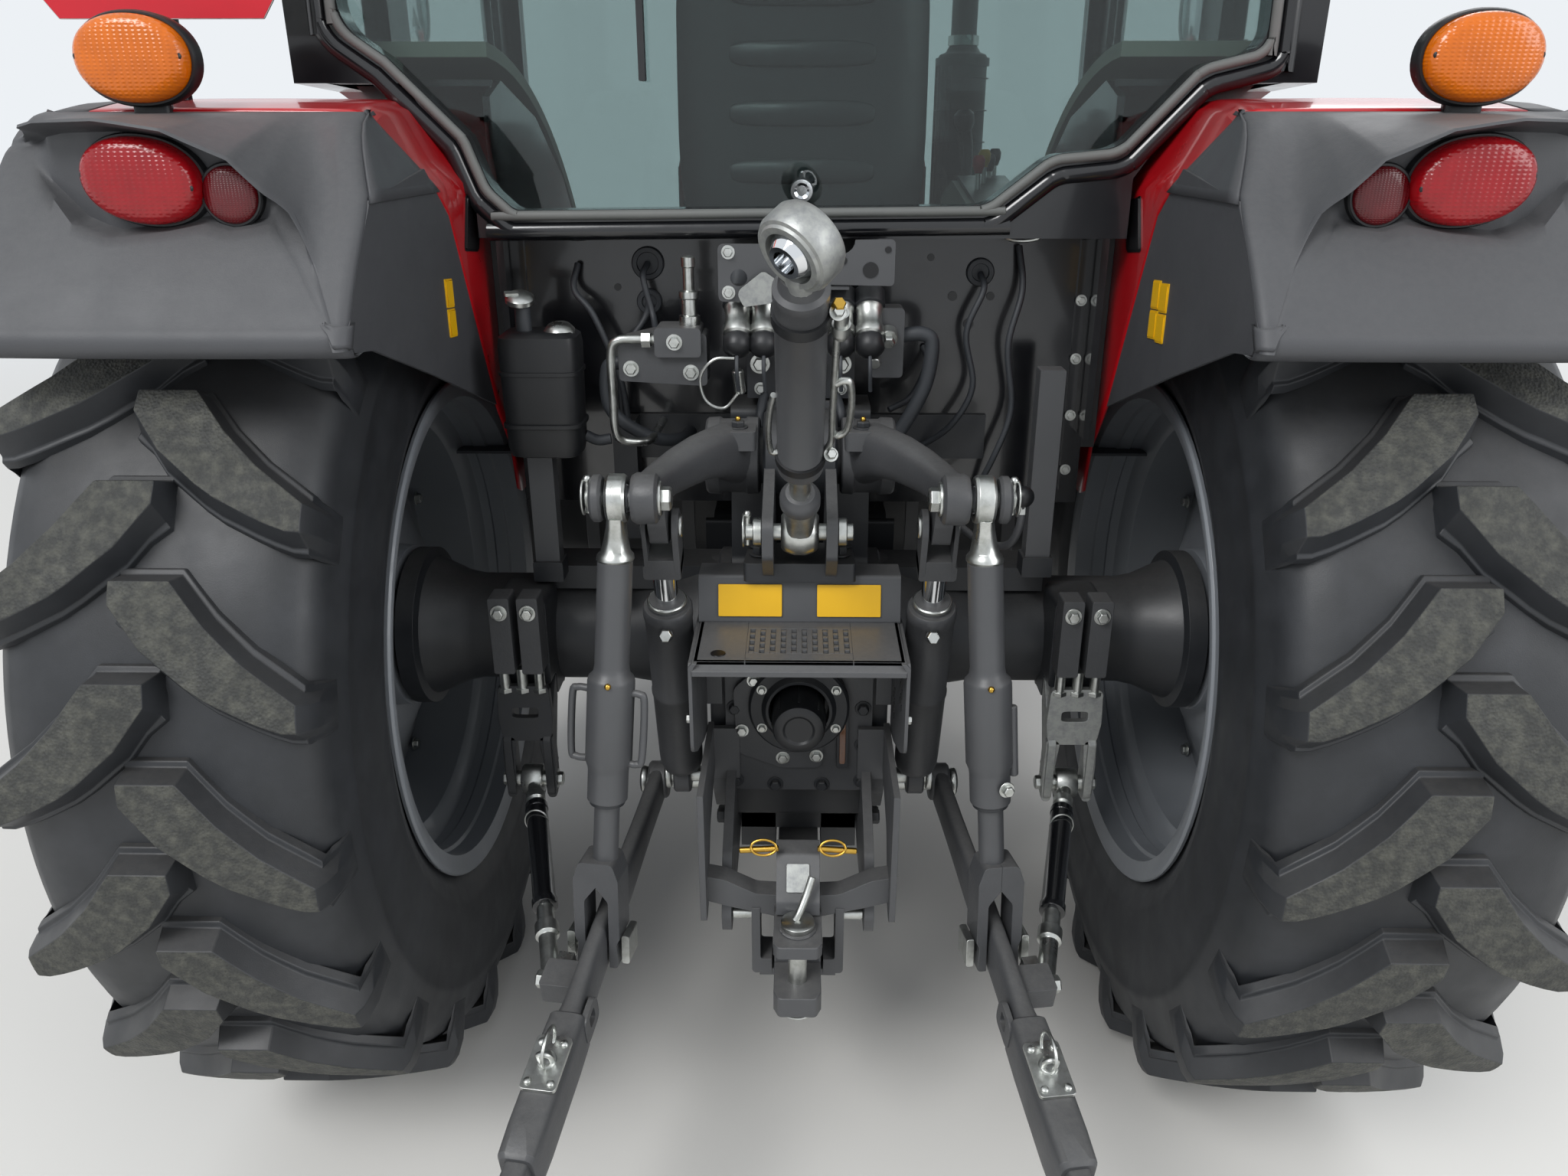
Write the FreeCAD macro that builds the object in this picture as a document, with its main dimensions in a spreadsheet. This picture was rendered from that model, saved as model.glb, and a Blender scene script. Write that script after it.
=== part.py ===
"""Farm tractor with a cab, four driven wheels, a rear three-point linkage and a drawbar.

Frame: +Z up from the ground, +Y to the front, +X to the right-hand side of the driver.
The origin is on the ground under the middle of the whole machine's length.
Lengths are in millimetres. Profiles are drawn from the rear axle: y = 0 there and z = 0 on the ground.
"""
import FreeCAD
import Part

import math
import os
import re

import Sketcher

V = FreeCAD.Vector

# Driving dimensions: alias, value, what it is
SIZES = (
    ("axle_y", -993, "rear axle, ahead of the origin"),
    ("wheelbase", 2360, "rear axle to front axle"),
    ("run_gap", 0.3, "face gap at a seat that turns or slides"),
    ("air", 5, "air between pieces that move past each other"),
    # wheels
    ("rear_radius", 789, "420/85 R34 tyre, out to the lug tips"),
    ("rear_width", 430, "rear tyre section"),
    ("rear_seat", 432, "rear rim bead seat radius"),
    ("rear_rim_half", 192, "half the rear rim's width"),
    ("rear_track", 1606, "between the rear tyres' middles"),
    ("rear_disc", -54, "rear wheel disc face, outboard of the wheel's middle"),
    ("rear_collar", 30, "rear wheel hub collar length"),
    ("rear_lugs", 20, "lugs round each side of a rear tyre"),
    ("rear_lug", 42, "height of a rear lug over the carcass"),
    ("front_radius", 594, "340/85 R24 tyre, out to the lug tips"),
    ("front_width", 344, "front tyre section"),
    ("front_seat", 305, "front rim bead seat radius"),
    ("front_rim_half", 158, "half the front rim's width"),
    ("front_track", 1660, "between the front tyres' middles"),
    ("front_disc", -30, "front wheel disc face, outboard of the wheel's middle"),
    ("front_collar", 30, "front wheel hub collar length"),
    ("front_lugs", 16, "lugs round each side of a front tyre"),
    ("front_lug", 34, "height of a front lug over the carcass"),
    # driveline
    ("gear_half", 185, "half the gearbox width"),
    ("trumpet_radius", 98, "rear axle tube"),
    ("engine_rear", 1290, "rear face of the engine"),
    ("engine_gap", 350, "engine's front face behind the front axle"),
    ("engine_half", 205, "half the engine's width"),
    ("engine_low", 620, "engine sump"),
    ("engine_top", 1130, "engine top"),
    ("frame_half", 165, "half the front frame's width"),
    ("frame_reach", 560, "front frame ahead of the front axle"),
    # front axle and steering
    ("kingpin_x", 655, "kingpin from the middle"),
    ("ear_gap", 90, "kingpin ears above and below the hub line"),
    ("ear_thick", 25, "kingpin ear"),
    ("ball_radius", 82, "axle end inside the ears"),
    ("arm_back", 135, "steering arm's ball behind the kingpin"),
    ("arm_in", 30, "steering arm's ball inside the kingpin"),
    ("ram_radius", 34, "steering cylinder"),
    ("ram_half", 200, "half the steering cylinder's length"),
    ("track_rod_radius", 13, "steering rod"),
    # hood
    ("hood_rear", 1302, "rear edge of the hood"),
    ("hood_half", 330, "half the hood's width at its rear"),
    ("hood_wall", 14, "hood panel"),
    ("hood_low", 1000, "lower edge of the hood"),
    ("hood_reach", 680, "hood's nose ahead of the front axle"),
    ("hood_top", 1640, "hood top at the windscreen"),
    ("hood_hinge_y", 1314, "hood hinge"),
    # cab
    ("cab_half", 780, "half the cab's width over its posts"),
    ("cab_wall", 50, "cab posts and rails, through the wall"),
    ("cab_rear", -50, "rear face of the cab"),
    ("cab_front", 1270, "front face of the cab"),
    ("cab_low", 980, "bottom of the cab"),
    ("cab_top", 2420, "top of the cab frame"),
    ("waist", 505, "half the cab's width between the fenders"),
    ("floor_z", 1040, "cab floor"),
    ("roof_thick", 180, "roof"),
    ("roof_over", 60, "roof beyond the posts"),
    ("glass", 6, "window glass"),
    ("rail", 70, "width of a cab post seen from its side"),
    ("arch_gap", 171, "cab's cut-out beyond the rear tyre"),
    ("corner", 45, "rounding of the cab's window corners"),
    ("door_hinge_y", 315, "door hinge"),
    # fenders
    ("fender_in", 530, "fender's inner face"),
    ("fender_out", 1005, "fender's outer edge"),
    ("fender_top", 1700, "top of the fender"),
    ("fender_skin", 12, "fender panel"),
    ("cap_low", 1400, "lower edge of the fender's rear cap"),
    ("cap_rear", -630, "rear edge of the fender's rear cap"),
    ("cap_join", -330, "joint of the cap with the fender"),
    # three-point linkage, in side view
    ("shaft_y", -170, "rockshaft"),
    ("shaft_z", 1165, "rockshaft"),
    ("arm_y", -450, "lift arm's pin"),
    ("arm_z", 1180, "lift arm's pin"),
    ("link_front_y", -170, "lower link's front pin"),
    ("link_front_z", 560, "lower link's front pin"),
    ("link_mid_y", -520, "lower link's pin for the lift rod"),
    ("link_mid_z", 487, "lower link's pin for the lift rod"),
    ("link_end_y", -1010, "lower link's ball"),
    ("link_end_z", 390, "lower link's ball"),
    ("link_front_x", 252, "lower link's front pin"),
    ("link_end_x", 372, "lower link's ball"),
    ("link_thick", 30, "lower link plate"),
    ("link_deep", 84, "lower link's depth in side view"),
    ("ball_bore", 14.35, "lower link ball bore radius, category 2"),
    ("top_bore", 12.85, "top link ball bore radius, category 2"),
    ("arm_x", 252, "lift arm's pin from the middle"),
    ("rod_radius", 25, "lift rod tube"),
    ("hub_out", 150, "outer face of a lift arm's hub"),
    ("hub_in", 64, "inner face of a lift arm's hub"),
    ("lift_low_y", -215, "lift cylinder's lower pin"),
    ("lift_low_z", 600, "lift cylinder's lower pin"),
    ("lift_eye_y", -385, "lift cylinder's upper eye"),
    ("lift_eye_z", 1118, "lift cylinder's upper eye"),
    ("lift_x", 203, "lift cylinders from the middle"),
    ("lift_radius", 37, "lift cylinder"),
    ("top_low_y", -345, "top link's lower pin"),
    ("top_low_z", 1096, "top link's lower pin"),
    ("top_end_y", -735, "top link's ball"),
    ("top_end_z", 1540, "top link's ball"),
    ("top_radius", 32, "top link cylinder"),
    ("brace_x", 480, "stabiliser bracket from the middle"),
    # rear fittings
    ("pto_z", 762, "drive shaft height"),
    ("pto_face", -250, "rear face of the gearbox"),
    ("pto_end", -430, "end of the drive shaft"),
    ("pto_radius", 17.45, "drive shaft, 35 mm with splines"),
    ("guard_half", 160, "half the guard's width"),
    ("guard_top", 945, "guard's top plate"),
    ("guard_drop", 210, "guard's side plates below its top"),
    ("guard_end", -490, "rear edge of the guard"),
    ("plate", 6, "bent steel plate"),
    ("hanger_x", 155, "drawbar hanger plates"),
    ("bar_half", 38, "half the drawbar's width"),
    ("bar_low", 380, "underside of the drawbar"),
    ("bar_thick", 38, "drawbar"),
    ("bar_end", -572, "rear end of the drawbar"),
    ("jaw_gap", 74, "gap of the drawbar's jaw"),
    ("jaw_thick", 24, "upper plate of the jaw"),
    ("hitch_pin_y", -520, "drawbar pin"),
    ("hitch_pin_radius", 15, "drawbar pin"),
)

doc = FreeCAD.newDocument("tractor")
sheet = doc.addObject("Spreadsheet::Sheet", "Sizes")
for row, (alias, value, meaning) in enumerate(SIZES, 1):
    sheet.set(f"A{row}", meaning)
    sheet.set(f"B{row}", str(value))
    sheet.setAlias(f"B{row}", alias)
doc.recompute()
NAMES = {alias for alias, _, _ in SIZES}
ORIGIN = ("0", "axle_y", "0")
ENGINE_FRONT = "(wheelbase - engine_gap)"
FRAME_FRONT = "(wheelbase + frame_reach)"
NOSE = "(wheelbase + hood_reach)"
ARCH_RADIUS = "(rear_radius + arch_gap)"
MID_X = "link_front_x + (link_end_x - link_front_x) * (link_front_y - link_mid_y) / (link_front_y - link_end_y)"
nodes = {}


def full(expression):
    """The expression with each size's name made a reference to the sheet."""
    return re.sub(r"[a-z_]\w*", lambda m: "Sizes." + m.group() if m.group() in NAMES else m.group(),
        str(expression))


def size(expression):
    """The expression's value in millimetres."""
    return float(sheet.evalExpression(full(expression)))


def put(item, at=ORIGIN, turn=None):
    """Places an object: three expressions, and a rotation as (axis, degrees)."""
    rotation = FreeCAD.Rotation(V(*turn[0]), turn[1]) if turn else FreeCAD.Rotation()
    item.Placement = FreeCAD.Placement(V(*[size(a) for a in at]), rotation)
    for letter, expression in zip("xyz", at):
        item.setExpression(f"Placement.Base.{letter}", full(expression))
    return item


def outline(body, role, points, name):
    """A closed sketch through corners (a, b), or (a, b, radius) to round one, on one of the body's planes."""
    sketch = body.newObject("Sketcher::SketchObject", name)
    plane = [f for f in body.Origin.OriginFeatures if f.Role == role][0]
    sketch.AttachmentSupport = [(plane, "")]
    sketch.MapMode = "FlatFace"
    values = [V(size(corner[0]), size(corner[1]), 0) for corner in points]
    count = len(points)
    for i in range(count):
        sketch.addGeometry(Part.LineSegment(values[i], values[(i + 1) % count]), False)
    for i in range(count):
        sketch.addConstraint(Sketcher.Constraint("Coincident", i, 2, (i + 1) % count, 1))
    for i, corner in enumerate(points):
        for kind, expression, value in (("DistanceX", corner[0], values[i].x),
            ("DistanceY", corner[1], values[i].y)):
            index = sketch.addConstraint(Sketcher.Constraint(kind, -1, 1, i, 1, value))
            sketch.setExpression(f"Constraints[{index}]", full(expression))
    for i, corner in enumerate(points):
        if len(corner) > 2:
            sketch.fillet(i, 1, size(corner[2]), True, True)
            arc_index = sketch.GeometryCount - 2
            index = sketch.addConstraint(Sketcher.Constraint("Radius", arc_index, size(corner[2])))
            sketch.setExpression(f"Constraints[{index}]", full(corner[2]))
    return sketch


def slab(name, role, points, thick, at=ORIGIN, turn=None):
    """A body padded both ways from a plane: thick in all."""
    body = doc.addObject("PartDesign::Body", name)
    pad = body.newObject("PartDesign::Pad", name + "_pad")
    pad.Profile = outline(body, role, points, name + "_outline")
    pad.Midplane = True
    pad.Length = size(thick)
    pad.setExpression("Length", full(thick))
    return put(body, at, turn)


def side_slab(name, points, thick, x="0", y="axle_y", z="0"):
    """An outline in side view (y, z), thick across the machine."""
    return slab(name, "YZ_Plane", points, thick, (x, y, z))


def rear_slab(name, points, thick, x="0", y="0", z="0"):
    """An outline seen from behind (x, z), thick along the machine; y is from the rear axle."""
    return slab(name, "XZ_Plane", points, thick, (x, f"axle_y + {y}", z))


def plan_slab(name, points, thick, x="0", z="0"):
    """An outline seen from above (x, y), thick in height about z."""
    return slab(name, "XY_Plane", points, thick, (x, "axle_y", z))


def lofted(name, role, sections):
    """A straight-ruled loft through sections as (offset along the plane's normal, corners)."""
    body = doc.addObject("PartDesign::Body", name)
    sketches = []
    for i, (offset, points) in enumerate(sections):
        sketch = outline(body, role, points, f"{name}_{i}")
        sketch.AttachmentOffset = FreeCAD.Placement(V(0, 0, size(offset)), FreeCAD.Rotation())
        sketch.setExpression("AttachmentOffset.Base.z", full(offset))
        sketches.append(sketch)
    loft = body.newObject("PartDesign::AdditiveLoft", name + "_loft")
    loft.Profile = sketches[0]
    loft.Sections = sketches[1:]
    loft.Ruled = True
    return put(body)


def turned(name, points, at, turn=None):
    """A body turned about its own X axis from (along, radius) points."""
    body = doc.addObject("PartDesign::Body", name)
    sketch = outline(body, "XY_Plane", points, name + "_outline")
    spin = body.newObject("PartDesign::Revolution", name + "_turn")
    spin.Profile = sketch
    spin.ReferenceAxis = (sketch, ["H_Axis"])
    spin.Angle = 360
    return put(body, at, turn)


def block(name, x, y, z):
    """A box between pairs of expressions; y is from the rear axle."""
    box = doc.addObject("Part::Box", name)
    for prop, (low, high) in (("Length", x), ("Width", y), ("Height", z)):
        setattr(box, prop, size(f"({high}) - ({low})"))
        box.setExpression(prop, full(f"({high}) - ({low})"))
    return put(box, (x[0], f"axle_y + {y[0]}", z[0]))


ALONG = {"x": ((0, 1, 0), 90), "y": ((1, 0, 0), -90), "z": ((0, 0, 1), 0)}


def bar(name, radius, length, start, along="z"):
    """A round bar from a start point (y from the rear axle) along an axis."""
    item = doc.addObject("Part::Cylinder", name)
    item.Radius = size(radius)
    item.Height = size(length)
    item.setExpression("Radius", full(radius))
    item.setExpression("Height", full(length))
    return put(item, (start[0], f"axle_y + {start[1]}", start[2]), ALONG[along])


def combine(kind, name, items):
    """A boolean object of the document: MultiFuse or MultiCommon."""
    item = doc.addObject(f"Part::{kind}", name)
    item.Shapes = items
    return item


def fuse(name, *items):
    return combine("MultiFuse", name, list(items))


def common(name, *items):
    return combine("MultiCommon", name, list(items))


def cut(name, base, *tools):
    item = doc.addObject("Part::Cut", name)
    item.Base = base
    item.Tool = tools[0] if len(tools) == 1 else fuse(name + "_tools", *tools)
    return item


def solid(name, shape, at=("0", "axle_y", "0")):
    """A shape made with Part's own functions, placed after it is set."""
    item = doc.addObject("Part::Feature", name)
    item.Shape = shape
    return put(item, at)


def node(label, item):
    """Names a finished piece."""
    item.Label = label
    nodes[label] = item
    return item


SIDES = (("left", -1), ("right", 1))


# One lug seen square on: (share of the tyre's width, share of the lugs' pitch) from the middle to the shoulder
LUG = ((-0.047, 0.37), (0.116, 0.37), (0.326, -0.03), (0.475, -0.235), (0.475, -0.40), (0.20, -0.19),
    (-0.047, 0.257))


def faceted(stations, count):
    """A solid ring of flat facets round the X axis, from a closed profile of (along, radius) stations."""
    half = math.pi / count
    rings = []
    for along, radius in stations:
        reach = radius / math.cos(half)
        rings.append([V(along, reach * math.cos(2 * half * k),
            reach * math.sin(2 * half * k)) for k in range(count)])
    faces = []
    for near, far in zip(rings, rings[1:] + rings[:1]):
        for k in range(count):
            n = (k + 1) % count
            faces.append(Part.Face(Part.makePolygon([near[k], near[n], far[n], far[k], near[k]])))
    return Part.Solid(Part.Shell(faces))


def tyre(kind, facets):
    """A tyre about the X axis: its carcass, and raked lugs that alternate on both sides of the middle."""
    seat, half, tip, lug = (size(f"{kind}_{word}") for word in ("seat", "rim_half", "radius", "lug"))
    wide = size(f"{kind}_width / 2")
    count = int(size(f"{kind}_lugs"))
    wall = tip - seat
    side = [(half - 8, seat + 0.5), (half - 8, seat + 0.085 * wall), (wide - 6, seat + 0.25 * wall),
            (wide, seat + 0.5 * wall), (wide - 24, tip - 0.19 * wall), (wide - 75, tip - lug)]
    carcass = faceted([(-along, radius) for along, radius in side] + side[::-1], facets)
    pitch = 2 * math.pi * tip / count
    lean = math.asin(max(abs(b) for _, b in LUG) * pitch / tip)
    root = lug + 0.06 * wall
    bars = []
    for k in range(count):
        for mirror, shift in ((1, 0), (-1, math.pi / count)):
            corners = [V(mirror * a * 2 * wide, tip * math.cos(lean) - root, -b * pitch) for a, b in LUG]
            bar_solid = Part.Face(Part.makePolygon(corners + corners[:1])).extrude(V(0, root, 0))
            angle = -math.pi / 2 - lean + shift + 2 * math.pi * k / count
            bar_solid.rotate(V(0, 0, 0), V(1, 0, 0), math.degrees(angle))
            bars.append(bar_solid)
    return carcass.fuse(bars)


def rim(label, side, y, kind):
    """A rim with its dished disc and hub collar, turned about the axle."""
    where = (f"{side} * {kind}_track / 2", f"axle_y + {y}", f"{kind}_radius")
    turn = ((0, 0, 1), 0 if side > 0 else 180)
    seat, half, disc, collar = f"{kind}_seat", f"{kind}_rim_half", f"{kind}_disc", f"{kind}_collar"
    profile = [(f"-{half} - 6", f"{seat} + 26"), (f"-{half} + 6", f"{seat} + 26"), (f"-{half} + 7.5", seat),
               (f"-{half} + 85", f"{seat} - 4"), (f"-{half} + 105", f"{seat} - 38"),
                   (f"{half} - 117", f"{seat} - 38"),
               (f"{half} - 97", f"{seat} - 4"), (f"{half} - 7.5", seat), (f"{half} - 6", f"{seat} + 26"),
               (f"{half} + 6", f"{seat} + 26"), (f"{half}", f"{seat} - 10"),
                   (f"{half} - 91", f"{seat} - 14"),
               (f"{half} - 111", f"{seat} - 52"), (f"{disc} + 100", f"{seat} - 52"),
                   (f"{disc} + 14", f"{seat} * 0.46"),
               (f"{disc} + 14", "0"), (f"{disc} - {collar}", "0"), (f"{disc} - {collar}", f"{seat} * 0.35"),
               (disc, f"{seat} * 0.35"), (disc, f"{seat} * 0.48"), (f"{disc} + 76", f"{seat} - 52"),
               (f"-{half} + 99", f"{seat} - 52"), (f"-{half} + 79", f"{seat} - 14"),
                   (f"-{half}", f"{seat} - 10")]
    node(label, turned(label, profile, where, turn))


for kind, y, facets in (("rear", "0", 30), ("front", "wheelbase", 30)):
    right = solid(f"{kind}_right_tyre", tyre(kind, facets), (f"{kind}_track / 2", f"axle_y + {y}",
        f"{kind}_radius"))
    node(f"{kind}_right_tyre", right)
    left = doc.addObject("Part::Mirroring", f"{kind}_left_tyre")
    left.Source = right
    left.Normal = V(1, 0, 0)
    node(f"{kind}_left_tyre", left)
    for side_name, sign in SIDES:
        rim(f"{kind}_{side_name}_rim", sign, y, kind)


def ring(name, outer, inner, length, start, along="z"):
    """A round tube from a start point (y from the rear axle) along an axis."""
    hole = bar(name + "_hole", inner, f"({length}) + 2", start, along)
    step = [f"{start[i]} - {1 if 'xyz'[i] == along else 0}" for i in range(3)]
    put(hole, (step[0], f"axle_y + {step[1]}", step[2]), ALONG[along])
    return cut(name, bar(name + "_body", outer, length, start, along), hole)


# Gearbox with the lift housing and the drive shaft's seat
rear_case = side_slab("rear_case", [
    ("pto_face", "620"), ("pto_face", "930", "30"), ("-120", "965", "40"), ("-96", "1235", "15"),
        ("30", "1235", "30"), ("40", "1010"),
    ("152", "960"), ("152", "560"), ("-60", "505"), ("-205", "505")], "250")
front_case = side_slab("front_case", [
    ("152", "560"), ("152", "960"), ("engine_rear", "940"), ("engine_rear", "640"), ("420", "560")],
        "gear_half * 2")
shaft_seat = bar("shaft_seat", "72", "2 * (hub_in - air)", ("-(hub_in - air)", "shaft_y", "shaft_z"), "x")
seat_web = side_slab("seat_web", [
    ("-96", "985"), ("shaft_y - 60", "shaft_z - 40"), ("shaft_y", "shaft_z + 60"), ("-90", "1225")],
        "2 * (hub_in - air)")
shaft_hole = bar("shaft_hole", "45 + run_gap", "300", ("-150", "shaft_y", "shaft_z"), "x")
pto_cap = bar("pto_cap", "84", "24", ("0", "pto_face - 24", "pto_z"), "y")
pto_hole = bar("pto_hole", "24 + run_gap", "100", ("0", "pto_face - 40", "pto_z"), "y")
top_ears = fuse("top_ears", *[side_slab(f"top_ear_{i}", [
    ("top_low_y - 34", "top_low_z - 20"), ("top_low_y - 34", "top_low_z + 22"),
        ("top_low_y + 20", "top_low_z + 40"),
    ("-90", "1215"), ("-90", "990"), ("-150", "985")], "20", f"{s} * 48") for i, s in enumerate((-1, 1))])
top_pin = bar("top_pin", "13", "140", ("-70", "top_low_y", "top_low_z"), "x")
housing = cut("housing", fuse("housing_body", rear_case, front_case, shaft_seat, seat_web, pto_cap,
    top_ears),
              shaft_hole, pto_hole)
gearbox = fuse("gearbox", housing, top_pin)

# Rear axle tubes and flanges, bolted to the gearbox, and the lower links' front pins
axle_items = []
for side_name, s in SIDES:
    reach = "rear_track / 2 + rear_disc - rear_collar - run_gap"
    x0 = "125" if s > 0 else f"-({reach})"
    axle_items.append(bar(f"trumpet_{side_name}", "trumpet_radius", f"{reach} - 125",
        (x0, "0", "rear_radius"), "x"))
    xf = f"{reach} - 26" if s > 0 else f"-({reach})"
    axle_items.append(bar(f"flange_{side_name}", "148", "26", (xf, "0", "rear_radius"), "x"))
    axle_items.append(bar(f"root_{side_name}", "150", "90", ("125" if s > 0 else "-215", "0",
        "rear_radius"), "x"))
node("transmission", fuse("transmission", gearbox, *axle_items))

brackets = []
for side_name, s in SIDES:
    def span(near, far, mirror=s):
        return (near, far) if mirror > 0 else (f"-({far})", f"-({near})")
    lug = block(f"pin_lug_{side_name}", span("125", "150"), ("lift_low_y - 25", "-90"),
                ("link_front_z - 45", "lift_low_z + 32"))
    pin = bar(f"front_pin_{side_name}", "16", "link_front_x + 30 - 148",
        (span("148", "link_front_x + 30")[0], "link_front_y", "link_front_z"), "x")
    lift_pin = bar(f"lift_pin_{side_name}", "14", "lift_x + 30 - 148",
        (span("148", "lift_x + 30")[0], "lift_low_y", "lift_low_z"), "x")
    brackets.append(fuse(f"front_mount_{side_name}", lug, pin, lift_pin))
    brackets.append(fuse(f"brace_mount_{side_name}",
                         block(f"brace_cast_{side_name}", span("brace_x - 45", "brace_x + 45"),
                               ("-205", "-60"), ("740", "912")),
                         block(f"brace_cap_{side_name}", span("brace_x - 45", "brace_x + 45"),
                               ("-112", "-40"), ("700", "760")),
                         block(f"brace_plate_{side_name}", span("brace_x - 42", "brace_x - 30"),
                               ("-195", "-115"), ("520", "742")),
                         block(f"brace_plate_out_{side_name}", span("brace_x + 30", "brace_x + 42"),
                               ("-195", "-115"), ("520", "742")),
                         bar(f"brace_pin_{side_name}", "14", "90",
                             (span("brace_x - 45", "brace_x + 45")[0], "link_front_y", "link_front_z"),
                                 "x")))
trumpets_hole = bar("trumpets_hole", "trumpet_radius", "1400", ("-700", "0", "rear_radius"), "x")
node("link_brackets", cut("link_brackets", fuse("link_brackets_body", *brackets), trumpets_hole))

# Engine, front frame and front axle
node("engine", block("engine", ("-engine_half", "engine_half"), ("engine_rear", ENGINE_FRONT),
                     ("engine_low", "engine_top")))
frame_top = "(front_radius + 286)"
frame_low = "(front_radius + 90)"
frame_body = side_slab("frame_body", [
    (ENGINE_FRONT, f"{frame_low} + 16"), (ENGINE_FRONT, frame_top), (FRAME_FRONT, frame_top),
    (FRAME_FRONT, f"{frame_low} + 56", "20"), (f"{FRAME_FRONT} - 90", frame_low, "40"),
    (f"{ENGINE_FRONT} + 60", frame_low)], "frame_half * 2")
pivot_lugs = fuse("pivot_lugs", *[block(f"pivot_lug_{i}", ("-70", "70"),
    (f"wheelbase + {a}", f"wheelbase + {a} + 30"),
                                        ("front_radius - 34", f"{frame_low} + 6")) for i,
                                            a in enumerate((-110, 80))])
pivot_pin = bar("pivot_pin", "26", "200", ("0", "wheelbase - 100", "front_radius + 10"), "y")
front_weight = rear_slab("front_weight", [("-230", "front_radius + 46", "30"),
    ("230", "front_radius + 46", "30"),
                                          ("230", "front_radius + 306", "40"),
                                              ("-230", "front_radius + 306", "40")],
                         "90", y=f"{FRAME_FRONT} + 45")
node("front_frame", fuse("front_frame", frame_body, pivot_lugs, pivot_pin, front_weight))
beam = rear_slab("beam", [
    ("-kingpin_x + 60", "front_radius - 55"), ("-kingpin_x + 60", "front_radius + 55"),
        ("-200", "front_radius + 80"),
    ("200", "front_radius + 80"), ("kingpin_x - 60", "front_radius + 55"),
        ("kingpin_x - 60", "front_radius - 55"),
    ("200", "front_radius - 75"), ("-200", "front_radius - 75")], "120", y="wheelbase")
beam_parts = [beam]
for side_name, s in SIDES:
    x = f"{s} * kingpin_x"
    beam_parts.append(bar(f"beam_ball_{side_name}", "ball_radius", "ear_gap * 2 - 2 * run_gap",
                          (x, "wheelbase", "front_radius - ear_gap + run_gap")))
    beam_parts.append(bar(f"kingpin_{side_name}", "20", "ear_gap * 2 + ear_thick * 2",
                          (x, "wheelbase", "front_radius - ear_gap - ear_thick")))
beam_hole = bar("beam_hole", "26", "200", ("0", "wheelbase - 100", "front_radius + 10"), "y")
beam_body = cut("beam_body", fuse("beam_parts", *beam_parts), beam_hole)

# Steering knuckles, rod and cylinder
for side_name, s in SIDES:
    x = f"{s} * kingpin_x"
    ends = "front_track / 2 + front_disc - front_collar - run_gap"
    ear_box = []
    for level, z in (("up", "front_radius + ear_gap"), ("down", "front_radius - ear_gap - ear_thick")):
        ear_box.append(bar(f"ear_{level}_{side_name}", "58", "ear_thick", (x, "wheelbase", z)))
        low, high = ("kingpin_x", "kingpin_x + 106") if s > 0 else ("-(kingpin_x + 106)", "-kingpin_x")
        ear_box.append(block(f"ear_web_{level}_{side_name}", (low, high),
            ("wheelbase - 58", "wheelbase + 58"),
                             (z, f"{z} + ear_thick")))
    low, high = ("kingpin_x + 90", ends) if s > 0 else (f"-({ends})", "-(kingpin_x + 90)")
    ear_box.append(block(f"knuckle_wall_{side_name}", ("kingpin_x + 90", "kingpin_x + 106") if s > 0 else
                         ("-(kingpin_x + 106)", "-(kingpin_x + 90)"), ("wheelbase - 58", "wheelbase + 58"),
                         ("front_radius - ear_gap", "front_radius + ear_gap")))
    ear_box.append(bar(f"hub_{side_name}", "100", f"{high} - ({low})", (low, "wheelbase", "front_radius"),
        "x"))
    arm = plan_slab(f"steer_arm_{side_name}", [
        (f"{s} * (kingpin_x - 45)", "wheelbase"), (f"{s} * (kingpin_x - arm_in - 24)",
            "wheelbase - arm_back - 10"),
        (f"{s} * (kingpin_x - arm_in)", "wheelbase - arm_back - 26"),
        (f"{s} * (kingpin_x - arm_in + 24)", "wheelbase - arm_back - 10"),
            (f"{s} * (kingpin_x + 45)", "wheelbase")],
        "ear_thick", z="front_radius - ear_gap - ear_thick / 2")
    pin_hole = bar(f"kingpin_hole_{side_name}", "20 + run_gap", "300",
        (x, "wheelbase", "front_radius - 150"))
    node(f"knuckle_{side_name}", cut(f"knuckle_{side_name}", fuse(f"knuckle_{side_name}_body", arm,
        *ear_box), pin_hole))

rod_z = "front_radius - ear_gap + run_gap + 16"
rod_y = "wheelbase - arm_back"
rod_half = "kingpin_x - arm_in"
rod_parts = [bar("rod_bar", "track_rod_radius", f"2 * ({rod_half})", (f"-({rod_half})", rod_y, rod_z), "x")]
for side_name, s in SIDES:
    rod_parts.append(bar(f"rod_eye_{side_name}", "22", "32", (f"{s} * ({rod_half})", rod_y,
        f"{rod_z} - 16")))
node("steering_rod", fuse("steering_rod", *rod_parts))
ram_tube = ring("ram_tube", "ram_radius", "track_rod_radius + run_gap", "ram_half * 2",
    ("-ram_half", rod_y, rod_z), "x")
ram_foot = cut("ram_foot", block("ram_foot_body", ("-70", "70"), (rod_y, "wheelbase - 60"),
                                 (f"{rod_z} - 22", f"{rod_z} + 22")),
               bar("ram_foot_hole", "ram_radius - 4", "200", ("-100", rod_y, rod_z), "x"))
node("front_axle", fuse("front_axle", beam_body, ram_tube, ram_foot))


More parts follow.
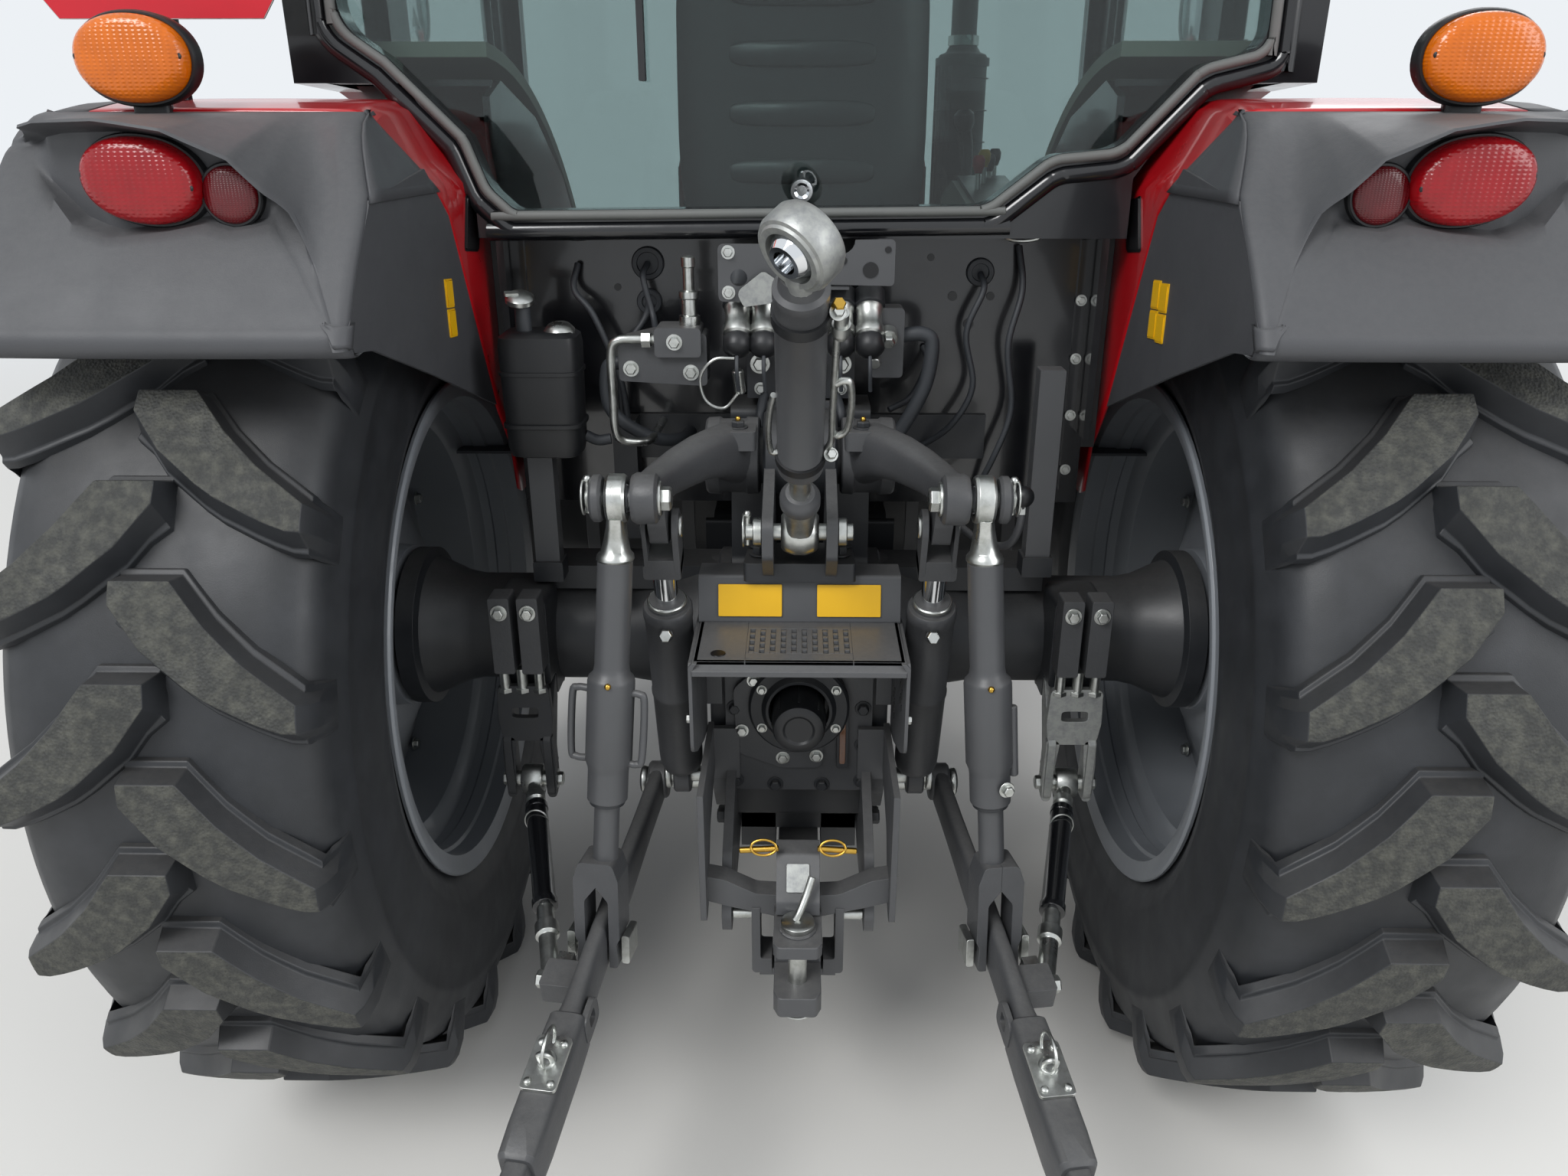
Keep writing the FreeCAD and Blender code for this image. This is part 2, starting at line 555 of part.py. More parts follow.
# Lift arms on the rockshaft
SPLAY = math.degrees(math.atan2(size("link_end_x - link_front_x"), size("link_front_y - link_end_y")))
arm_parts = [bar("rockshaft", "45", "2 * hub_out", ("-hub_out", "shaft_y", "shaft_z"), "x")]
for side_name, s in SIDES:
    profile = side_slab(f"arm_side_{side_name}", [
        ("shaft_y", "shaft_z - 58"), ("shaft_y", "shaft_z + 58"), ("shaft_y - 46", "shaft_z + 60", "60"),
        ("arm_y - 10", "arm_z + 34", "30"), ("arm_y - 36", "arm_z + 12", "16"),
            ("arm_y - 36", "arm_z - 12", "16"),
        ("arm_y - 10", "arm_z - 34", "20"), ("lift_eye_y - 22", "lift_eye_z - 24", "14"),
        ("lift_eye_y + 10", "lift_eye_z - 28", "20"), ("shaft_y - 50", "shaft_z - 64", "40")], "600")
    sweep = plan_slab(f"arm_plan_{side_name}", [
        (f"{s} * hub_in", "shaft_y"), (f"{s} * hub_in", "shaft_y - 40", "40"),
        (f"{s} * (lift_x - 15)", "lift_eye_y + 62", "40"), (f"{s} * (lift_x - 15)", "arm_y - 40"),
        (f"{s} * (lift_x + 15)", "arm_y - 40"), (f"{s} * (lift_x + 15)", "lift_eye_y + 80", "60"),
        (f"{s} * hub_out", "shaft_y - 60", "60"), (f"{s} * hub_out", "shaft_y")][::s], "400", z="shaft_z")
    arm_parts.append(common(f"arm_{side_name}", profile, sweep))
    arm_parts.append(bar(f"arm_hub_{side_name}", "60", "hub_out - hub_in",
                         ("hub_in" if s > 0 else "-hub_out", "shaft_y", "shaft_z"), "x"))
    start = "lift_x + 10" if s > 0 else "-(arm_x + 24)"
    arm_parts.append(bar(f"arm_pin_{side_name}", "14", "arm_x - lift_x + 14", (start, "arm_y", "arm_z"),
        "x"))
node("lift_arms", fuse("lift_arms", *arm_parts))

# Lift rods: a tube between an upper eye and a lower yoke that straddles the lower link
for side_name, s in SIDES:
    lean = math.degrees(math.atan2(size(f"{MID_X} - arm_x"), size("arm_z - link_mid_z")))
    tilt = math.degrees(math.atan2(size("arm_y - link_mid_y"), size("arm_z - link_mid_z")))
    reach = math.sqrt(size("arm_y - link_mid_y") ** 2 + size("arm_z - link_mid_z") ** 2 +
                      size(f"{MID_X} - arm_x") ** 2)
    top = V(s * size("arm_x"), size("arm_y"), size("arm_z"))
    low = V(s * size(MID_X), size("link_mid_y"), size("link_mid_z"))
    axis = (low - top).normalize()
    radius = size("rod_radius")
    tube = Part.makeCylinder(radius, reach - 230, top + axis * 60, axis)
    sleeve = Part.makeCylinder(radius + 9, 150, top + axis * 250, axis)
    neck = Part.makeCylinder(radius * 0.72, 60, top + axis * 24, axis)
    eye = Part.makeCylinder(34, 30, top - V(15, 0, 0), V(1, 0, 0))
    hole = Part.makeCylinder(14 + size("run_gap"), 60, top - V(30, 0, 0), V(1, 0, 0))
    half = size("link_thick") / 2 + 3
    crown = Part.makeBox(2 * half + 32, 60, 40, V(-half - 16, -30, 74))
    tines = [crown]
    for t in (-1, 1):
        tines.append(Part.makeBox(16, 60, 122, V(-half - 16 if t < 0 else half, -30, -30)))
        tines.append(Part.makeCylinder(14, 14, V(t * (half + 16), 0, 0), V(t, 0, 0)))
    yoke = tines[0].fuse(tines[1:])
    yoke.Placement = FreeCAD.Placement(low, FreeCAD.Rotation(V(0, 0, 1), s * SPLAY).multiply(
        FreeCAD.Rotation(V(1, 0, 0), -tilt)))
    stub = Part.makeCylinder(radius, 90, low - axis * 175, axis)
    rod = tube.fuse([sleeve, neck, eye, yoke, stub]).cut(hole).removeSplitter()
    node(f"lift_rod_{side_name}", solid(f"lift_rod_{side_name}", rod))

# Lower links with their ball ends and stabilisers
for side_name, s in SIDES:
    slope = math.degrees(math.atan2(size("link_front_z - link_end_z"), size("link_front_y - link_end_y")))
    run = math.hypot(size("link_front_y - link_end_y"), size("link_end_x - link_front_x"))
    deep = size("link_deep") / 2
    thick = size("link_thick")
    drop = size("link_front_z - link_end_z")
    mid = size("link_front_y - link_mid_y") / size("link_front_y - link_end_y")

    def at(share, up=0.0):
        return V(0, -run * share, -drop * share + up)

    half = thick / 2
    pts = [at(-0.0, -32), at(-0.035, 0), at(0.0, 32), at(0.14, deep * 0.72), at(mid - 0.1, deep),
           at(mid + 0.12, deep), at(0.72, deep * 0.8), at(0.965, deep * 0.62), at(0.965, -deep * 0.62),
           at(0.72, -deep * 0.8), at(mid + 0.1, -deep * 0.8), at(mid - 0.12, -deep * 0.8),
               at(0.14, -deep * 0.7)]
    wire = Part.makePolygon([p - V(half, 0, 0) for p in pts + pts[:1]])
    plate = Part.Face(wire).extrude(V(thick, 0, 0))
    turn = FreeCAD.Rotation(V(0, 0, 1), s * SPLAY)
    base = V(s * size("link_front_x"), size("link_front_y"), size("link_front_z"))
    plate.Placement = FreeCAD.Placement(base, turn)
    front = V(base)
    end = V(s * size("link_end_x"), size("link_end_y"), size("link_end_z"))
    boss = Part.makeCylinder(34, 36, front - V(18, 0, 0), V(1, 0, 0))
    ball_ring = Part.makeCylinder(44, 46, end - V(23, 0, 0), V(1, 0, 0))
    brace_from = V(s * size("brace_x"), size("link_front_y"), size("link_front_z"))
    brace_to = V(s * size(f"{MID_X} + 64"), size("link_mid_y - 82"), size("link_mid_z - 17"))
    way = brace_to - brace_from
    length = way.Length
    way.normalize()
    brace = Part.makeCylinder(19, length - 180, brace_from + way * 16, way)
    brace_rod = Part.makeCylinder(14, 172, brace_from + way * (length - 170), way)
    brace_eye = Part.makeCylinder(26, 38, brace_from - V(19, 0, 0), V(1, 0, 0))
    knob = Part.makeBox(64, 52, 44, V(0 if s > 0 else -64, -26, -22))
    knob.Placement = FreeCAD.Placement(base + turn.multVec(at(mid + 0.1)), turn)
    holes = [Part.makeCylinder(16 + size("run_gap"), 100, front - V(50, 0, 0), V(1, 0, 0)),
             Part.makeCylinder(size("ball_bore"), 100, end - V(50, 0, 0), V(1, 0, 0)),
             Part.makeCylinder(14 + size("run_gap"), 100, brace_from - V(50, 0, 0), V(1, 0, 0))]
    link = plate.fuse([boss, ball_ring, knob, brace, brace_rod, brace_eye]).cut(holes).removeSplitter()
    node(f"lower_link_{side_name}", solid(f"lower_link_{side_name}", link))

# Lift cylinders
for side_name, s in SIDES:
    low = V(s * size("lift_x"), size("lift_low_y"), size("lift_low_z"))
    eye = V(s * size("lift_x"), size("lift_eye_y"), size("lift_eye_z"))
    way = eye - low
    length = way.Length
    way.normalize()
    gap = size("run_gap")
    radius = size("lift_radius")
    barrel = Part.makeCylinder(radius, 380, low + way * 28, way).cut(
        Part.makeCylinder(radius - 9, 330, low + way * 58, way)).cut(
        Part.makeCylinder(18 + gap, 400, low + way * 58, way))
    foot = Part.makeCylinder(32, 30, low - V(15, 0, 0), V(1, 0, 0)).fuse(
        Part.makeCylinder(26, 34, low, way)).cut(Part.makeCylinder(14 + gap, 60, low - V(30, 0, 0),
            V(1, 0, 0)))
    node(f"lift_barrel_{side_name}", solid(f"lift_barrel_{side_name}", barrel.fuse(foot).removeSplitter()))
    ram = Part.makeCylinder(18, length - 76 - 190, low + way * 190, way).fuse(
        Part.makeCylinder(radius - 9 - gap, 30, low + way * 190, way))
    fork = [Part.makeBox(56, 52, 22, V(-28, -26, -82))]
    for t in (-1, 1):
        fork.append(Part.makeBox(10, 52, 108, V(-28 if t < 0 else 18, -26, -82)))
    clevis = fork[0].fuse(fork[1:])
    angle = math.degrees(math.atan2(-way.y, way.z))
    clevis.Placement = FreeCAD.Placement(eye, FreeCAD.Rotation(V(1, 0, 0), angle))
    node(f"lift_ram_{side_name}", solid(f"lift_ram_{side_name}", ram.fuse(clevis).removeSplitter()))

# Top link: barrel with a lower eye, rod with a ball end
low = V(0, size("top_low_y"), size("top_low_z"))
end = V(0, size("top_end_y"), size("top_end_z"))
way = end - low
length = way.Length
way.normalize()
gap = size("run_gap")
radius = size("top_radius")
barrel = Part.makeCylinder(radius, 330, low + way * 50, way).cut(
    Part.makeCylinder(radius - 8, 280, low + way * 80, way)).cut(Part.makeCylinder(16 + gap, 330,
        low + way * 80, way))
foot = Part.makeCylinder(36, 60, low - V(30, 0, 0), V(1, 0, 0)).fuse(Part.makeCylinder(26, 60, low,
    way)).cut(
    Part.makeCylinder(13 + gap, 90, low - V(45, 0, 0), V(1, 0, 0)))
node("top_link_barrel", solid("top_link_barrel", barrel.fuse(foot).removeSplitter()))
rod = Part.makeCylinder(16, length - 120 - 30, low + way * 120, way).fuse(
    [Part.makeCylinder(radius - 8 - gap, 25, low + way * 120, way),
        Part.makeCylinder(38, 44, end - V(22, 0, 0), V(1, 0, 0))]
).cut(Part.makeCylinder(size("top_bore"), 90, end - V(45, 0, 0), V(1, 0, 0)))
node("top_link_rod", solid("top_link_rod", rod.removeSplitter()))

# Drive shaft with its guard
node("pto_shaft", fuse("pto_shaft", bar("pto_spline", "pto_radius", "pto_face - 25 - pto_end",
    ("0", "pto_end", "pto_z"), "y"),
                       bar("pto_core", "24", "60", ("0", "pto_face - 26", "pto_z"), "y")))
guard_side = [("pto_face", "guard_top - plate"), ("pto_face", "guard_top - guard_drop - 20"),
              ("pto_face - 90", "guard_top - guard_drop"), ("guard_end + 60",
                  "guard_top - guard_drop + 60"),
              ("guard_end", "guard_top - 60"), ("guard_end", "guard_top - plate")]
guard = [plan_slab("guard_plate", [
    ("-guard_half", "pto_face"), ("-guard_half", "guard_end + 50"), ("-guard_half + 40", "guard_end"),
    ("guard_half - 40", "guard_end"), ("guard_half", "guard_end + 50"), ("guard_half", "pto_face")],
    "plate", z="guard_top - plate / 2")]
for side_name, s in SIDES:
    guard.append(side_slab(f"guard_side_{side_name}", guard_side, "plate",
        f"{s} * (guard_half - plate / 2)"))
guard.append(block("guard_back", ("-guard_half", "guard_half"), ("pto_face - plate", "pto_face"),
                   ("guard_top - 60", "guard_top - plate")))
node("pto_guard", fuse("pto_guard", *guard))

# Drawbar with its hanger
hanger = []
for side_name, s in SIDES:
    hanger.append(side_slab(f"hanger_{side_name}", [
        ("-205", "505"), ("-60", "505"), ("-60", "452"), ("-205", "430"), ("-470", "430"), ("-478", "520"),
        ("-420", "610"), ("-300", "650"), ("pto_face", "650"), ("pto_face", "620")],
        "18", f"{s} * (hanger_x - 40)"))
hanger.append(block("hanger_yoke", ("-hanger_x + 31", "hanger_x - 31"), ("-460", "-400"),
    ("430", "bar_low + bar_thick + 18")))
hanger.append(block("hanger_strap", ("-hanger_x + 31", "hanger_x - 31"), ("-460", "-400"),
                    ("bar_low - 14", "bar_low")))
for side_name, s in SIDES:
    near, far = ("bar_half + air", "hanger_x - 31") if s > 0 else ("-(hanger_x - 31)", "-(bar_half + air)")
    hanger.append(block(f"hanger_post_{side_name}", (near, far), ("-460", "-400"), ("bar_low - 14", "460")))
    hanger.append(block(f"hanger_front_{side_name}", (near, far), ("-120", "-62"), ("bar_low", "505")))
hanger.append(block("hanger_cross", ("-hanger_x + 31", "hanger_x - 31"), ("-120", "-62"),
                    ("bar_low + bar_thick", "504")))
node("drawbar_hanger", fuse("drawbar_hanger", *hanger))
jaw_z = "bar_low + bar_thick + jaw_gap"
drawbar = fuse("drawbar_body",
               plan_slab("bar_plate", [("-bar_half", "-60"), ("-bar_half", "bar_end + 20"),
                   ("-bar_half + 20", "bar_end"),
                                       ("bar_half - 20", "bar_end"), ("bar_half", "bar_end + 20"),
                                           ("bar_half", "-60")],
                         "bar_thick", z="bar_low + bar_thick / 2"),
               plan_slab("jaw_plate", [("-bar_half", "-470"), ("-bar_half", "bar_end + 20"),
                   ("-bar_half + 20", "bar_end + 4"),
                                       ("bar_half - 20", "bar_end + 4"), ("bar_half", "bar_end + 20"),
                                           ("bar_half", "-470")],
                         "jaw_thick", z=f"{jaw_z} + jaw_thick / 2"),
               block("jaw_riser", ("-bar_half", "bar_half"), ("-484", "-464"),
                   ("bar_low + bar_thick", f"{jaw_z} + jaw_thick")))
pin_way = bar("pin_way", "hitch_pin_radius", "400", ("0", "hitch_pin_y - 4", "300"))
node("drawbar", cut("drawbar", drawbar, pin_way))
node("hitch_pin", fuse("hitch_pin", bar("hitch_pin_bar", "hitch_pin_radius",
    "bar_thick + jaw_gap + jaw_thick + 60",
                                        ("0", "hitch_pin_y - 4", "bar_low - 30")),
                       bar("hitch_pin_head", "24", "16", ("0", "hitch_pin_y - 4", f"{jaw_z} + jaw_thick"))))


def arc(radius, angles):
    """Points on a circle about the rear axle, in side view."""
    return [(f"({radius}) * {math.cos(math.radians(a)):.4f}",
             f"rear_radius + ({radius}) * {math.sin(math.radians(a)):.4f}") for a in angles]


# Cab frame: two side walls, front wall and upper rear wall, each with its openings
ARCH = (12, 25, 40, 55, 70, 82)
ARCH_TOP = f"rear_radius + {ARCH_RADIUS} - 32"
frames = []
for side_name, s in SIDES:
    mid_x = f"{s} * (cab_half - cab_wall / 2)"
    wall = side_slab(f"side_wall_{side_name}", [
        ("cab_rear", "cab_top"), ("cab_front", "cab_top"), ("cab_front", "cab_low"), ("910", "cab_low")]
        + arc(ARCH_RADIUS + " - 30", ARCH) + [("cab_rear", ARCH_TOP)], "cab_wall", mid_x)
    doorway = side_slab(f"doorway_{side_name}", [
        ("door_hinge_y + 35", "cab_top - rail", "corner"), ("cab_front - rail - 50", "cab_top - rail",
            "corner"),
        ("cab_front - rail", "floor_z + 12", "corner"), ("978", "floor_z + 12")]
        + arc(ARCH_RADIUS + " + 40", ARCH[1:4]) + [("door_hinge_y + 35", "1727")], "cab_wall + 4", mid_x)
    quarter = side_slab(f"quarter_{side_name}", [
        ("cab_rear + rail", "cab_top - rail", "corner"), ("door_hinge_y - 35", "cab_top - rail", "corner"),
        ("door_hinge_y - 35", "1748", "corner"), ("cab_rear + rail", "1792", "corner")], "cab_wall + 4",
            mid_x)
    frames.append(cut(f"side_{side_name}", wall, doorway, quarter))
    near, far = ("cab_half - 2", "cab_half + 12") if s > 0 else ("-(cab_half + 12)", "-(cab_half - 2)")
    for i, z in enumerate(("cab_top - 300", "1800")):
        frames.append(block(f"hinge_plate_{side_name}_{i}", (near, far),
            ("door_hinge_y - 20", "door_hinge_y + 30"),
                            (f"{z} - 40", f"{z} - run_gap")))
        frames.append(bar(f"hinge_barrel_{side_name}_{i}", "11", "40 - run_gap",
                          (f"{s} * (cab_half + 12)", "door_hinge_y + 35", f"{z} - 40")))
front_wall = rear_slab("front_wall", [
    ("-cab_half + cab_wall", "cab_top"), ("cab_half - cab_wall", "cab_top"),
        ("cab_half - cab_wall", "cab_low"),
    ("-cab_half + cab_wall", "cab_low")], "cab_wall", y="cab_front - cab_wall / 2")
front_window = rear_slab("front_window", [
    ("-cab_half + cab_wall + 20", "cab_top - rail", "corner"),
        ("cab_half - cab_wall - 20", "cab_top - rail", "corner"),
    ("cab_half - cab_wall - 20", "floor_z + 60", "corner"), ("hood_half + 20", "floor_z + 60", "corner"),
    ("hood_half - 40", "hood_top + 30", "corner"), ("-hood_half + 40", "hood_top + 30", "corner"),
    ("-hood_half - 20", "floor_z + 60", "corner"), ("-cab_half + cab_wall + 20", "floor_z + 60", "corner")],
    "cab_wall + 4", y="cab_front - cab_wall / 2")
frames.append(cut("front_frame_wall", front_wall, front_window))
REAR_WINDOW = [("-cab_half + 98", "cab_top - rail", "corner"), ("-cab_half + 80", "1800", "70"),
               ("-cab_half + 150", "1752", "50"), ("-waist - 15", "1642"), ("-waist + 13", "1566", "60"),
               ("-waist + 50", "1532", "30"), ("waist - 215", "1540", "60"), ("waist - 118", "1615", "60"),
               ("waist - 15", "1625", "60"), ("waist + 95", "1742", "60"), ("cab_half - 84", "1765", "40"),
               ("cab_half - 98", "cab_top - rail", "corner")]
rear_wall = rear_slab("rear_wall", [
    ("-cab_half + cab_wall", "cab_top"), ("cab_half - cab_wall", "cab_top"),
    ("cab_half - cab_wall", ARCH_TOP), ("fender_in + 82", ARCH_TOP),
    ("fender_in - 12", "1580"), ("fender_in - 12", "1490"), ("-fender_in + 12", "1490"),
        ("-fender_in + 12", "1580"),
    ("-fender_in - 82", ARCH_TOP),
    ("-cab_half + cab_wall", ARCH_TOP)], "cab_wall", y="cab_rear + cab_wall / 2")
frames.append(cut("rear_frame_wall", rear_wall, rear_slab("rear_window_hole", REAR_WINDOW, "cab_wall + 4",
                                                          y="cab_rear + cab_wall / 2")))
# Tub: floor, walls between the rear wheels, shelf over the arches and the recess behind the seat
tub = [plan_slab("floor_plate", [
    ("-waist", "70"), ("-waist", "895"), ("-cab_half + cab_wall", "912"),
        ("-cab_half + cab_wall", "cab_front - cab_wall"),
    ("cab_half - cab_wall", "cab_front - cab_wall"), ("cab_half - cab_wall", "912"), ("waist", "895"),
        ("waist", "70")],
    "24", z="floor_z - 12"),
    block("recess_wall", ("-waist + 12", "waist - 12"), ("58", "70"), ("floor_z - 24", "1490")),
    block("rear_sill", ("-waist + 12", "waist - 12"), ("0", "70"), ("1490", "1502"))]
for side_name, s in SIDES:
    tub.append(side_slab(f"tub_wall_{side_name}", [("0", "1150"),
        ("0", "1700")] + arc(ARCH_RADIUS + " - 20", (85, 70, 55, 40, 25, 18))
                         + [("895", "floor_z - 24"), ("58", "floor_z - 24"), ("58", "1150")], "12",
                             f"{s} * (waist - 6)"))
    tub.append(side_slab(f"tub_shelf_{side_name}", arc(ARCH_RADIUS + " - 30", (86, 70, 55, 40, 25, 16))
                         + arc(ARCH_RADIUS + " - 20", (16, 25, 40, 55, 70, 86)),
                             "cab_half - cab_wall - waist",
                         f"{s} * (cab_half - cab_wall + waist) / 2"))
node("cab_tub", fuse("cab_tub", *tub))

# Roof: (height over the posts, inset from its widest outline, corner rounding)
ROOF = (("0", "40", "120"), ("0.3 * roof_thick", "0", "150"), ("0.75 * roof_thick", "14", "150"),
        ("0.95 * roof_thick", "60", "130"), ("roof_thick", "130", "110"))
roof_half = "(cab_half + 40)"
roof_back = "(cab_rear - roof_over - 20)"
roof_front = "(cab_front + roof_over + 30)"
node("roof", lofted("roof", "XY_Plane", [(f"cab_top + {height}", [
    (f"-{roof_half} + {inset}", f"{roof_back} + {inset}", turn_radius),
        (f"{roof_half} - {inset}", f"{roof_back} + {inset}", turn_radius),
    (f"{roof_half} - {inset}", f"{roof_front} - {inset}", turn_radius),
        (f"-{roof_half} + {inset}", f"{roof_front} - {inset}", turn_radius)])
    for height, inset, turn_radius in ROOF]))

# Fixed glass
windscreen = common("windscreen", rear_slab("windscreen_sheet", [
    ("-cab_half + cab_wall + 20", "cab_top - rail", "corner"),
        ("cab_half - cab_wall - 20", "cab_top - rail", "corner"),
    ("cab_half - cab_wall - 20", "floor_z + 60", "corner"), ("hood_half + 20", "floor_z + 60", "corner"),
    ("hood_half - 40", "hood_top + 30", "corner"), ("-hood_half + 40", "hood_top + 30", "corner"),
    ("-hood_half - 20", "floor_z + 60", "corner"), ("-cab_half + cab_wall + 20", "floor_z + 60", "corner")],
    "glass", y="cab_front - cab_wall / 2"), block("windscreen_box", ("-cab_half", "cab_half"),
        ("cab_front - cab_wall", "cab_front"),
                                                  ("cab_low", "cab_top")))
panes = [windscreen, rear_slab("rear_window", REAR_WINDOW, "glass", y="cab_rear + cab_wall / 2")]
for side_name, s in SIDES:
    panes.append(side_slab(f"quarter_glass_{side_name}", [
        ("cab_rear + rail", "cab_top - rail", "corner"), ("door_hinge_y - 35", "cab_top - rail", "corner"),
        ("door_hinge_y - 35", "1748", "corner"), ("cab_rear + rail", "1792", "corner")], "glass",
            f"{s} * (cab_half - cab_wall / 2)"))
node("cab_glass", fuse("cab_glass", *panes))

# Doors
for side_name, s in SIDES:
    leaf = side_slab(f"door_leaf_{side_name}", [
        ("door_hinge_y + 41", "cab_top - rail - 6", "corner"),
            ("cab_front - rail - 57", "cab_top - rail - 6", "corner"),
        ("cab_front - rail - 6", "floor_z + 18", "corner"), ("986", "floor_z + 18")]
        + arc(ARCH_RADIUS + " + 48", ARCH[1:4]) + [("door_hinge_y + 41", "1738")], "cab_wall - 10",
        f"{s} * (cab_half - cab_wall / 2)")
    pane = [("door_hinge_y + 91", "cab_top - rail - 60", "corner"),
        ("cab_front - rail - 108", "cab_top - rail - 60", "corner"),
            ("cab_front - rail - 56", "floor_z + 68", "corner"), ("1020", "floor_z + 68")] \
        + arc(ARCH_RADIUS + " + 96", ARCH[1:4]) + [("door_hinge_y + 91", "1790")]
    hole = side_slab(f"door_hole_{side_name}", pane, "cab_wall + 10", f"{s} * (cab_half - cab_wall / 2)")
    near, far = ("cab_half - 6", "cab_half + 6") if s > 0 else ("-(cab_half + 6)", "-(cab_half - 6)")
    straps = []
    for i, z in enumerate(("cab_top - 300", "1800")):
        straps.append(block(f"door_strap_{side_name}_{i}", (near, far),
            ("door_hinge_y + 41", "door_hinge_y + 100"),
                            (z, f"{z} + 60")))
        straps.append(bar(f"door_barrel_{side_name}_{i}", "11", "60",
            (f"{s} * (cab_half + 12)", "door_hinge_y + 35", z)))
    node(f"door_{side_name}", cut(f"door_{side_name}", fuse(f"door_body_{side_name}", leaf, *straps), hole))
    node(f"door_glass_{side_name}", side_slab(f"door_glass_{side_name}", pane, "glass",
        f"{s} * (cab_half - cab_wall / 2)"))

# Fenders: the crown over the tyre in side view, from the rear lip to the front edge, as (y, height over the axle)
CROWN = [("cap_rear", "cap_low"), ("cap_rear + 55", "cap_low + 80"), ("cap_rear + 130", "cap_low + 160"),
         ("cap_rear + 200", "fender_top - 75"), ("cap_join - 30", "fender_top - 32"),
             ("-200", "fender_top - 10"),
         ("-50", "fender_top - 4"), ("150", "fender_top - 13"), ("315", "fender_top - 57"),
             ("500", "fender_top - 149"),
         ("640", "fender_top - 263"), ("760", "fender_top - 409"), ("840", "fender_top - 561"),
             ("880", "fender_top - 740")]
UNDER = [("560", "fender_top - 520"), ("300", "fender_top - 690"), ("-300", "fender_top - 690"),
         ("cap_rear + 200", "cap_low - 250"), ("cap_rear + 70", "cap_low - 110")]
HOLLOW = [("cap_rear + 14", "cap_low"), ("cap_rear + 67", "cap_low + 74"),
    ("cap_rear + 139", "cap_low + 151")] \
    + [(y, f"({z}) - fender_skin") for y, z in CROWN[3:11]] \
    + [("749", "fender_top - 416"), ("828", "fender_top - 566"), ("868", "fender_top - 800"),
        ("cap_rear + 14", "fender_top - 800")]
fender_roof = "(fender_top + 101)"
caps = []
tail_lamps = []
amber_lamps = []
outers = {}
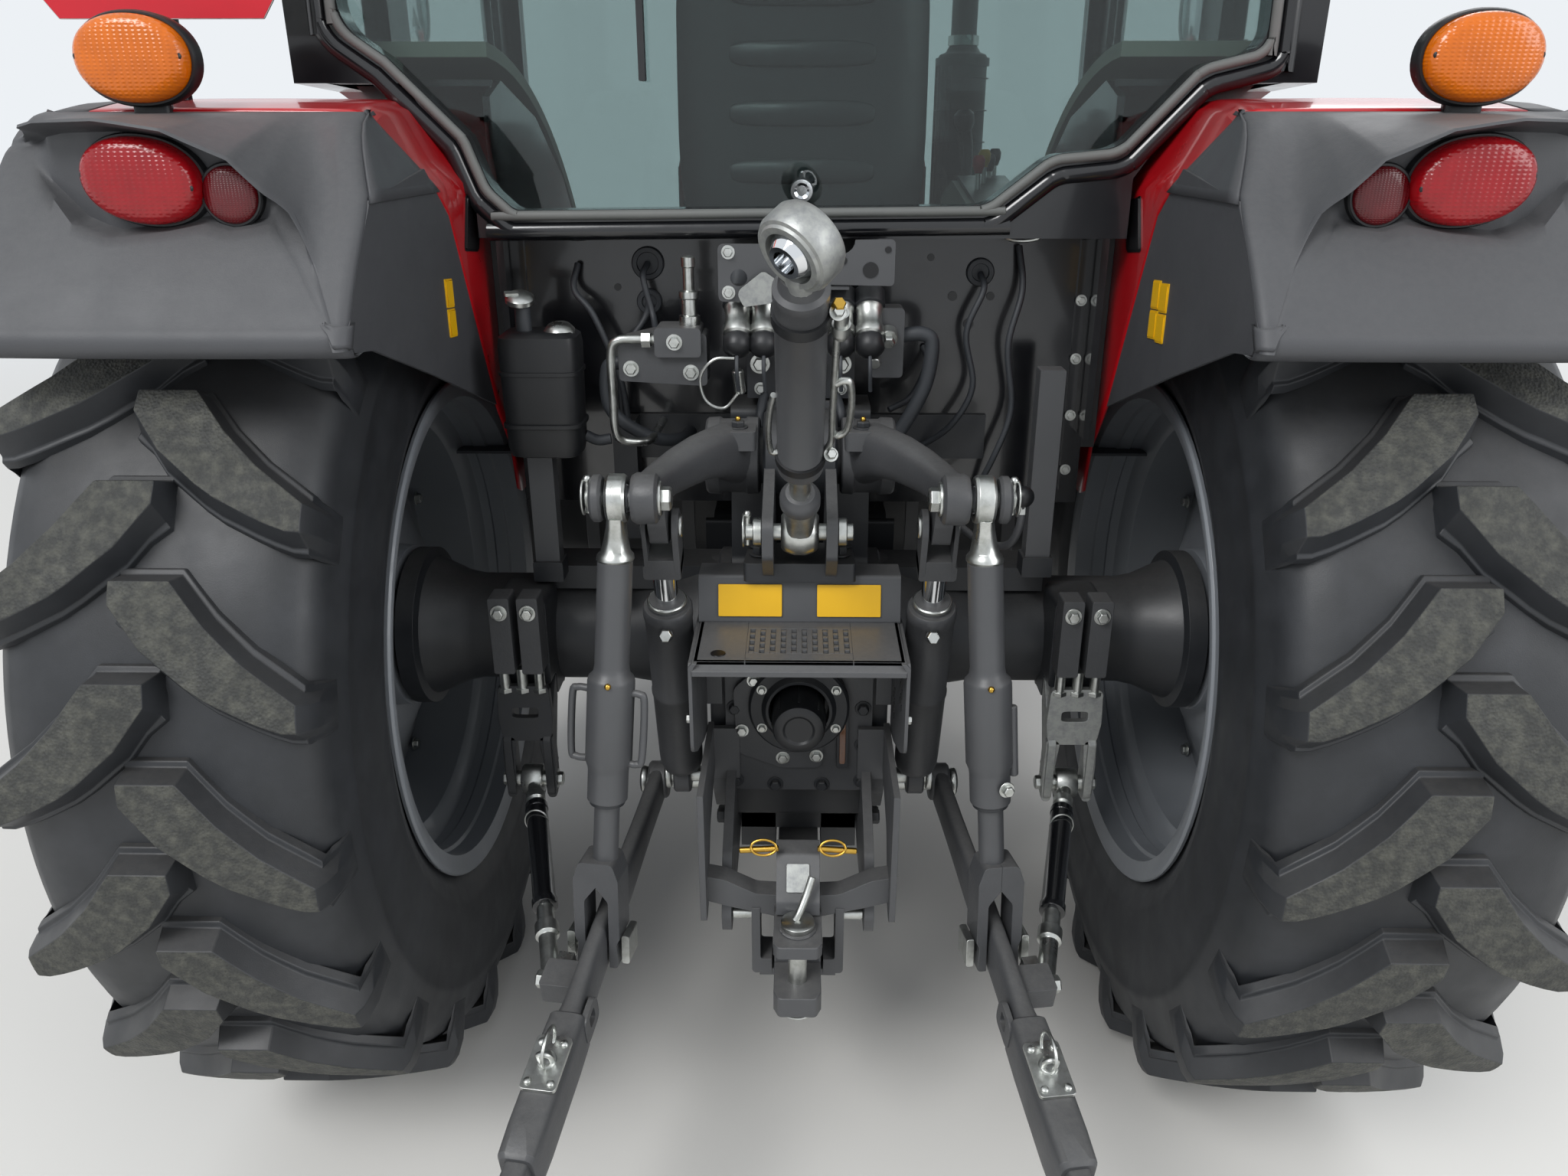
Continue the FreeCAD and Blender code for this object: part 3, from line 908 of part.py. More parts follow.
for side_name, s in SIDES:
    section = [(f"{s} * fender_in", "900"), (f"{s} * fender_in", "cap_low + 170"),
        (f"{s} * (fender_in + 160)", fender_roof),
               (f"{s} * fender_out", fender_roof), (f"{s} * fender_out", "900")]
    hollow = [(f"{s} * (fender_in + fender_skin)", "800"), (f"{s} * (fender_in + fender_skin)",
        "cap_low + 166"),
              (f"{s} * (fender_in + 175)", fender_roof), (f"{s} * (fender_out + 1)", fender_roof),
                  (f"{s} * (fender_out + 1)", "800")]
    outer = common(f"fender_outer_{side_name}", side_slab(f"fender_side_{side_name}", CROWN + UNDER,
        "2 * fender_out + 20"),
                   rear_slab(f"fender_section_{side_name}", section, "2000"))
    inner = common(f"fender_inner_{side_name}", side_slab(f"fender_hollow_{side_name}", HOLLOW,
        "2 * fender_out + 20"),
                   rear_slab(f"fender_bore_{side_name}", hollow, "2000"))
    lip = side_slab(f"fender_lip_{side_name}", [(y, f"({z}) - fender_skin") for y, z in CROWN[5:10]]
                    + [(y, f"({z}) - 34") for y, z in CROWN[5:10][::-1]], "10", f"{s} * (fender_out - 5)")
    shell = fuse(f"fender_panel_{side_name}", cut(f"fender_shell_{side_name}", outer, inner), lip)
    # The rear cap ends at the joint and leaves a band that narrows down the inner edge
    cap_zone = common(f"cap_zone_{side_name}", side_slab(f"cap_zone_side_{side_name}", [
        ("cap_rear - 50", "900"), ("cap_join + 120", "900"), ("cap_join", "fender_top - 400"),
            ("cap_join", "fender_top + 200"),
        ("cap_rear - 50", "fender_top + 200")], "2 * fender_out + 20"),
            rear_slab(f"cap_zone_rear_{side_name}", [
            (f"{s} * (fender_in + fender_skin + 2)", "900"), (f"{s} * (fender_in + fender_skin + 2)",
                "cap_low - 40"),
            (f"{s} * (fender_in + 26)", "cap_low + 20"),
            (f"{s} * (fender_in + 52)", "cap_low + 170"), (f"{s} * (fender_in + 150)", "fender_top + 200"),
            (f"{s} * (fender_out + 5)", "fender_top + 200"), (f"{s} * (fender_out + 5)", "900")], "2400"))
    lamp_x = f"{s} * (fender_in + 270)"
    caps.append(common(f"cap_{side_name}", shell, cap_zone))
    tie = side_slab(f"fender_tie_{side_name}", [("60", "1120"), ("60", "1560"), ("300", "1560"),
        ("300", "1120")],
                    "fender_in - waist", f"{s} * (fender_in + waist) / 2")
    node(f"fender_{side_name}", fuse(f"fender_{side_name}", cut(f"fender_front_{side_name}", shell,
        cap_zone), tie))
    outers[side_name] = outer
    lamp = rear_slab(f"lamp_{side_name}", [
        (f"{lamp_x} - 76", "cap_low + 142", "52"), (f"{lamp_x} + 76", "cap_low + 142", "52"),
        (f"{lamp_x} + 76", "cap_low + 252", "52"), (f"{lamp_x} - 76", "cap_low + 252", "52")], "140",
            y="cap_rear + 122")
    tail_lamps.append(cut(f"tail_lamp_{side_name}", lamp, outer))
    reflector = bar(f"reflector_{side_name}", "33", "90", (f"{s} * (fender_in + 145)", "cap_rear + 66",
        "cap_low + 178"), "y")
    tail_lamps.append(cut(f"tail_reflector_{side_name}", reflector, outer))
    amber_x = f"{s} * (fender_in + 317)"
    amber = rear_slab(f"amber_{side_name}", [
        (f"{amber_x} - 75", "fender_top - 22", "54"), (f"{amber_x} + 75", "fender_top - 22", "54"),
        (f"{amber_x} + 75", "fender_top + 90", "54"), (f"{amber_x} - 75", "fender_top + 90", "54")], "44",
            y="cap_join - 12")
    stalk = bar(f"amber_stalk_{side_name}", "16", "80", (amber_x, "cap_join - 12", "fender_top - 60"), "z")
    amber_lamps.append(cut(f"amber_lamp_{side_name}", fuse(f"amber_body_{side_name}", amber, stalk), outer))
node("tail_lamps", fuse("tail_lamps", *tail_lamps))
node("amber_lamps", fuse("amber_lamps", *amber_lamps))
node("fender_caps", fuse("fender_caps", *caps))

# Hood: sections from the windscreen to the nose as (y, half width, drop of the top, rise of the bottom, rounding)
HOOD = (("hood_rear", "hood_half", "0", "0", "70"), ("(hood_rear + " + NOSE + ") * 0.48", "hood_half - 12",
    "44", "0", "80"),
        (NOSE + " - 340", "hood_half - 44", "128", "0", "90"),
            (NOSE + " - 120", "hood_half - 78", "190", "0", "95"),
        (NOSE + " - 30", "hood_half - 120", "290", "10", "90"),
            (NOSE, "hood_half - 150", "350", "40", "60"))


def hood_skin(name, inset, ends):
    """The hood's form, inset all round and lengthened or shortened at both ends."""
    sections = []
    for i, (y, half, drop, rise, rounding) in enumerate(HOOD):
        move = ends[0] if i == 0 else ends[1] if i == len(HOOD) - 1 else "0"
        low = f"hood_low + {rise}" if inset == "0" else "hood_low - 60"
        sections.append((f"-({y} + {move})", [
            (f"-({half}) + {inset}", low), (f"({half}) - {inset}", low),
            (f"({half}) - {inset}", f"hood_top - {drop} - {inset}", rounding),
            (f"-({half}) + {inset}", f"hood_top - {drop} - {inset}", rounding)]))
    return lofted(name, "XZ_Plane", sections)


hood_outer = hood_skin("hood_outer", "0", ("0", "0"))
hood_inner = hood_skin("hood_inner", "hood_wall", ("-2", "-hood_wall"))
GRILLE = [("-150", "hood_low + 60", "20"), ("150", "hood_low + 60", "20"), ("170", "hood_low + 270", "20"),
          ("-170", "hood_low + 270", "20")]
grille_hole = rear_slab("grille_hole", GRILLE, "120", y=NOSE + " - 30")
vents = [block(f"vent_{side_name}", ("hood_half - 110", "hood_half + 10") if s > 0 else ("-hood_half - 10",
    "-hood_half + 110"),
               ("wheelbase - 210", "wheelbase + 340"), ("hood_low + 80", "hood_low + 300")) for side_name,
                   s in SIDES]
lamp_holes = [rear_slab(f"headlamp_hole_{side_name}", [
    (f"{s} * 60", "hood_low + 305", "14"), (f"{s} * (hood_half - 160)", "hood_low + 312", "14"),
    (f"{s} * (hood_half - 150)", "hood_low + 385", "14"), (f"{s} * 60", "hood_low + 372", "14")][::s],
        "150",
    y=NOSE + " - 55") for side_name, s in SIDES]
hood_lugs = cut("hood_lugs", fuse("hood_lug_blocks", *[block(f"hood_lug_{i}", (a, b),
    ("hood_hinge_y - 12", "hood_hinge_y + 34"),
                                                              ("hood_top - 48", "hood_top - hood_wall + 1"))
                                                        for i,
                                                            (a,
                                                                b) in enumerate((("-230", "-196"),
                                                                    ("196", "230")))]),
                bar("hood_lug_hole", "10 + run_gap", "600", ("-300", "hood_hinge_y", "hood_top - 28"), "x"))
hood_shell = cut("hood_shell", hood_outer, hood_inner, grille_hole, *vents, *lamp_holes)
node("hood", fuse("hood", hood_shell, hood_lugs))
hood_band = cut("hood_band", hood_outer, hood_inner)
vent_grilles = []
for name, window, wide, low, high in (("front", grille_hole, "170", "60", "270"),):
    vent_grilles.append(common(f"{name}_grille", hood_band, window))
for side_name, vent in zip(("left", "right"), vents):
    vent_grilles.append(common(f"vent_grille_{side_name}", hood_band, vent))
SLATS = range(5)
slat_cuts = [block(f"slat_{i}", ("-hood_half - 10", "hood_half + 10"),
    ("wheelbase - 190", "wheelbase + 320"),
                   (f"hood_low + 96 + {i} * 40", f"hood_low + 118 + {i} * 40")) for i in SLATS]
slat_cuts += [block(f"bar_{i}", ("-140", "140"), (NOSE + " - 90", NOSE + " + 10"),
                    (f"hood_low + 80 + {i} * 36", f"hood_low + 98 + {i} * 36")) for i in SLATS]
node("hood_grilles", cut("hood_grilles", fuse("grille_panels", *vent_grilles), *slat_cuts))
node("headlamps", fuse("headlamps", *[common(f"headlamp_{side_name}", hood_band, hole)
                                      for side_name, hole in zip(("left", "right"), lamp_holes)]))
radiator = block("radiator", ("-230", "230"), (f"{ENGINE_FRONT} + 260", NOSE + " - 240"),
    (frame_top, f"{frame_top} + 360"))
node("cooling_pack", radiator)
hinge_bar = bar("hinge_bar", "10", "500", ("-250", "hood_hinge_y", "hood_top - 28"), "x")
hinge_stand = block("hinge_stand", ("-200", "200"), ("cab_front", "cab_front + 14"),
    ("1200", "hood_top - 60"))
frames += [hinge_bar, hinge_stand, block("hinge_arm", ("-180", "180"), ("cab_front", "hood_hinge_y + 20"),
                                        ("hood_top - 80", "hood_top - 34"))]
node("cab_frame", fuse("cab_frame", *frames))

# Exhaust, mirrors and the slow-vehicle plate
exhaust = fuse("exhaust_body", bar("exhaust_pipe", "34", "1600", ("430", "cab_front + 155", "940")),
               bar("exhaust_silencer", "72", "620", ("430", "cab_front + 155", "1220")),
               block("exhaust_strap", ("415", "445"), ("cab_front", "cab_front + 130"), ("1870", "1900")),
               block("exhaust_foot", ("engine_half", "445"), ("cab_front + 135", "cab_front + 175"),
                   ("940", "975")))
node("exhaust", cut("exhaust", exhaust, bar("exhaust_bore", "29", "1300",
    ("430", "cab_front + 155", "1280"))))
mirrors = []
for side_name, s in SIDES:
    near, far = ("cab_half", "1000") if s > 0 else ("-1000", "-cab_half")
    mirrors.append(block(f"mirror_arm_{side_name}", (near, far), ("1225", "1245"), ("2120", "2140")))
    near, far = ("930", "1065") if s > 0 else ("-1065", "-930")
    mirrors.append(rear_slab(f"mirror_head_{side_name}", [(near, "1830", "40"), (far, "1830", "40"),
        (far, "2150", "40"),
                                                          (near, "2150", "40")], "46", y="1203"))
node("mirrors", fuse("mirrors", *mirrors))
node("slow_sign", cut("slow_sign", fuse("slow_sign_body", rear_slab("slow_plate", [
    ("-1053", "1822"), ("-1032", "1793"), ("-746", "1793"), ("-725", "1822"), ("-868", "2070"),
        ("-910", "2070")], "4",
    y="-200"), block("slow_stem", ("-905", "-875"), ("-198", "-190"), ("1680", "1900")),
    block("slow_foot", ("-925", "-855"), ("-225", "-150"), ("1680", "1700"))), outers["left"]))

# Inside the cab
node("seat", fuse("seat", block("seat_base", ("-190", "190"), ("200", "560"), ("floor_z", "1330")),
                  plan_slab("seat_cushion", [("-250", "150", "60"), ("250", "150", "60"),
                      ("250", "640", "90"),
                                                ("-250", "640", "90")], "120", z="1390"),
                  side_slab("seat_back", [("150", "1450"), ("270", "1450"), ("180", "2060", "40"),
                      ("80", "2060", "40")], "460"),
                  side_slab("head_rest", [("96", "2060"), ("170", "2060"), ("150", "2200", "30"),
                      ("90", "2200", "30")], "260")))
console = side_slab("console_right", [("180", "floor_z"), ("180", "1500"), ("620", "1560"), ("800", "1520"),
    ("800", "1380"),
                                      ("620", "floor_z")], "130", "380")
shelf = side_slab("console_left", [("180", "floor_z"), ("180", "1400"), ("560", "1400"),
    ("560", "floor_z")],
                             "130", "-400")
node("consoles", fuse("consoles", console, shelf))
dash = node("dash", side_slab("dash", [("1000", "floor_z"), ("1000", "1450"), ("1060", "1600"),
    ("1190", "1600"),
                                ("1210", "floor_z")], "240"))
helm_parts = [piece.rotated(V(0, 0, 0), V(1, 0, 0), 28).translated(V(0, size("cab_front - 285"),
    size("floor_z + 615"))) for piece in (
    faceted([(-14, 195), (-7, 207), (7, 207), (14, 195), (7, 183), (-7, 183)], 36).rotated(V(0, 0, 0),
        V(0, 1, 0), 90),
    Part.makeCylinder(38, 30, V(0, 0, -22)), Part.makeBox(380, 26, 10, V(-190, -13, -6)),
    Part.makeBox(26, 190, 10, V(-13, -190, -6)), Part.makeCylinder(22, 180, V(0, 0, -180)))]
helm = helm_parts[0].fuse(helm_parts[1:])
node("steering_wheel", cut("steering_wheel", solid("helm", helm), dash))

# Tank, battery box, steps, hydraulic block and pipes at the back
boxes = []
step_parts = []
for side_name, s, label in (("left", -1, "fuel_tank"), ("right", 1, "battery_box")):
    near, far = ("gear_half", "690") if s > 0 else ("-690", "-gear_half")
    boxes.append(block(label, (near, far), ("960", "1180" if s > 0 else "1216"), ("560", "cab_low")))
    near, far = ("500", "790") if s > 0 else ("-790", "-500")
    steps = [block(f"step_{side_name}_{i}", (near, far), ("1240", "1355"), (z, f"{z} + 30")) for i,
        z in enumerate(("430", "690", "930"))]
    steps += [block(f"step_side_{side_name}_{i}", (a, b), ("1240", "1355"), ("430", "cab_low")) for i,
        (a, b) in enumerate(
        (("500", "510"), ("780", "790")) if s > 0 else (("-790", "-780"), ("-510", "-500")))]
    steps.append(block(f"step_arm_{side_name}", (near, far), ("1216", "1240"), ("900", "cab_low")))
    step_parts += steps
node("side_boxes", fuse("side_boxes", *boxes))
node("steps", fuse("steps", *step_parts))
valve = [block("valve_block", ("-90", "90"), ("-90", "-10"), ("1235", "1424"))]
for i in range(4):
    x = -66 + 44 * i
    valve.append(bar(f"coupler_{i}", "17", "70", (str(x), "-160", "1385"), "y"))
    valve.append(bar(f"collar_{i}", "21", "22", (str(x), "-140", "1385"), "y"))
coupler_sheet = rear_slab("coupler_sheet", [("-127", "1424", "8"), ("141", "1424", "8"),
    ("141", "1490", "8"),
                                            ("-127", "1490", "8")], "6", y="-147")
valve.append(cut("coupler_plate", fuse("coupler_bracket", coupler_sheet,
    block("coupler_shelf", ("-60", "74"), ("-147", "-10"), ("1424", "1430"))),
                 *[bar(f"plate_hole_{i}", "9", "20", (x, "-160", "1464"), "y") for i,
                     x in enumerate(("-104", "92", "118"))]))
valve += [block("stand_left", ("-330", "-290"), ("0", "57.9"), ("960", "1180")),
          block("stand_bar", ("-330", "330"), ("50", "57.9"), ("1100", "1180")),
          block("stand_tie", ("-40", "40"), ("-10", "52"), ("1170", "1240"))]
node("reservoir", block("reservoir", ("-360", "-200"), ("-70", "50"), ("1180", "1420")))
node("hitch_valves", cut("hitch_valves", fuse("hitch_valves_body", *valve), housing))

doc.recompute()
for item in doc.Objects:
    if any(word in item.State for word in ("Invalid", "Error")):
        raise RuntimeError(f"{item.Name} is not sound")
os.makedirs("parts", exist_ok=True)
for label, item in nodes.items():
    shape = item.Shape
    if shape.isNull() or not shape.isValid() or not shape.Solids:
        raise RuntimeError(f"{label} has no valid solid")
    shape.exportStep(f"parts/{label}.step")
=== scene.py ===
"""Farm tractor: the finishes, the dressed pieces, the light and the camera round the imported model.

Lengths in this file are millimetres seen from the rear axle: x to the driver's right, y forward
from the axle, z up from the ground. The function at() turns them into the scene's metres.
"""
import logging
import math
from collections.abc import Callable, Sequence
from dataclasses import dataclass, field
from enum import Enum
from typing import ClassVar

import bmesh
import bpy
from mathutils import Matrix, Vector


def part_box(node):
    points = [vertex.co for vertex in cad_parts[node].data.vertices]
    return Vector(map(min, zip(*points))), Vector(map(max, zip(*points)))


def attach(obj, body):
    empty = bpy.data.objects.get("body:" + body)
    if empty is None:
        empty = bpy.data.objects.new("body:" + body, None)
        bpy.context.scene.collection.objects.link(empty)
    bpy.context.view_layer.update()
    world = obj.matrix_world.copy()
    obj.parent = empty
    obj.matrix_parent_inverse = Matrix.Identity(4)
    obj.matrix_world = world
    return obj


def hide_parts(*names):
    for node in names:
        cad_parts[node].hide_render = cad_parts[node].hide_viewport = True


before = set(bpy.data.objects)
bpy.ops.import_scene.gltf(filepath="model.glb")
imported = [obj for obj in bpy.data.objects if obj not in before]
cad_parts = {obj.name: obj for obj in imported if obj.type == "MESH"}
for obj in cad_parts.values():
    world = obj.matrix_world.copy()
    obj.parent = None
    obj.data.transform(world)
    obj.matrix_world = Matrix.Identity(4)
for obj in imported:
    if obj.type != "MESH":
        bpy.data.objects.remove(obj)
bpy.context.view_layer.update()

# Where the rear axle stands along the scene, in millimetres, and metres in a millimetre
AXLE_Y = -993.0
MM = 0.001
# A wave texture of scale 1 repeats every 2 pi / 20 metres, and a noise texture about every metre
WAVE_PERIOD = 0.314
# Sizes of the specks that dust lies in and of the smudges that change the gloss, in millimetres
SPECK_MM = 9.0
SMUDGE_MM = 60.0
LOG = logging.getLogger("tractor")
Point = tuple[float, float, float]
Pair = tuple[float, float]


def at(x: float, y: float, z: float) -> Vector:
    """Turns a point in millimetres from the rear axle into scene metres.

    Args:
        x: Millimetres to the right of the middle.
        y: Millimetres ahead of the rear axle.
        z: Millimetres above the ground.

    Returns:
        The point in the scene's frame.
    """
    return Vector((x * MM, (y + AXLE_Y) * MM, z * MM))


def linear(code: str) -> tuple[float, float, float, float]:
    """Turns an sRGB hex colour into linear light.

    Args:
        code: Six hex digits, with or without a leading hash.

    Returns:
        Linear red, green, blue and an alpha of 1.
    """
    code = code.lstrip("#")
    parts = [int(code[i:i + 2], 16) / 255.0 for i in (0, 2, 4)]
    return (*[c / 12.92 if c <= 0.04045 else ((c + 0.055) / 1.055) ** 2.4 for c in parts], 1.0)


def add_node(tree: bpy.types.NodeTree, kind: str, inputs: dict | None = None, **settings: object) -> bpy.types.Node:
    """Adds one shader node, sets it up and links it.

    Args:
        tree: The node tree that it joins.
        kind: The node's type, such as ShaderNodeTexNoise.
        inputs: Each input's name or number with a value, or with the output socket that feeds it.
        settings: Properties of the node itself.

    Returns:
        The new node.
    """
    node = tree.nodes.new(kind)
    for name, value in settings.items():
        setattr(node, name, value)
    for key, value in (inputs or {}).items():
        socket = node.inputs[key]
        if isinstance(value, bpy.types.NodeSocket):
            tree.links.new(value, socket)
        else:
            socket.default_value = value
    return node


@dataclass(frozen=True)
class Finish:
    """A solid surface: its colour, its patches, its grain and its gloss.

    A patch is a slow change of tint, such as dust or uneven paint. The grain is a fine bump.
    """

    name: str
    slot: str
    colour: str
    second: str = ""
    patch_mm: float = 140.0
    patch_share: float = 0.3
    roughness: float = 0.5
    rough_spread: float = 0.06
    grain_mm: float = 1.2
    grain_height: float = 0.0
    dust: str = ""
    dust_share: float = 0.0
    metallic: float = 0.0
    ior: float = 1.5
    coat: float = 0.0
    coat_roughness: float = 0.05
    sheen: float = 0.0
    transmission: float = 0.0
    alpha: float = 1.0
    # A painted glow: emission colour and strength for a part that glows though no lamp lights it
    painted_glow: str = ""
    painted_glow_strength: float = 0.0

    def pattern(self, tree: bpy.types.NodeTree,
                place: bpy.types.NodeSocket) -> tuple[bpy.types.NodeSocket | None, float]:
        """Gives a further height pattern and its depth in millimetres, for finishes that have one."""
        return None, 0.0

    def tint(self, tree: bpy.types.NodeTree, place: bpy.types.NodeSocket) -> bpy.types.NodeSocket:
        """Mixes the colour with its patches and with the dust that lies on what faces up.

        Args:
            tree: The material's node tree.
            place: The object's own coordinates in metres.

        Returns:
            The colour output.
        """
        patches = add_node(tree, "ShaderNodeTexNoise", {"Vector": place, "Scale": 1.0 / (self.patch_mm * MM),
                                                        "Detail": 5.0, "Roughness": 0.62})
        share = add_node(tree, "ShaderNodeMapRange", {"Value": patches.outputs["Fac"], "From Min": 0.42,
                                                      "From Max": 0.72, "To Max": self.patch_share})
        mix = add_node(tree, "ShaderNodeMix", {"Factor": share.outputs["Result"], 6: linear(self.colour),
                                               7: linear(self.second or self.colour)}, data_type="RGBA")
        colour = mix.outputs[2]
        if self.dust:
            up = add_node(tree, "ShaderNodeSeparateXYZ",
                          {"Vector": add_node(tree, "ShaderNodeNewGeometry").outputs["Normal"]})
            lie = add_node(tree, "ShaderNodeMapRange", {"Value": up.outputs["Z"], "From Min": 0.35, "From Max": 1.0,
                                                        "To Max": self.dust_share})
            speck = add_node(tree, "ShaderNodeTexNoise", {"Vector": place, "Scale": 1.0 / (SPECK_MM * MM),
                                                          "Detail": 8.0, "Roughness": 0.7})
            patchy = add_node(tree, "ShaderNodeMath", {0: lie.outputs["Result"], 1: speck.outputs["Fac"]},
                              operation="MULTIPLY")
            dusty = add_node(tree, "ShaderNodeMix", {"Factor": patchy.outputs["Value"], 6: colour,
                                                     7: linear(self.dust)}, data_type="RGBA")
            colour = dusty.outputs[2]
        return colour

    def material(self) -> bpy.types.Material:
        """Builds the material once and gives the same one after that.

        Returns:
            The material.
        """
        made = bpy.data.materials.get(self.name)
        if made:
            return made
        made = bpy.data.materials.new(self.name)
        made.use_nodes = True
        tree = made.node_tree
        tree.nodes.clear()
        out = add_node(tree, "ShaderNodeOutputMaterial")
        place = add_node(tree, "ShaderNodeTexCoord").outputs["Object"]
        shade = add_node(tree, "ShaderNodeBsdfPrincipled", {
            "Base Color": self.tint(tree, place), "Metallic": self.metallic, "Coat Weight": self.coat,
            "Coat Roughness": self.coat_roughness, "Sheen Weight": self.sheen,
            "Transmission Weight": self.transmission, "Alpha": self.alpha})
        if not self.metallic:
            shade.inputs["IOR"].default_value = self.ior
        # Painted glow: emission on a surface that is not a lit lamp
        if self.painted_glow:
            shade.inputs["Emission Color"].default_value = linear(self.painted_glow)
            shade.inputs["Emission Strength"].default_value = self.painted_glow_strength
        smudge = add_node(tree, "ShaderNodeTexNoise", {"Vector": place, "Scale": 1.0 / (SMUDGE_MM * MM),
                                                       "Detail": 6.0})
        rough = add_node(tree, "ShaderNodeMapRange", {
            "Value": smudge.outputs["Fac"], "From Min": 0.3, "From Max": 0.7,
            "To Min": max(0.0, self.roughness - self.rough_spread), "To Max": self.roughness + self.rough_spread})
        tree.links.new(rough.outputs["Result"], shade.inputs["Roughness"])
        normal = None
        if self.grain_height:
            grain = add_node(tree, "ShaderNodeTexNoise", {"Vector": place, "Scale": 1.0 / (self.grain_mm * MM),
                                                          "Detail": 4.0, "Roughness": 0.6})
            bump = add_node(tree, "ShaderNodeBump", {"Height": grain.outputs["Fac"],
                                                     "Distance": self.grain_height * MM, "Strength": 1.0})
            normal = bump.outputs["Normal"]
        height, depth = self.pattern(tree, place)
        if height:
            bump = add_node(tree, "ShaderNodeBump", {"Height": height, "Distance": depth * MM, "Strength": 1.0})
            if normal:
                tree.links.new(normal, bump.inputs["Normal"])
            normal = bump.outputs["Normal"]
        if normal:
            tree.links.new(normal, shade.inputs["Normal"])
        tree.links.new(shade.outputs["BSDF"], out.inputs["Surface"])
        return made


@dataclass(frozen=True)
class Woven(Finish):
    """Plain-weave cloth: two crossed thread waves, a thread pitch apart."""

    thread_mm: float = 3.0
    thread_height: float = 0.5

    def pattern(self, tree: bpy.types.NodeTree,
                place: bpy.types.NodeSocket) -> tuple[bpy.types.NodeSocket | None, float]:
        """Crosses two wave textures into a weave.

        Args:
            tree: The material's node tree.
            place: The object's own coordinates in metres.

        Returns:
            The height output and its depth in millimetres.
        """
        waves = [add_node(tree, "ShaderNodeTexWave", {"Vector": place, "Scale": WAVE_PERIOD / (self.thread_mm * MM)},
                          bands_direction=way).outputs["Fac"] for way in ("X", "Z")]
        cross = add_node(tree, "ShaderNodeMath", {0: waves[0], 1: waves[1]}, operation="MULTIPLY")
        return cross.outputs["Value"], self.thread_height


@dataclass(frozen=True)
class Ribbed(Finish):
    """Moulded lens plastic: rows of small pillow prisms across the lens."""

    rib_mm: float = 9.0
    rib_height: float = 1.2
    # Height of a pillow as a share of its width
    squat: float = 0.6

    def pattern(self, tree: bpy.types.NodeTree,
                place: bpy.types.NodeSocket) -> tuple[bpy.types.NodeSocket | None, float]:
        """Crosses upright and level prism rows.

        Args:
            tree: The material's node tree.
            place: The object's own coordinates in metres.

        Returns:
            The height output and its depth in millimetres.
        """
        rows = [add_node(tree, "ShaderNodeTexWave", {"Vector": place, "Scale": WAVE_PERIOD / (pitch * MM)},
                         bands_direction=way).outputs["Fac"]
                for way, pitch in (("X", self.rib_mm), ("Z", self.rib_mm * self.squat))]
        cross = add_node(tree, "ShaderNodeMath", {0: rows[0], 1: rows[1]}, operation="MULTIPLY")
        return cross.outputs["Value"], self.rib_height


@dataclass(frozen=True)
class Stubble(Finish):
    """Tyre rubber worn grey on its lug tops: coarse pits and scuffed blotches."""

    pit_mm: float = 4.0
    pit_height: float = 1.4

    def pattern(self, tree: bpy.types.NodeTree,
                place: bpy.types.NodeSocket) -> tuple[bpy.types.NodeSocket | None, float]:
        """Gives torn pits as a bump.

        Args:
            tree: The material's node tree.
            place: The object's own coordinates in metres.

        Returns:
            The height output and its depth in millimetres.
        """
        pits = add_node(tree, "ShaderNodeTexVoronoi", {"Vector": place, "Scale": 1.0 / (self.pit_mm * MM)})
        return pits.outputs["Distance"], self.pit_height


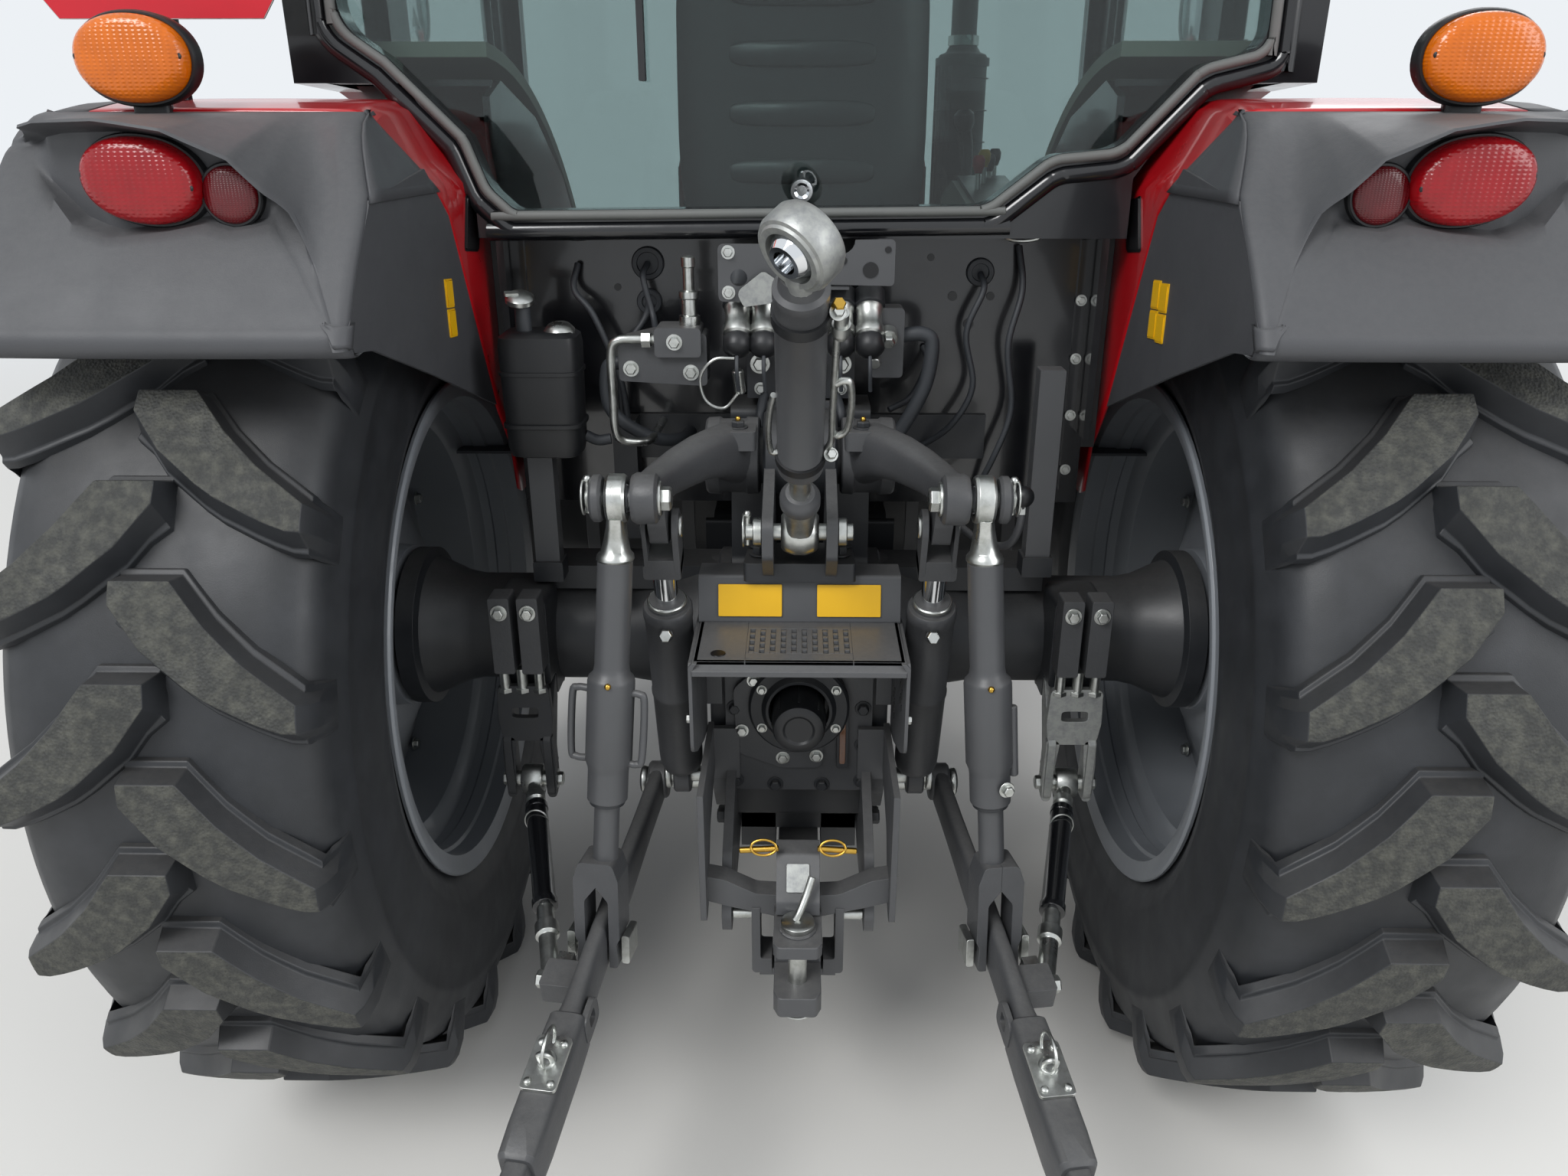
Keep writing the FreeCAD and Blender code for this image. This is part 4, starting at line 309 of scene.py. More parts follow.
class Coat(Enum):
    """Every finish on the tractor, named for the real material."""

    # Sprayed enamel on steel and plastic in body red: deep, even, with a clear gloss that mirrors the sky
    RED_ENAMEL = Finish("red enamel, sprayed", "red_paint", "B5121B", "A80F18", 400, 0.5, 0.3, 0.03,
                        coat=0.6, coat_roughness=0.06)
    # Gloss black powder coat on the cab's posts: nearly black, long soft reflections under a faint peel
    BLACK_ENAMEL = Finish("black enamel, gloss", "cab_black", "131417", "1B1C1F", 200, 0.4, 0.22, 0.05, 2.0, 0.012,
                          coat=0.5, coat_roughness=0.08)
    # Textured dark grey polypropylene: matt, a leather grain that greys the highlights, dust on top. The real
    # grain is about 1 mm, drawn at 2.2 mm so that it shows
    GRAINED_PLASTIC = Finish("polypropylene, grained", "fender_plastic", "424346", "4C4D50", 260, 0.4, 0.56, 0.05,
                             2.2, 0.22, dust="8C8A86", dust_share=0.25)
    # Satin dark grey paint on castings: low gloss with the sand-cast skin under it, drawn at 5 mm against a
    # real 1 to 2 mm so that it shows
    CAST_PAINT = Finish("cast iron, grey paint", "cast_grey", "414244", "4C4D4F", 90, 0.5, 0.46, 0.06, 5.0, 0.35,
                        dust="8E8B85", dust_share=0.3)
    # Satin grey paint on plate and tube: smoother than the castings, with longer highlights; its orange peel of
    # about 1 mm is drawn at 3 mm
    PLATE_PAINT = Finish("steel plate, grey paint", "grey_paint", "48494B", "525355", 120, 0.4, 0.42, 0.06, 3.0,
                         0.06, dust="93908A", dust_share=0.3)
    # Near-black satin paint of the axle, gearbox and frames: the darkest metal, whose edges alone catch light;
    # its peel is drawn at 4 mm
    DARK_PAINT = Finish("steel, dark satin paint", "grey_paint", "26282B", "303236", 120, 0.5, 0.45, 0.07, 4.0, 0.12,
                        dust="77746E", dust_share=0.3)
    # Vulcanised rubber, new: a blue-grey sheen over black, a little dust, and a moulding skin of about 0.5 mm
    # that is drawn at 1.6 mm
    RUBBER = Finish("rubber, vulcanised", "tyre_rubber", "25272A", "34363A", 70, 0.55, 0.5, 0.07, 1.6, 0.16,
                    dust="5E5A54", dust_share=0.4)
    # Lug tops scuffed by the road: pale grey-green blotches over torn pits; the real pits of 1 to 2 mm are
    # drawn at 4 mm
    SCUFFED_RUBBER = Stubble("rubber, scuffed tread", "tyre_rubber", "333432", "56564E", 16, 0.8, 0.72, 0.1, 2.5, 0.5)
    # Silver-grey sprayed steel of the wheel discs: pale and even, with a soft gloss under thin lacquer
    RIM_PAINT = Finish("steel, silver-grey paint", "rim_paint", "777B80", "82868A", 200, 0.4, 0.38, 0.05, 3.0, 0.03,
                       coat=0.15)
    # Zinc-plated steel: pale satin metal whose cloudy patches, 18 mm wide, break the reflections
    ZINC = Finish("zinc plate, passivated", "zinc_steel", "C9CBC8", "9FA19B", 18, 0.8, 0.34, 0.1, 1.5, 0.05,
                  metallic=1.0)
    # Dull zinc over a cast skin, as on the top link's large ball housing: grey metal with no clear reflection;
    # its pits of about 1 mm are drawn at 3 mm
    MATT_ZINC = Finish("zinc, dull cast skin", "zinc_steel", "A9ABA8", "85878A", 12, 0.7, 0.52, 0.08, 3.0, 0.25,
                       metallic=0.85)
    # Hard chrome and polished bearing steel of balls and ram rods: a sharp dark-and-bright mirror
    CHROME = Finish("chrome, hard plate", "ram_chrome", "E4E6E8", "D8DADC", 60, 0.3, 0.08, 0.03, metallic=1.0)
    # Turned brass of valve stems, grease nipples and a few fittings: a small warm glint
    BRASS = Finish("brass, turned", "zinc_steel", "C9A24B", "B08B3A", 15, 0.5, 0.3, 0.05, metallic=1.0)
    # Black moulded plastic of mirror heads, caps and knobs: a satin black with a fine mould texture of 1.5 mm,
    # coarser than the real 0.5 mm so that it shows
    BLACK_PLASTIC = Finish("ABS, black moulded", "black_plastic", "1A1B1D", "222326", 120, 0.4, 0.42, 0.06, 1.5,
                           0.08)
    # Synthetic rubber of seals, hoses and cables: greyer and duller than the plastic
    SEAL = Finish("EPDM seal", "black_plastic", "33363A", "3D4044", 80, 0.4, 0.55, 0.05, 1.0, 0.08)
    # Light grey-beige cab trim: a warm matt surface behind the glass; its grain of 1 mm is drawn at 1.6 mm
    BEIGE_TRIM = Finish("ABS, light grey trim", "beige_plastic", "A9A699", "9E9B8E", 160, 0.4, 0.55, 0.05, 1.6, 0.18)
    # Woven seat cloth: near-black, with a soft sheen along the edges. Real threads are about 0.7 mm apart,
    # drawn 3 mm apart so that the weave shows
    SEAT_CLOTH = Woven("polyester weave, black", "seat_fabric", "232427", "2E2F33", 60, 0.5, 0.85, 0.05, 1.0, 0.05,
                       sheen=0.3, thread_mm=3.0, thread_height=0.6)
    # Red acrylic lamp lens: saturated and glossy, with moulded pillow prisms. The faint glow stands for the
    # light that gathers in the plastic. Real prisms of about 4 mm are drawn 8 mm apart so that they show
    RED_LENS = Ribbed("acrylic, red", "red_lens", "8C0710", "6A050C", 40, 0.5, 0.22, 0.03, coat=0.15,
                      coat_roughness=0.03, painted_glow="8A0410", painted_glow_strength=0.12, rib_mm=8.0, rib_height=0.45)
    # Dark red acrylic reflector: deeper than the lamp, with finer prisms and no glow
    DARK_RED_LENS = Ribbed("acrylic reflector, dark red", "red_lens", "5E0710", "48060C", 20, 0.5, 0.25, 0.03,
                           coat=0.15, coat_roughness=0.03, rib_mm=4.0, rib_height=0.3)
    # Amber acrylic lamp lens: bright orange with the same pillow prisms, drawn 8 mm apart for a real 4 mm, and a
    # faint painted glow though the lamp is unlit
    AMBER_LENS = Ribbed("acrylic, amber", "amber_lens", "CC6600", "A04C00", 40, 0.5, 0.2, 0.03, coat=0.2,
                        coat_roughness=0.03, painted_glow="A04400", painted_glow_strength=0.2, rib_mm=8.0, rib_height=0.5)
    # Clear polycarbonate of work lamps and headlamps: lets the reflectors show; its flutes bend them slightly
    CLEAR_LENS = Ribbed("polycarbonate, clear", "clear_lens", "D9DEE2", "D0D6DA", 40, 0.4, 0.06, 0.02, ior=1.3,
                        transmission=0.92, rib_mm=16.0, rib_height=0.4)
    # Blank yellow vinyl patch: flat, bright, satin
    YELLOW_FILM = Finish("vinyl, yellow", "grey_paint", "E7B30B", "DDA909", 60, 0.3, 0.4, 0.04)
    # Black vinyl and painted shade: flat black on printed areas, and painted shade standing for the dark inside
    # holes, slots and openings
    BLACK_FILM_AND_HOLE_SHADE = Finish("vinyl, black, and painted hole shade", "cab_black", "0D0D0F", "141416", 40, 0.4, 0.32, 0.04)
    # Red reflective film of the slow-moving sign's rim: an even, slightly glossy red
    SIGN_RED = Finish("aluminium, red reflective film", "sign_red", "C21325", "B10F20", 60, 0.3, 0.35, 0.04)
    # Fluorescent orange film of the sign's middle: the brightest colour on the tractor, nearly matt
    SIGN_ORANGE = Finish("aluminium, fluorescent film", "sign_red", "F2571B", "EA5016", 60, 0.3, 0.4, 0.04)
    # Rubber piping round the rear window, pale grey as a painted highlight along its round edge: dull, slightly
    # chalky, it draws the window's outline
    GREY_SEAL_AS_PAINTED_HIGHLIGHT = Finish("rubber piping, grey for painted highlight", "black_plastic", "626462", "6E706D", 60, 0.4, 0.6, 0.05, 2.0, 0.05)
    # Sight glass of the gearbox's oil level: a small glossy amber-brown strip
    BROWN_GLASS = Finish("acrylic, oil sight glass", "amber_lens", "6B3A12", "5A300E", 20, 0.4, 0.15, 0.03, coat=0.6)
    # Red polyethylene of caps, knobs and the belt's buckle: satin and waxy beside the red enamel
    RED_CAP = Finish("polyethylene, red cap", "red_paint", "C8141C", "B81018", 30, 0.3, 0.4, 0.04)
    # Heat-stained silencer steel: dull black with rusty brown patches
    HOT_STEEL = Finish("steel, satin black heat paint", "black_plastic", "1E1F21", "2B2724", 60, 0.5, 0.5, 0.08, 2.0,
                       0.08)

    def material(self) -> bpy.types.Material:
        """The finish's own material."""
        return self.value.material()


@dataclass(frozen=True)
class Glazing:
    """Toughened window glass, faintly tinted: clear to lamp light, mirror-like at a slant."""

    name: str = "glass, toughened, tinted"
    slot: str = "window_glass"
    colour: str = "B4C2C1"
    roughness: float = 0.01
    ior: float = 1.45

    def material(self) -> bpy.types.Material:
        """Builds the glass once; lamp light passes straight through it to what is behind.

        Returns:
            The material.
        """
        made = bpy.data.materials.get(self.name)
        if made:
            return made
        made = bpy.data.materials.new(self.name)
        made.use_nodes = True
        tree = made.node_tree
        tree.nodes.clear()
        out = add_node(tree, "ShaderNodeOutputMaterial")
        pane = add_node(tree, "ShaderNodeBsdfPrincipled", {"Base Color": linear(self.colour),
                                                           "Roughness": self.roughness, "IOR": self.ior,
                                                           "Transmission Weight": 1.0})
        clear = add_node(tree, "ShaderNodeBsdfTransparent", {"Color": linear(self.colour)})
        path = add_node(tree, "ShaderNodeLightPath")
        passing = add_node(tree, "ShaderNodeMath", {0: path.outputs["Is Shadow Ray"],
                                                    1: path.outputs["Is Diffuse Ray"]}, operation="MAXIMUM")
        both = add_node(tree, "ShaderNodeMixShader", {0: passing.outputs["Value"], 1: pane.outputs["BSDF"],
                                                      2: clear.outputs["BSDF"]})
        tree.links.new(both.outputs["Shader"], out.inputs["Surface"])
        return made


# Toughened safety glass of the cab: a pale green tint, sharp slanting reflections and a clear view inside
GLASS = Glazing()


def smooth_path(points: Sequence[Point], steps: int = 8) -> list[Vector]:
    """Rounds a route into a Catmull-Rom line through its points.

    Args:
        points: The points to pass through.
        steps: Spans between one point and the next.

    Returns:
        The finer line.
    """
    way = [Vector(p) for p in points]
    ends = [way[0] * 2 - way[1], *way, way[-1] * 2 - way[-2]]
    line = []
    for a, b, c, d in zip(ends, ends[1:], ends[2:], ends[3:]):
        for i in range(steps):
            u = i / steps
            line.append(0.5 * (2 * b + (c - a) * u + (2 * a - 5 * b + 4 * c - d) * u * u
                               + (3 * b - a - 3 * c + d) * u ** 3))
    return line + [way[-1]]


def corner_arcs(points: Sequence[tuple], steps: int = 5) -> list[Pair]:
    """Rounds a flat outline's corners.

    Args:
        points: Corners as (a, b) or, to be rounded, (a, b, radius).
        steps: Spans in each arc.

    Returns:
        The outline's points with arcs in place of the rounded corners.
    """
    line: list[Pair] = []
    for i, corner in enumerate(points):
        here = Vector(corner[:2])
        if len(corner) < 3 or corner[2] <= 0:
            line.append((here.x, here.y))
            continue
        to_last = Vector(points[i - 1][:2]) - here
        to_next = Vector(points[(i + 1) % len(points)][:2]) - here
        half = to_last.angle(to_next) / 2
        cut = min(corner[2] / math.tan(half), to_last.length * 0.48, to_next.length * 0.48)
        start, end = here + to_last.normalized() * cut, here + to_next.normalized() * cut
        for k in range(steps + 1):
            u = k / steps
            p = start.lerp(here, u).lerp(here.lerp(end, u), u)
            line.append((p.x, p.y))
    return line


def oval(wide: float, high: float, count: int = 40, power: float = 2.0) -> list[Pair]:
    """An ellipse's points, squarer as the power grows above 2.

    Args:
        wide: Half its width.
        high: Half its height.
        count: How many points.
        power: 2 for a true ellipse, and more towards a rectangle.

    Returns:
        The points, from the right end upward.
    """
    line = []
    for k in range(count):
        a = 2 * math.pi * k / count
        c, s = math.cos(a), math.sin(a)
        line.append((wide * math.copysign(abs(c) ** (2 / power), c), high * math.copysign(abs(s) ** (2 / power), s)))
    return line


def between(line: Sequence[Pair], where: float) -> float:
    """Reads a line of (place, value) pairs, straight between its points and flat beyond its ends.

    Args:
        line: The pairs, in order of place.
        where: The place to read at.

    Returns:
        The value there.
    """
    if where <= line[0][0]:
        return line[0][1]
    for (a, b), (c, d) in zip(line, line[1:]):
        if where <= c:
            return b + (d - b) * (where - a) / (c - a)
    return line[-1][1]


def spread(low: float, high: float, count: int) -> list[float]:
    """Evenly spaced values from low to high, both among them."""
    return [low + (high - low) * k / (count - 1) for k in range(count)]


def turns(count: int) -> list[float]:
    """Evenly spaced angles of a full turn in radians, from 0."""
    return [2 * math.pi * k / count for k in range(count)]


def span(side: float, first: float, second: float) -> Pair:
    """Two distances from the middle as coordinates on one side, the lower one first."""
    return tuple(sorted((side * first, side * second)))


def mirror(point: Point, side: int) -> Vector:
    """A point of the right side, or its mirror image where side is -1."""
    return Vector((side * point[0], point[1], point[2]))


def panel(across: Pair, along: Pair, radius: float = 0.0) -> list[tuple[float, float, float]]:
    """A rectangle's corners between two pairs of coordinates, with a radius for all of them."""
    return [(across[0], along[0], radius), (across[1], along[0], radius), (across[1], along[1], radius),
            (across[0], along[1], radius)]


def axes(origin: Point, along: Point, up: Point = (0, 0, 1)) -> Matrix:
    """A frame whose local z runs along a direction and whose local y leans to up.

    Args:
        origin: The frame's origin in millimetres.
        along: Its z axis.
        up: What its y axis leans towards.

    Returns:
        The frame as a matrix.
    """
    z = Vector(along).normalized()
    x = Vector(up).cross(z)
    if x.length < 1e-6:
        x = Vector((1, 0, 0)).cross(z)
    if x.length < 1e-6:
        x = Vector((0, 1, 0)).cross(z)
    x.normalize()
    y = z.cross(x)
    turn = Matrix((x, y, z)).transposed().to_4x4()
    return Matrix.Translation(Vector(origin)) @ turn


# Frames for flat outlines: SIDE reads (ahead, height) and rises to the right, REAR reads (right, height) and
# rises backward, PLAN reads (right, ahead) and rises upward
SIDE = Matrix(((0, 0, 1, 0), (1, 0, 0, 0), (0, 1, 0, 0), (0, 0, 0, 1)))
REAR = Matrix(((1, 0, 0, 0), (0, 0, -1, 0), (0, 1, 0, 0), (0, 0, 0, 1)))
PLAN = Matrix.Identity(4)


# The chamfer at the ends of every turned bar, in millimetres
EDGE_BREAK = 1.5


class Form:
    """Gathers the solids of one piece in millimetres, each with its finish, and makes the object."""

    def __init__(self) -> None:
        """Starts an empty form."""
        self.bm = bmesh.new()
        self.coats: list[Coat | Glazing] = []

    def _slot(self, coat: "Coat | Glazing") -> int:
        """Finds the finish's place among the piece's materials, or gives it one.

        Args:
            coat: The finish.

        Returns:
            Its number.
        """
        if coat not in self.coats:
            self.coats.append(coat)
        return self.coats.index(coat)

    def skin(self, rings: Sequence[Sequence[Vector]], coat: "Coat | Glazing", caps: bool = True,
             around: bool = True, closed: bool = False) -> "Form":
        """Skins a row of rings that have as many points each.

        Args:
            rings: The rings' points.
            coat: The finish.
            caps: Whether the first and last rings are filled.
            around: Whether each ring closes on itself.
            closed: Whether the last ring joins the first.

        Returns:
            The form itself.
        """
        slot = self._slot(coat)
        rows = [[self.bm.verts.new(Vector(p)) for p in ring] for ring in rings]
        made = []
        pairs = list(zip(rows, rows[1:])) + ([(rows[-1], rows[0])] if closed else [])
        count = len(rows[0])
        for a, b in pairs:
            for k in range(count if around else count - 1):
                n = (k + 1) % count
                made.append(self.bm.faces.new((a[k], a[n], b[n], b[k])))
        if caps and not closed:
            made.append(self.bm.faces.new(rows[0][::-1]))
            made.append(self.bm.faces.new(rows[-1]))
        for face in made:
            face.material_index = slot
        bmesh.ops.recalc_face_normals(self.bm, faces=made)
        return self

    def lathe(self, profile: Sequence[Pair], coat: "Coat | Glazing", place: Matrix = PLAN, count: int = 32,
              closed: bool = False, caps: bool = True) -> "Form":
        """Turns (along, radius) points about the frame's z axis.

        Args:
            profile: The points.
            coat: The finish.
            place: The frame.
            count: Facets round the axis.
            closed: Whether the last point joins the first.
            caps: Whether the ends of an open profile are filled.

        Returns:
            The form itself.
        """
        rings = []
        for along, radius in profile:
            rings.append([place @ Vector((radius * math.cos(t), radius * math.sin(t), along)) for t in turns(count)])
        return self.skin(rings, coat, caps=caps, closed=closed)

    def rod(self, start: Point, end: Point, radius: float, coat: "Coat | Glazing", count: int = 24) -> "Form":
        """A round bar between two points with a small edge break.

        Args:
            start: One end's middle.
            end: The other end's middle.
            radius: The bar's radius.
            coat: The finish.
            count: Facets round the bar.

        Returns:
            The form itself.
        """
        way = Vector(end) - Vector(start)
        size = way.length
        e = min(EDGE_BREAK, radius * 0.4, size * 0.3)
        return self.lathe([(0, radius - e), (e, radius), (size - e, radius), (size, radius - e)], coat,
                          axes(start, way), count)

    def prism(self, outline: Sequence[tuple], low: float, high: float, coat: "Coat | Glazing",
              place: Matrix = PLAN) -> "Form":
        """Raises a flat outline, its corners rounded where they say so, from low to high along the frame's z."""
        flat = corner_arcs(outline)
        return self.skin([[place @ Vector((a, b, h)) for a, b in flat] for h in (low, high)], coat)

    def block(self, x: Pair, y: Pair, z: Pair, coat: "Coat | Glazing", place: Matrix = PLAN) -> "Form":
        """A box between pairs of coordinates."""
        return self.prism(panel((x[0], x[1]), (y[0], y[1])), z[0], z[1], coat, place)

    def tube(self, points: Sequence[Point], radius: float, coat: "Coat | Glazing", count: int = 14,
             steps: int = 8, ring: bool = False) -> "Form":
        """A round bar or hose along a smooth line through points.

        Args:
            points: Where the line passes.
            radius: The bar's radius.
            coat: The finish.
            count: Facets round the bar.
            steps: Spans between one point and the next.
            ring: Whether the line closes on itself.

        Returns:
            The form itself.
        """
        line = smooth_path([*points, points[0]] if ring else points, steps)
        if ring:
            line = line[:-1]
        rings = []
        up = Vector((0.31, 0.17, 0.94))
        for i, p in enumerate(line):
            back = line[i - 1] if i or ring else p
            ahead = line[(i + 1) % len(line)] if i + 1 < len(line) or ring else p
            way = (ahead - back).normalized()
            side = up.cross(way)
            side = side.normalized() if side.length > 1e-5 else way.orthogonal().normalized()
            up = way.cross(side)
            rings.append([p + side * (radius * math.cos(t)) + up * (radius * math.sin(t)) for t in turns(count)])
        return self.skin(rings, coat, closed=ring, caps=not ring)

    def ball(self, centre: Point, radius: float, coat: "Coat | Glazing", count: int = 24) -> "Form":
        """A ball.

        Args:
            centre: Its middle.
            radius: Its radius.
            coat: The finish.
            count: Facets round its equator.

        Returns:
            The form itself.
        """
        rings = []
        for i in range(1, count // 2):
            a = math.pi * i / (count // 2)
            rings.append([Vector((centre[0] + radius * math.sin(a) * math.cos(t),
                                  centre[1] + radius * math.sin(a) * math.sin(t),
                                  centre[2] + radius * math.cos(a))) for t in turns(count)])
        return self.skin(rings, coat)

    def bolt(self, centre: Point, along: Point, across: float, coat: "Coat | Glazing", high: float = 0.0,
             washer: bool = True) -> "Form":
        """A hexagon head on its washer, pointing along a direction.

        Args:
            centre: Where its seat is.
            along: Where it points.
            across: Its width across the flats.
            coat: The finish.
            high: The head's height, or 0 for the usual one.
            washer: Whether a washer lies under it.

        Returns:
            The form itself.
        """
        place = axes(centre, along)
        tall = high or across * 0.55
        base = 0.0
        if washer:
            base = across * 0.12
            self.lathe([(0, across * 0.82), (base, across * 0.8)], coat, place, 20)
        radius = across / math.sqrt(3)
        self.lathe([(base, radius), (base + tall * 0.8, radius), (base + tall, radius * 0.82)], coat, place, 6)
        return self

    def recoat(self, test: Callable[[Vector, Vector], bool], coat: "Coat | Glazing") -> "Form":
        """Gives another finish to the faces whose centre and normal pass a test.

        Args:
            test: Tells whether a face with this centre and normal is meant.
            coat: Its new finish.

        Returns:
            The form itself.
        """
        slot = self._slot(coat)
        for face in self.bm.faces:
            if test(face.calc_center_median(), face.normal):
                face.material_index = slot
        return self

    def piece(self, name: str, body: str, replaces: Sequence[str] = (), bevel: float = 0.0, angle: float = 34.0,
              segments: int = 2, sheet: float = 0.0) -> bpy.types.Object:
        """Makes the object, rides it on its body and hides the nodes that it stands for.

        Args:
            name: The piece's name.
            body: The body that it moves with.
            replaces: The nodes that it stands for.
            bevel: Width of the edge rounding in millimetres, or 0.
            angle: Edges sharper than this stay crisp or are rounded.
            segments: Spans in each rounded edge.
            sheet: Thickness given to an open skin, inward, or 0.

        Returns:
            The object.
        """
        move = Matrix.Translation(Vector((0, AXLE_Y * MM, 0))) @ Matrix.Diagonal((MM, MM, MM, 1))
        self.bm.transform(move)
        mesh = bpy.data.meshes.new(name)
        self.bm.to_mesh(mesh)
        self.bm.free()
        for coat in self.coats:
            mesh.materials.append(coat.material())
        mesh.shade_smooth()
        mesh.set_sharp_from_angle(angle=math.radians(angle))
        made = bpy.data.objects.new(name, mesh)
        bpy.context.scene.collection.objects.link(made)
        if sheet:
            wall = made.modifiers.new("wall", "SOLIDIFY")
            wall.thickness = sheet * MM
            wall.offset = -1.0
        if bevel:
            edge = made.modifiers.new("edges", "BEVEL")
            edge.width = bevel * MM
            edge.segments = segments
            edge.limit_method = "ANGLE"
            edge.angle_limit = math.radians(angle)
            edge.harden_normals = True
        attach(made, body)
        first = self.coats[0]
        first.slot if isinstance(first, Glazing) else first.value.slot
        if replaces:
            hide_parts(*replaces)
        LOG.info("%s on %s: %d faces", name, body, len(mesh.polygons))
        return made


def dress(node: str, coat: "Coat | Glazing") -> None:
    """Gives a carried-over solid its finish in all its material slots.

    Args:
        node: The solid's name in the frame.
        coat: The finish.
    """
    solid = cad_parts[node]
    for slot in solid.material_slots:
        slot.link = "OBJECT"
        slot.material = coat.material()


SIDES = (("left", -1), ("right", 1))
@dataclass
class Wheel:
    """One wheel: the lugged tyre and its pressed rim, seen from the middle of the tyre outward.

    Distances along the axle are positive away from the tractor.
    """

    name: str
    side: int
    track: float
    ahead: float
    radius: float
    width: float
    # Radius of the bead seat, half the rim's width, where the disc stands along the axle, and its collar's depth
    seat: float
    rim_half: float
    disc: float
    collar: float
    # Lugs in each half of the tread, how tall they are, and how many wheel nuts
    lugs: int
    lug: float
    nuts: int
    # Where each lug's leading and trailing edges run: share of half the width, then shares of the lug pitch
    lug_lead: Sequence[Pair] = ((-0.10, 0.0), (0.24, 0.0), (0.44, -0.225), (0.65, -0.41), (0.93, -0.60), (1.0, -0.62))
    lug_trail: Sequence[Pair] = ((-0.10, -0.115), (0.085, -0.335), (0.39, -0.56), (0.65, -0.675), (0.83, -0.745),
                                 (1.0, -0.75))
    # Where the first lug leads, in degrees up the rear face, as in the photograph
    lug_start: float = 9.5

    def point(self, along: float, radius: float, degrees: float) -> Vector:
        """A point on the wheel.

        Args:
            along: Millimetres outward from the tyre's middle.
            radius: Distance from the axle.
            degrees: The angle upward from level on the rear face.

        Returns:
            The point.
        """
        a = math.radians(180 - degrees)
        return Vector((self.side * (self.track / 2 + along), self.ahead + radius * math.cos(a),
                       self.radius + radius * math.sin(a)))

    def place(self) -> Matrix:
        """The frame of the wheel's turned parts: z along the axle, outward."""
        return axes((self.side * self.track / 2, self.ahead, self.radius), (self.side, 0, 0))

    def carcass(self) -> list[Pair]:
        """Draws half of the tyre's section, from the bead to the middle of the tread.

        Returns:
            Points as (along, radius).
        """
        half, wall, tip = self.width / 2, self.radius - self.seat, self.radius
        wide = half - 2
        return [(self.rim_half - 10, self.seat + 3), (self.rim_half - 8, self.seat + 0.07 * wall),
                (self.rim_half - 2, self.seat + 0.10 * wall), (self.rim_half + 6, self.seat + 0.135 * wall),
                (wide - 9, self.seat + 0.19 * wall), (wide - 5, self.seat + 0.215 * wall),
                (wide - 6, self.seat + 0.23 * wall), (wide - 3, self.seat + 0.30 * wall),
                (wide - 0.5, self.seat + 0.40 * wall), (wide, self.seat + 0.50 * wall),
                (wide - 1.5, self.seat + 0.58 * wall), (wide + 0.8, self.seat + 0.595 * wall),
                (wide + 0.4, self.seat + 0.62 * wall), (wide - 3, self.seat + 0.64 * wall),
                (wide - 9, self.seat + 0.73 * wall), (wide - 19, tip - 0.20 * wall),
                (wide - 36, tip - self.lug - 0.045 * wall), (wide - 70, tip - self.lug - 0.015 * wall),
                (wide * 0.35, tip - self.lug), (0, tip - self.lug)]

    def one_lug(self, form: Form, hand: int, tip_angle: float) -> None:
        """Moulds one lug with its ledges, from past the middle over the shoulder.

        Args:
            form: The tyre's form.
            hand: 1 for the outer half of the tread, -1 for the inner half.
            tip_angle: Where the lug's centre end leads, in degrees up the rear face.
        """
        half, tip = self.width / 2, self.radius
        pitch = 360 / self.lugs
        unit = self.lug / 42.0
        rows = []
        shares = [-0.10, -0.03, 0.085, 0.24, 0.33, 0.44, 0.54, 0.65, 0.75, 0.85, 0.93]
        stations = [(half * u, tip - 11 * unit * u * u, half * u, tip - self.lug - 7 - 20 * max(0.0, u - 0.6), u)
                    for u in shares]
        stations += [(half * 0.968, tip - 24 * unit, half * 0.93, tip - 76 * unit, 0.96),
                     (half * 0.993, tip - 48 * unit, half * 0.945, tip - 92 * unit, 0.98),
                     (half * 0.998, tip - 78 * unit, half * 0.95, tip - 106 * unit, 1.0),
                     (half * 0.992, tip - 104 * unit, half * 0.96, tip - 120 * unit, 1.0)]
        for along, top, base_along, base, share in stations:
            lead = between(self.lug_lead, share) * pitch
            trail = between(self.lug_trail, share) * pitch
            to_degrees = 360 / (2 * math.pi * tip)
            flare, ledge = 12 * unit * to_degrees, 11 * unit * to_degrees
            nose = -9 * unit if share < -0.05 else 0.0
            mid_along, mid = base_along + (along - base_along) * 0.3, base + (top - base) * 0.3
            angles = [(base_along + nose, base, lead + flare + ledge), (mid_along + nose, mid,
                                                                        lead + flare + ledge * 0.7),
                      (mid_along + nose * 0.5, mid + 1.5, lead + flare * 0.9), (along, top, lead),
                      (along, top + 0.6, lead * 0.67 + trail * 0.33), (along, top + 0.6, lead * 0.33 + trail * 0.67),
                      (along, top, trail), (mid_along + nose * 0.5, mid + 1.5, trail - flare * 1.3),
                      (mid_along + nose, mid, trail - flare * 1.3 - ledge * 0.6),
                      (base_along + nose, base, trail - flare * 1.3 - ledge)]
            rows.append([self.point(hand * a, min(r, tip - 0.4), tip_angle + turn) for a, r, turn in angles])
        form.skin(rows, Coat.RUBBER)

    def tyre(self) -> None:
        """Makes the tyre: carcass, ledges and two staggered rows of lugs."""
        form = Form()
        half_section = self.carcass()
        section = half_section + [(-a, r) for a, r in half_section[-2::-1]]
        form.lathe(section, Coat.RUBBER, self.place(), 144, closed=True)
        pitch = 360 / self.lugs
        for k in range(self.lugs):
            self.one_lug(form, -1, self.lug_start + k * pitch)
            self.one_lug(form, 1, self.lug_start + (k + 0.5) * pitch)
        middle = Vector((self.side * self.track / 2, self.ahead, self.radius))

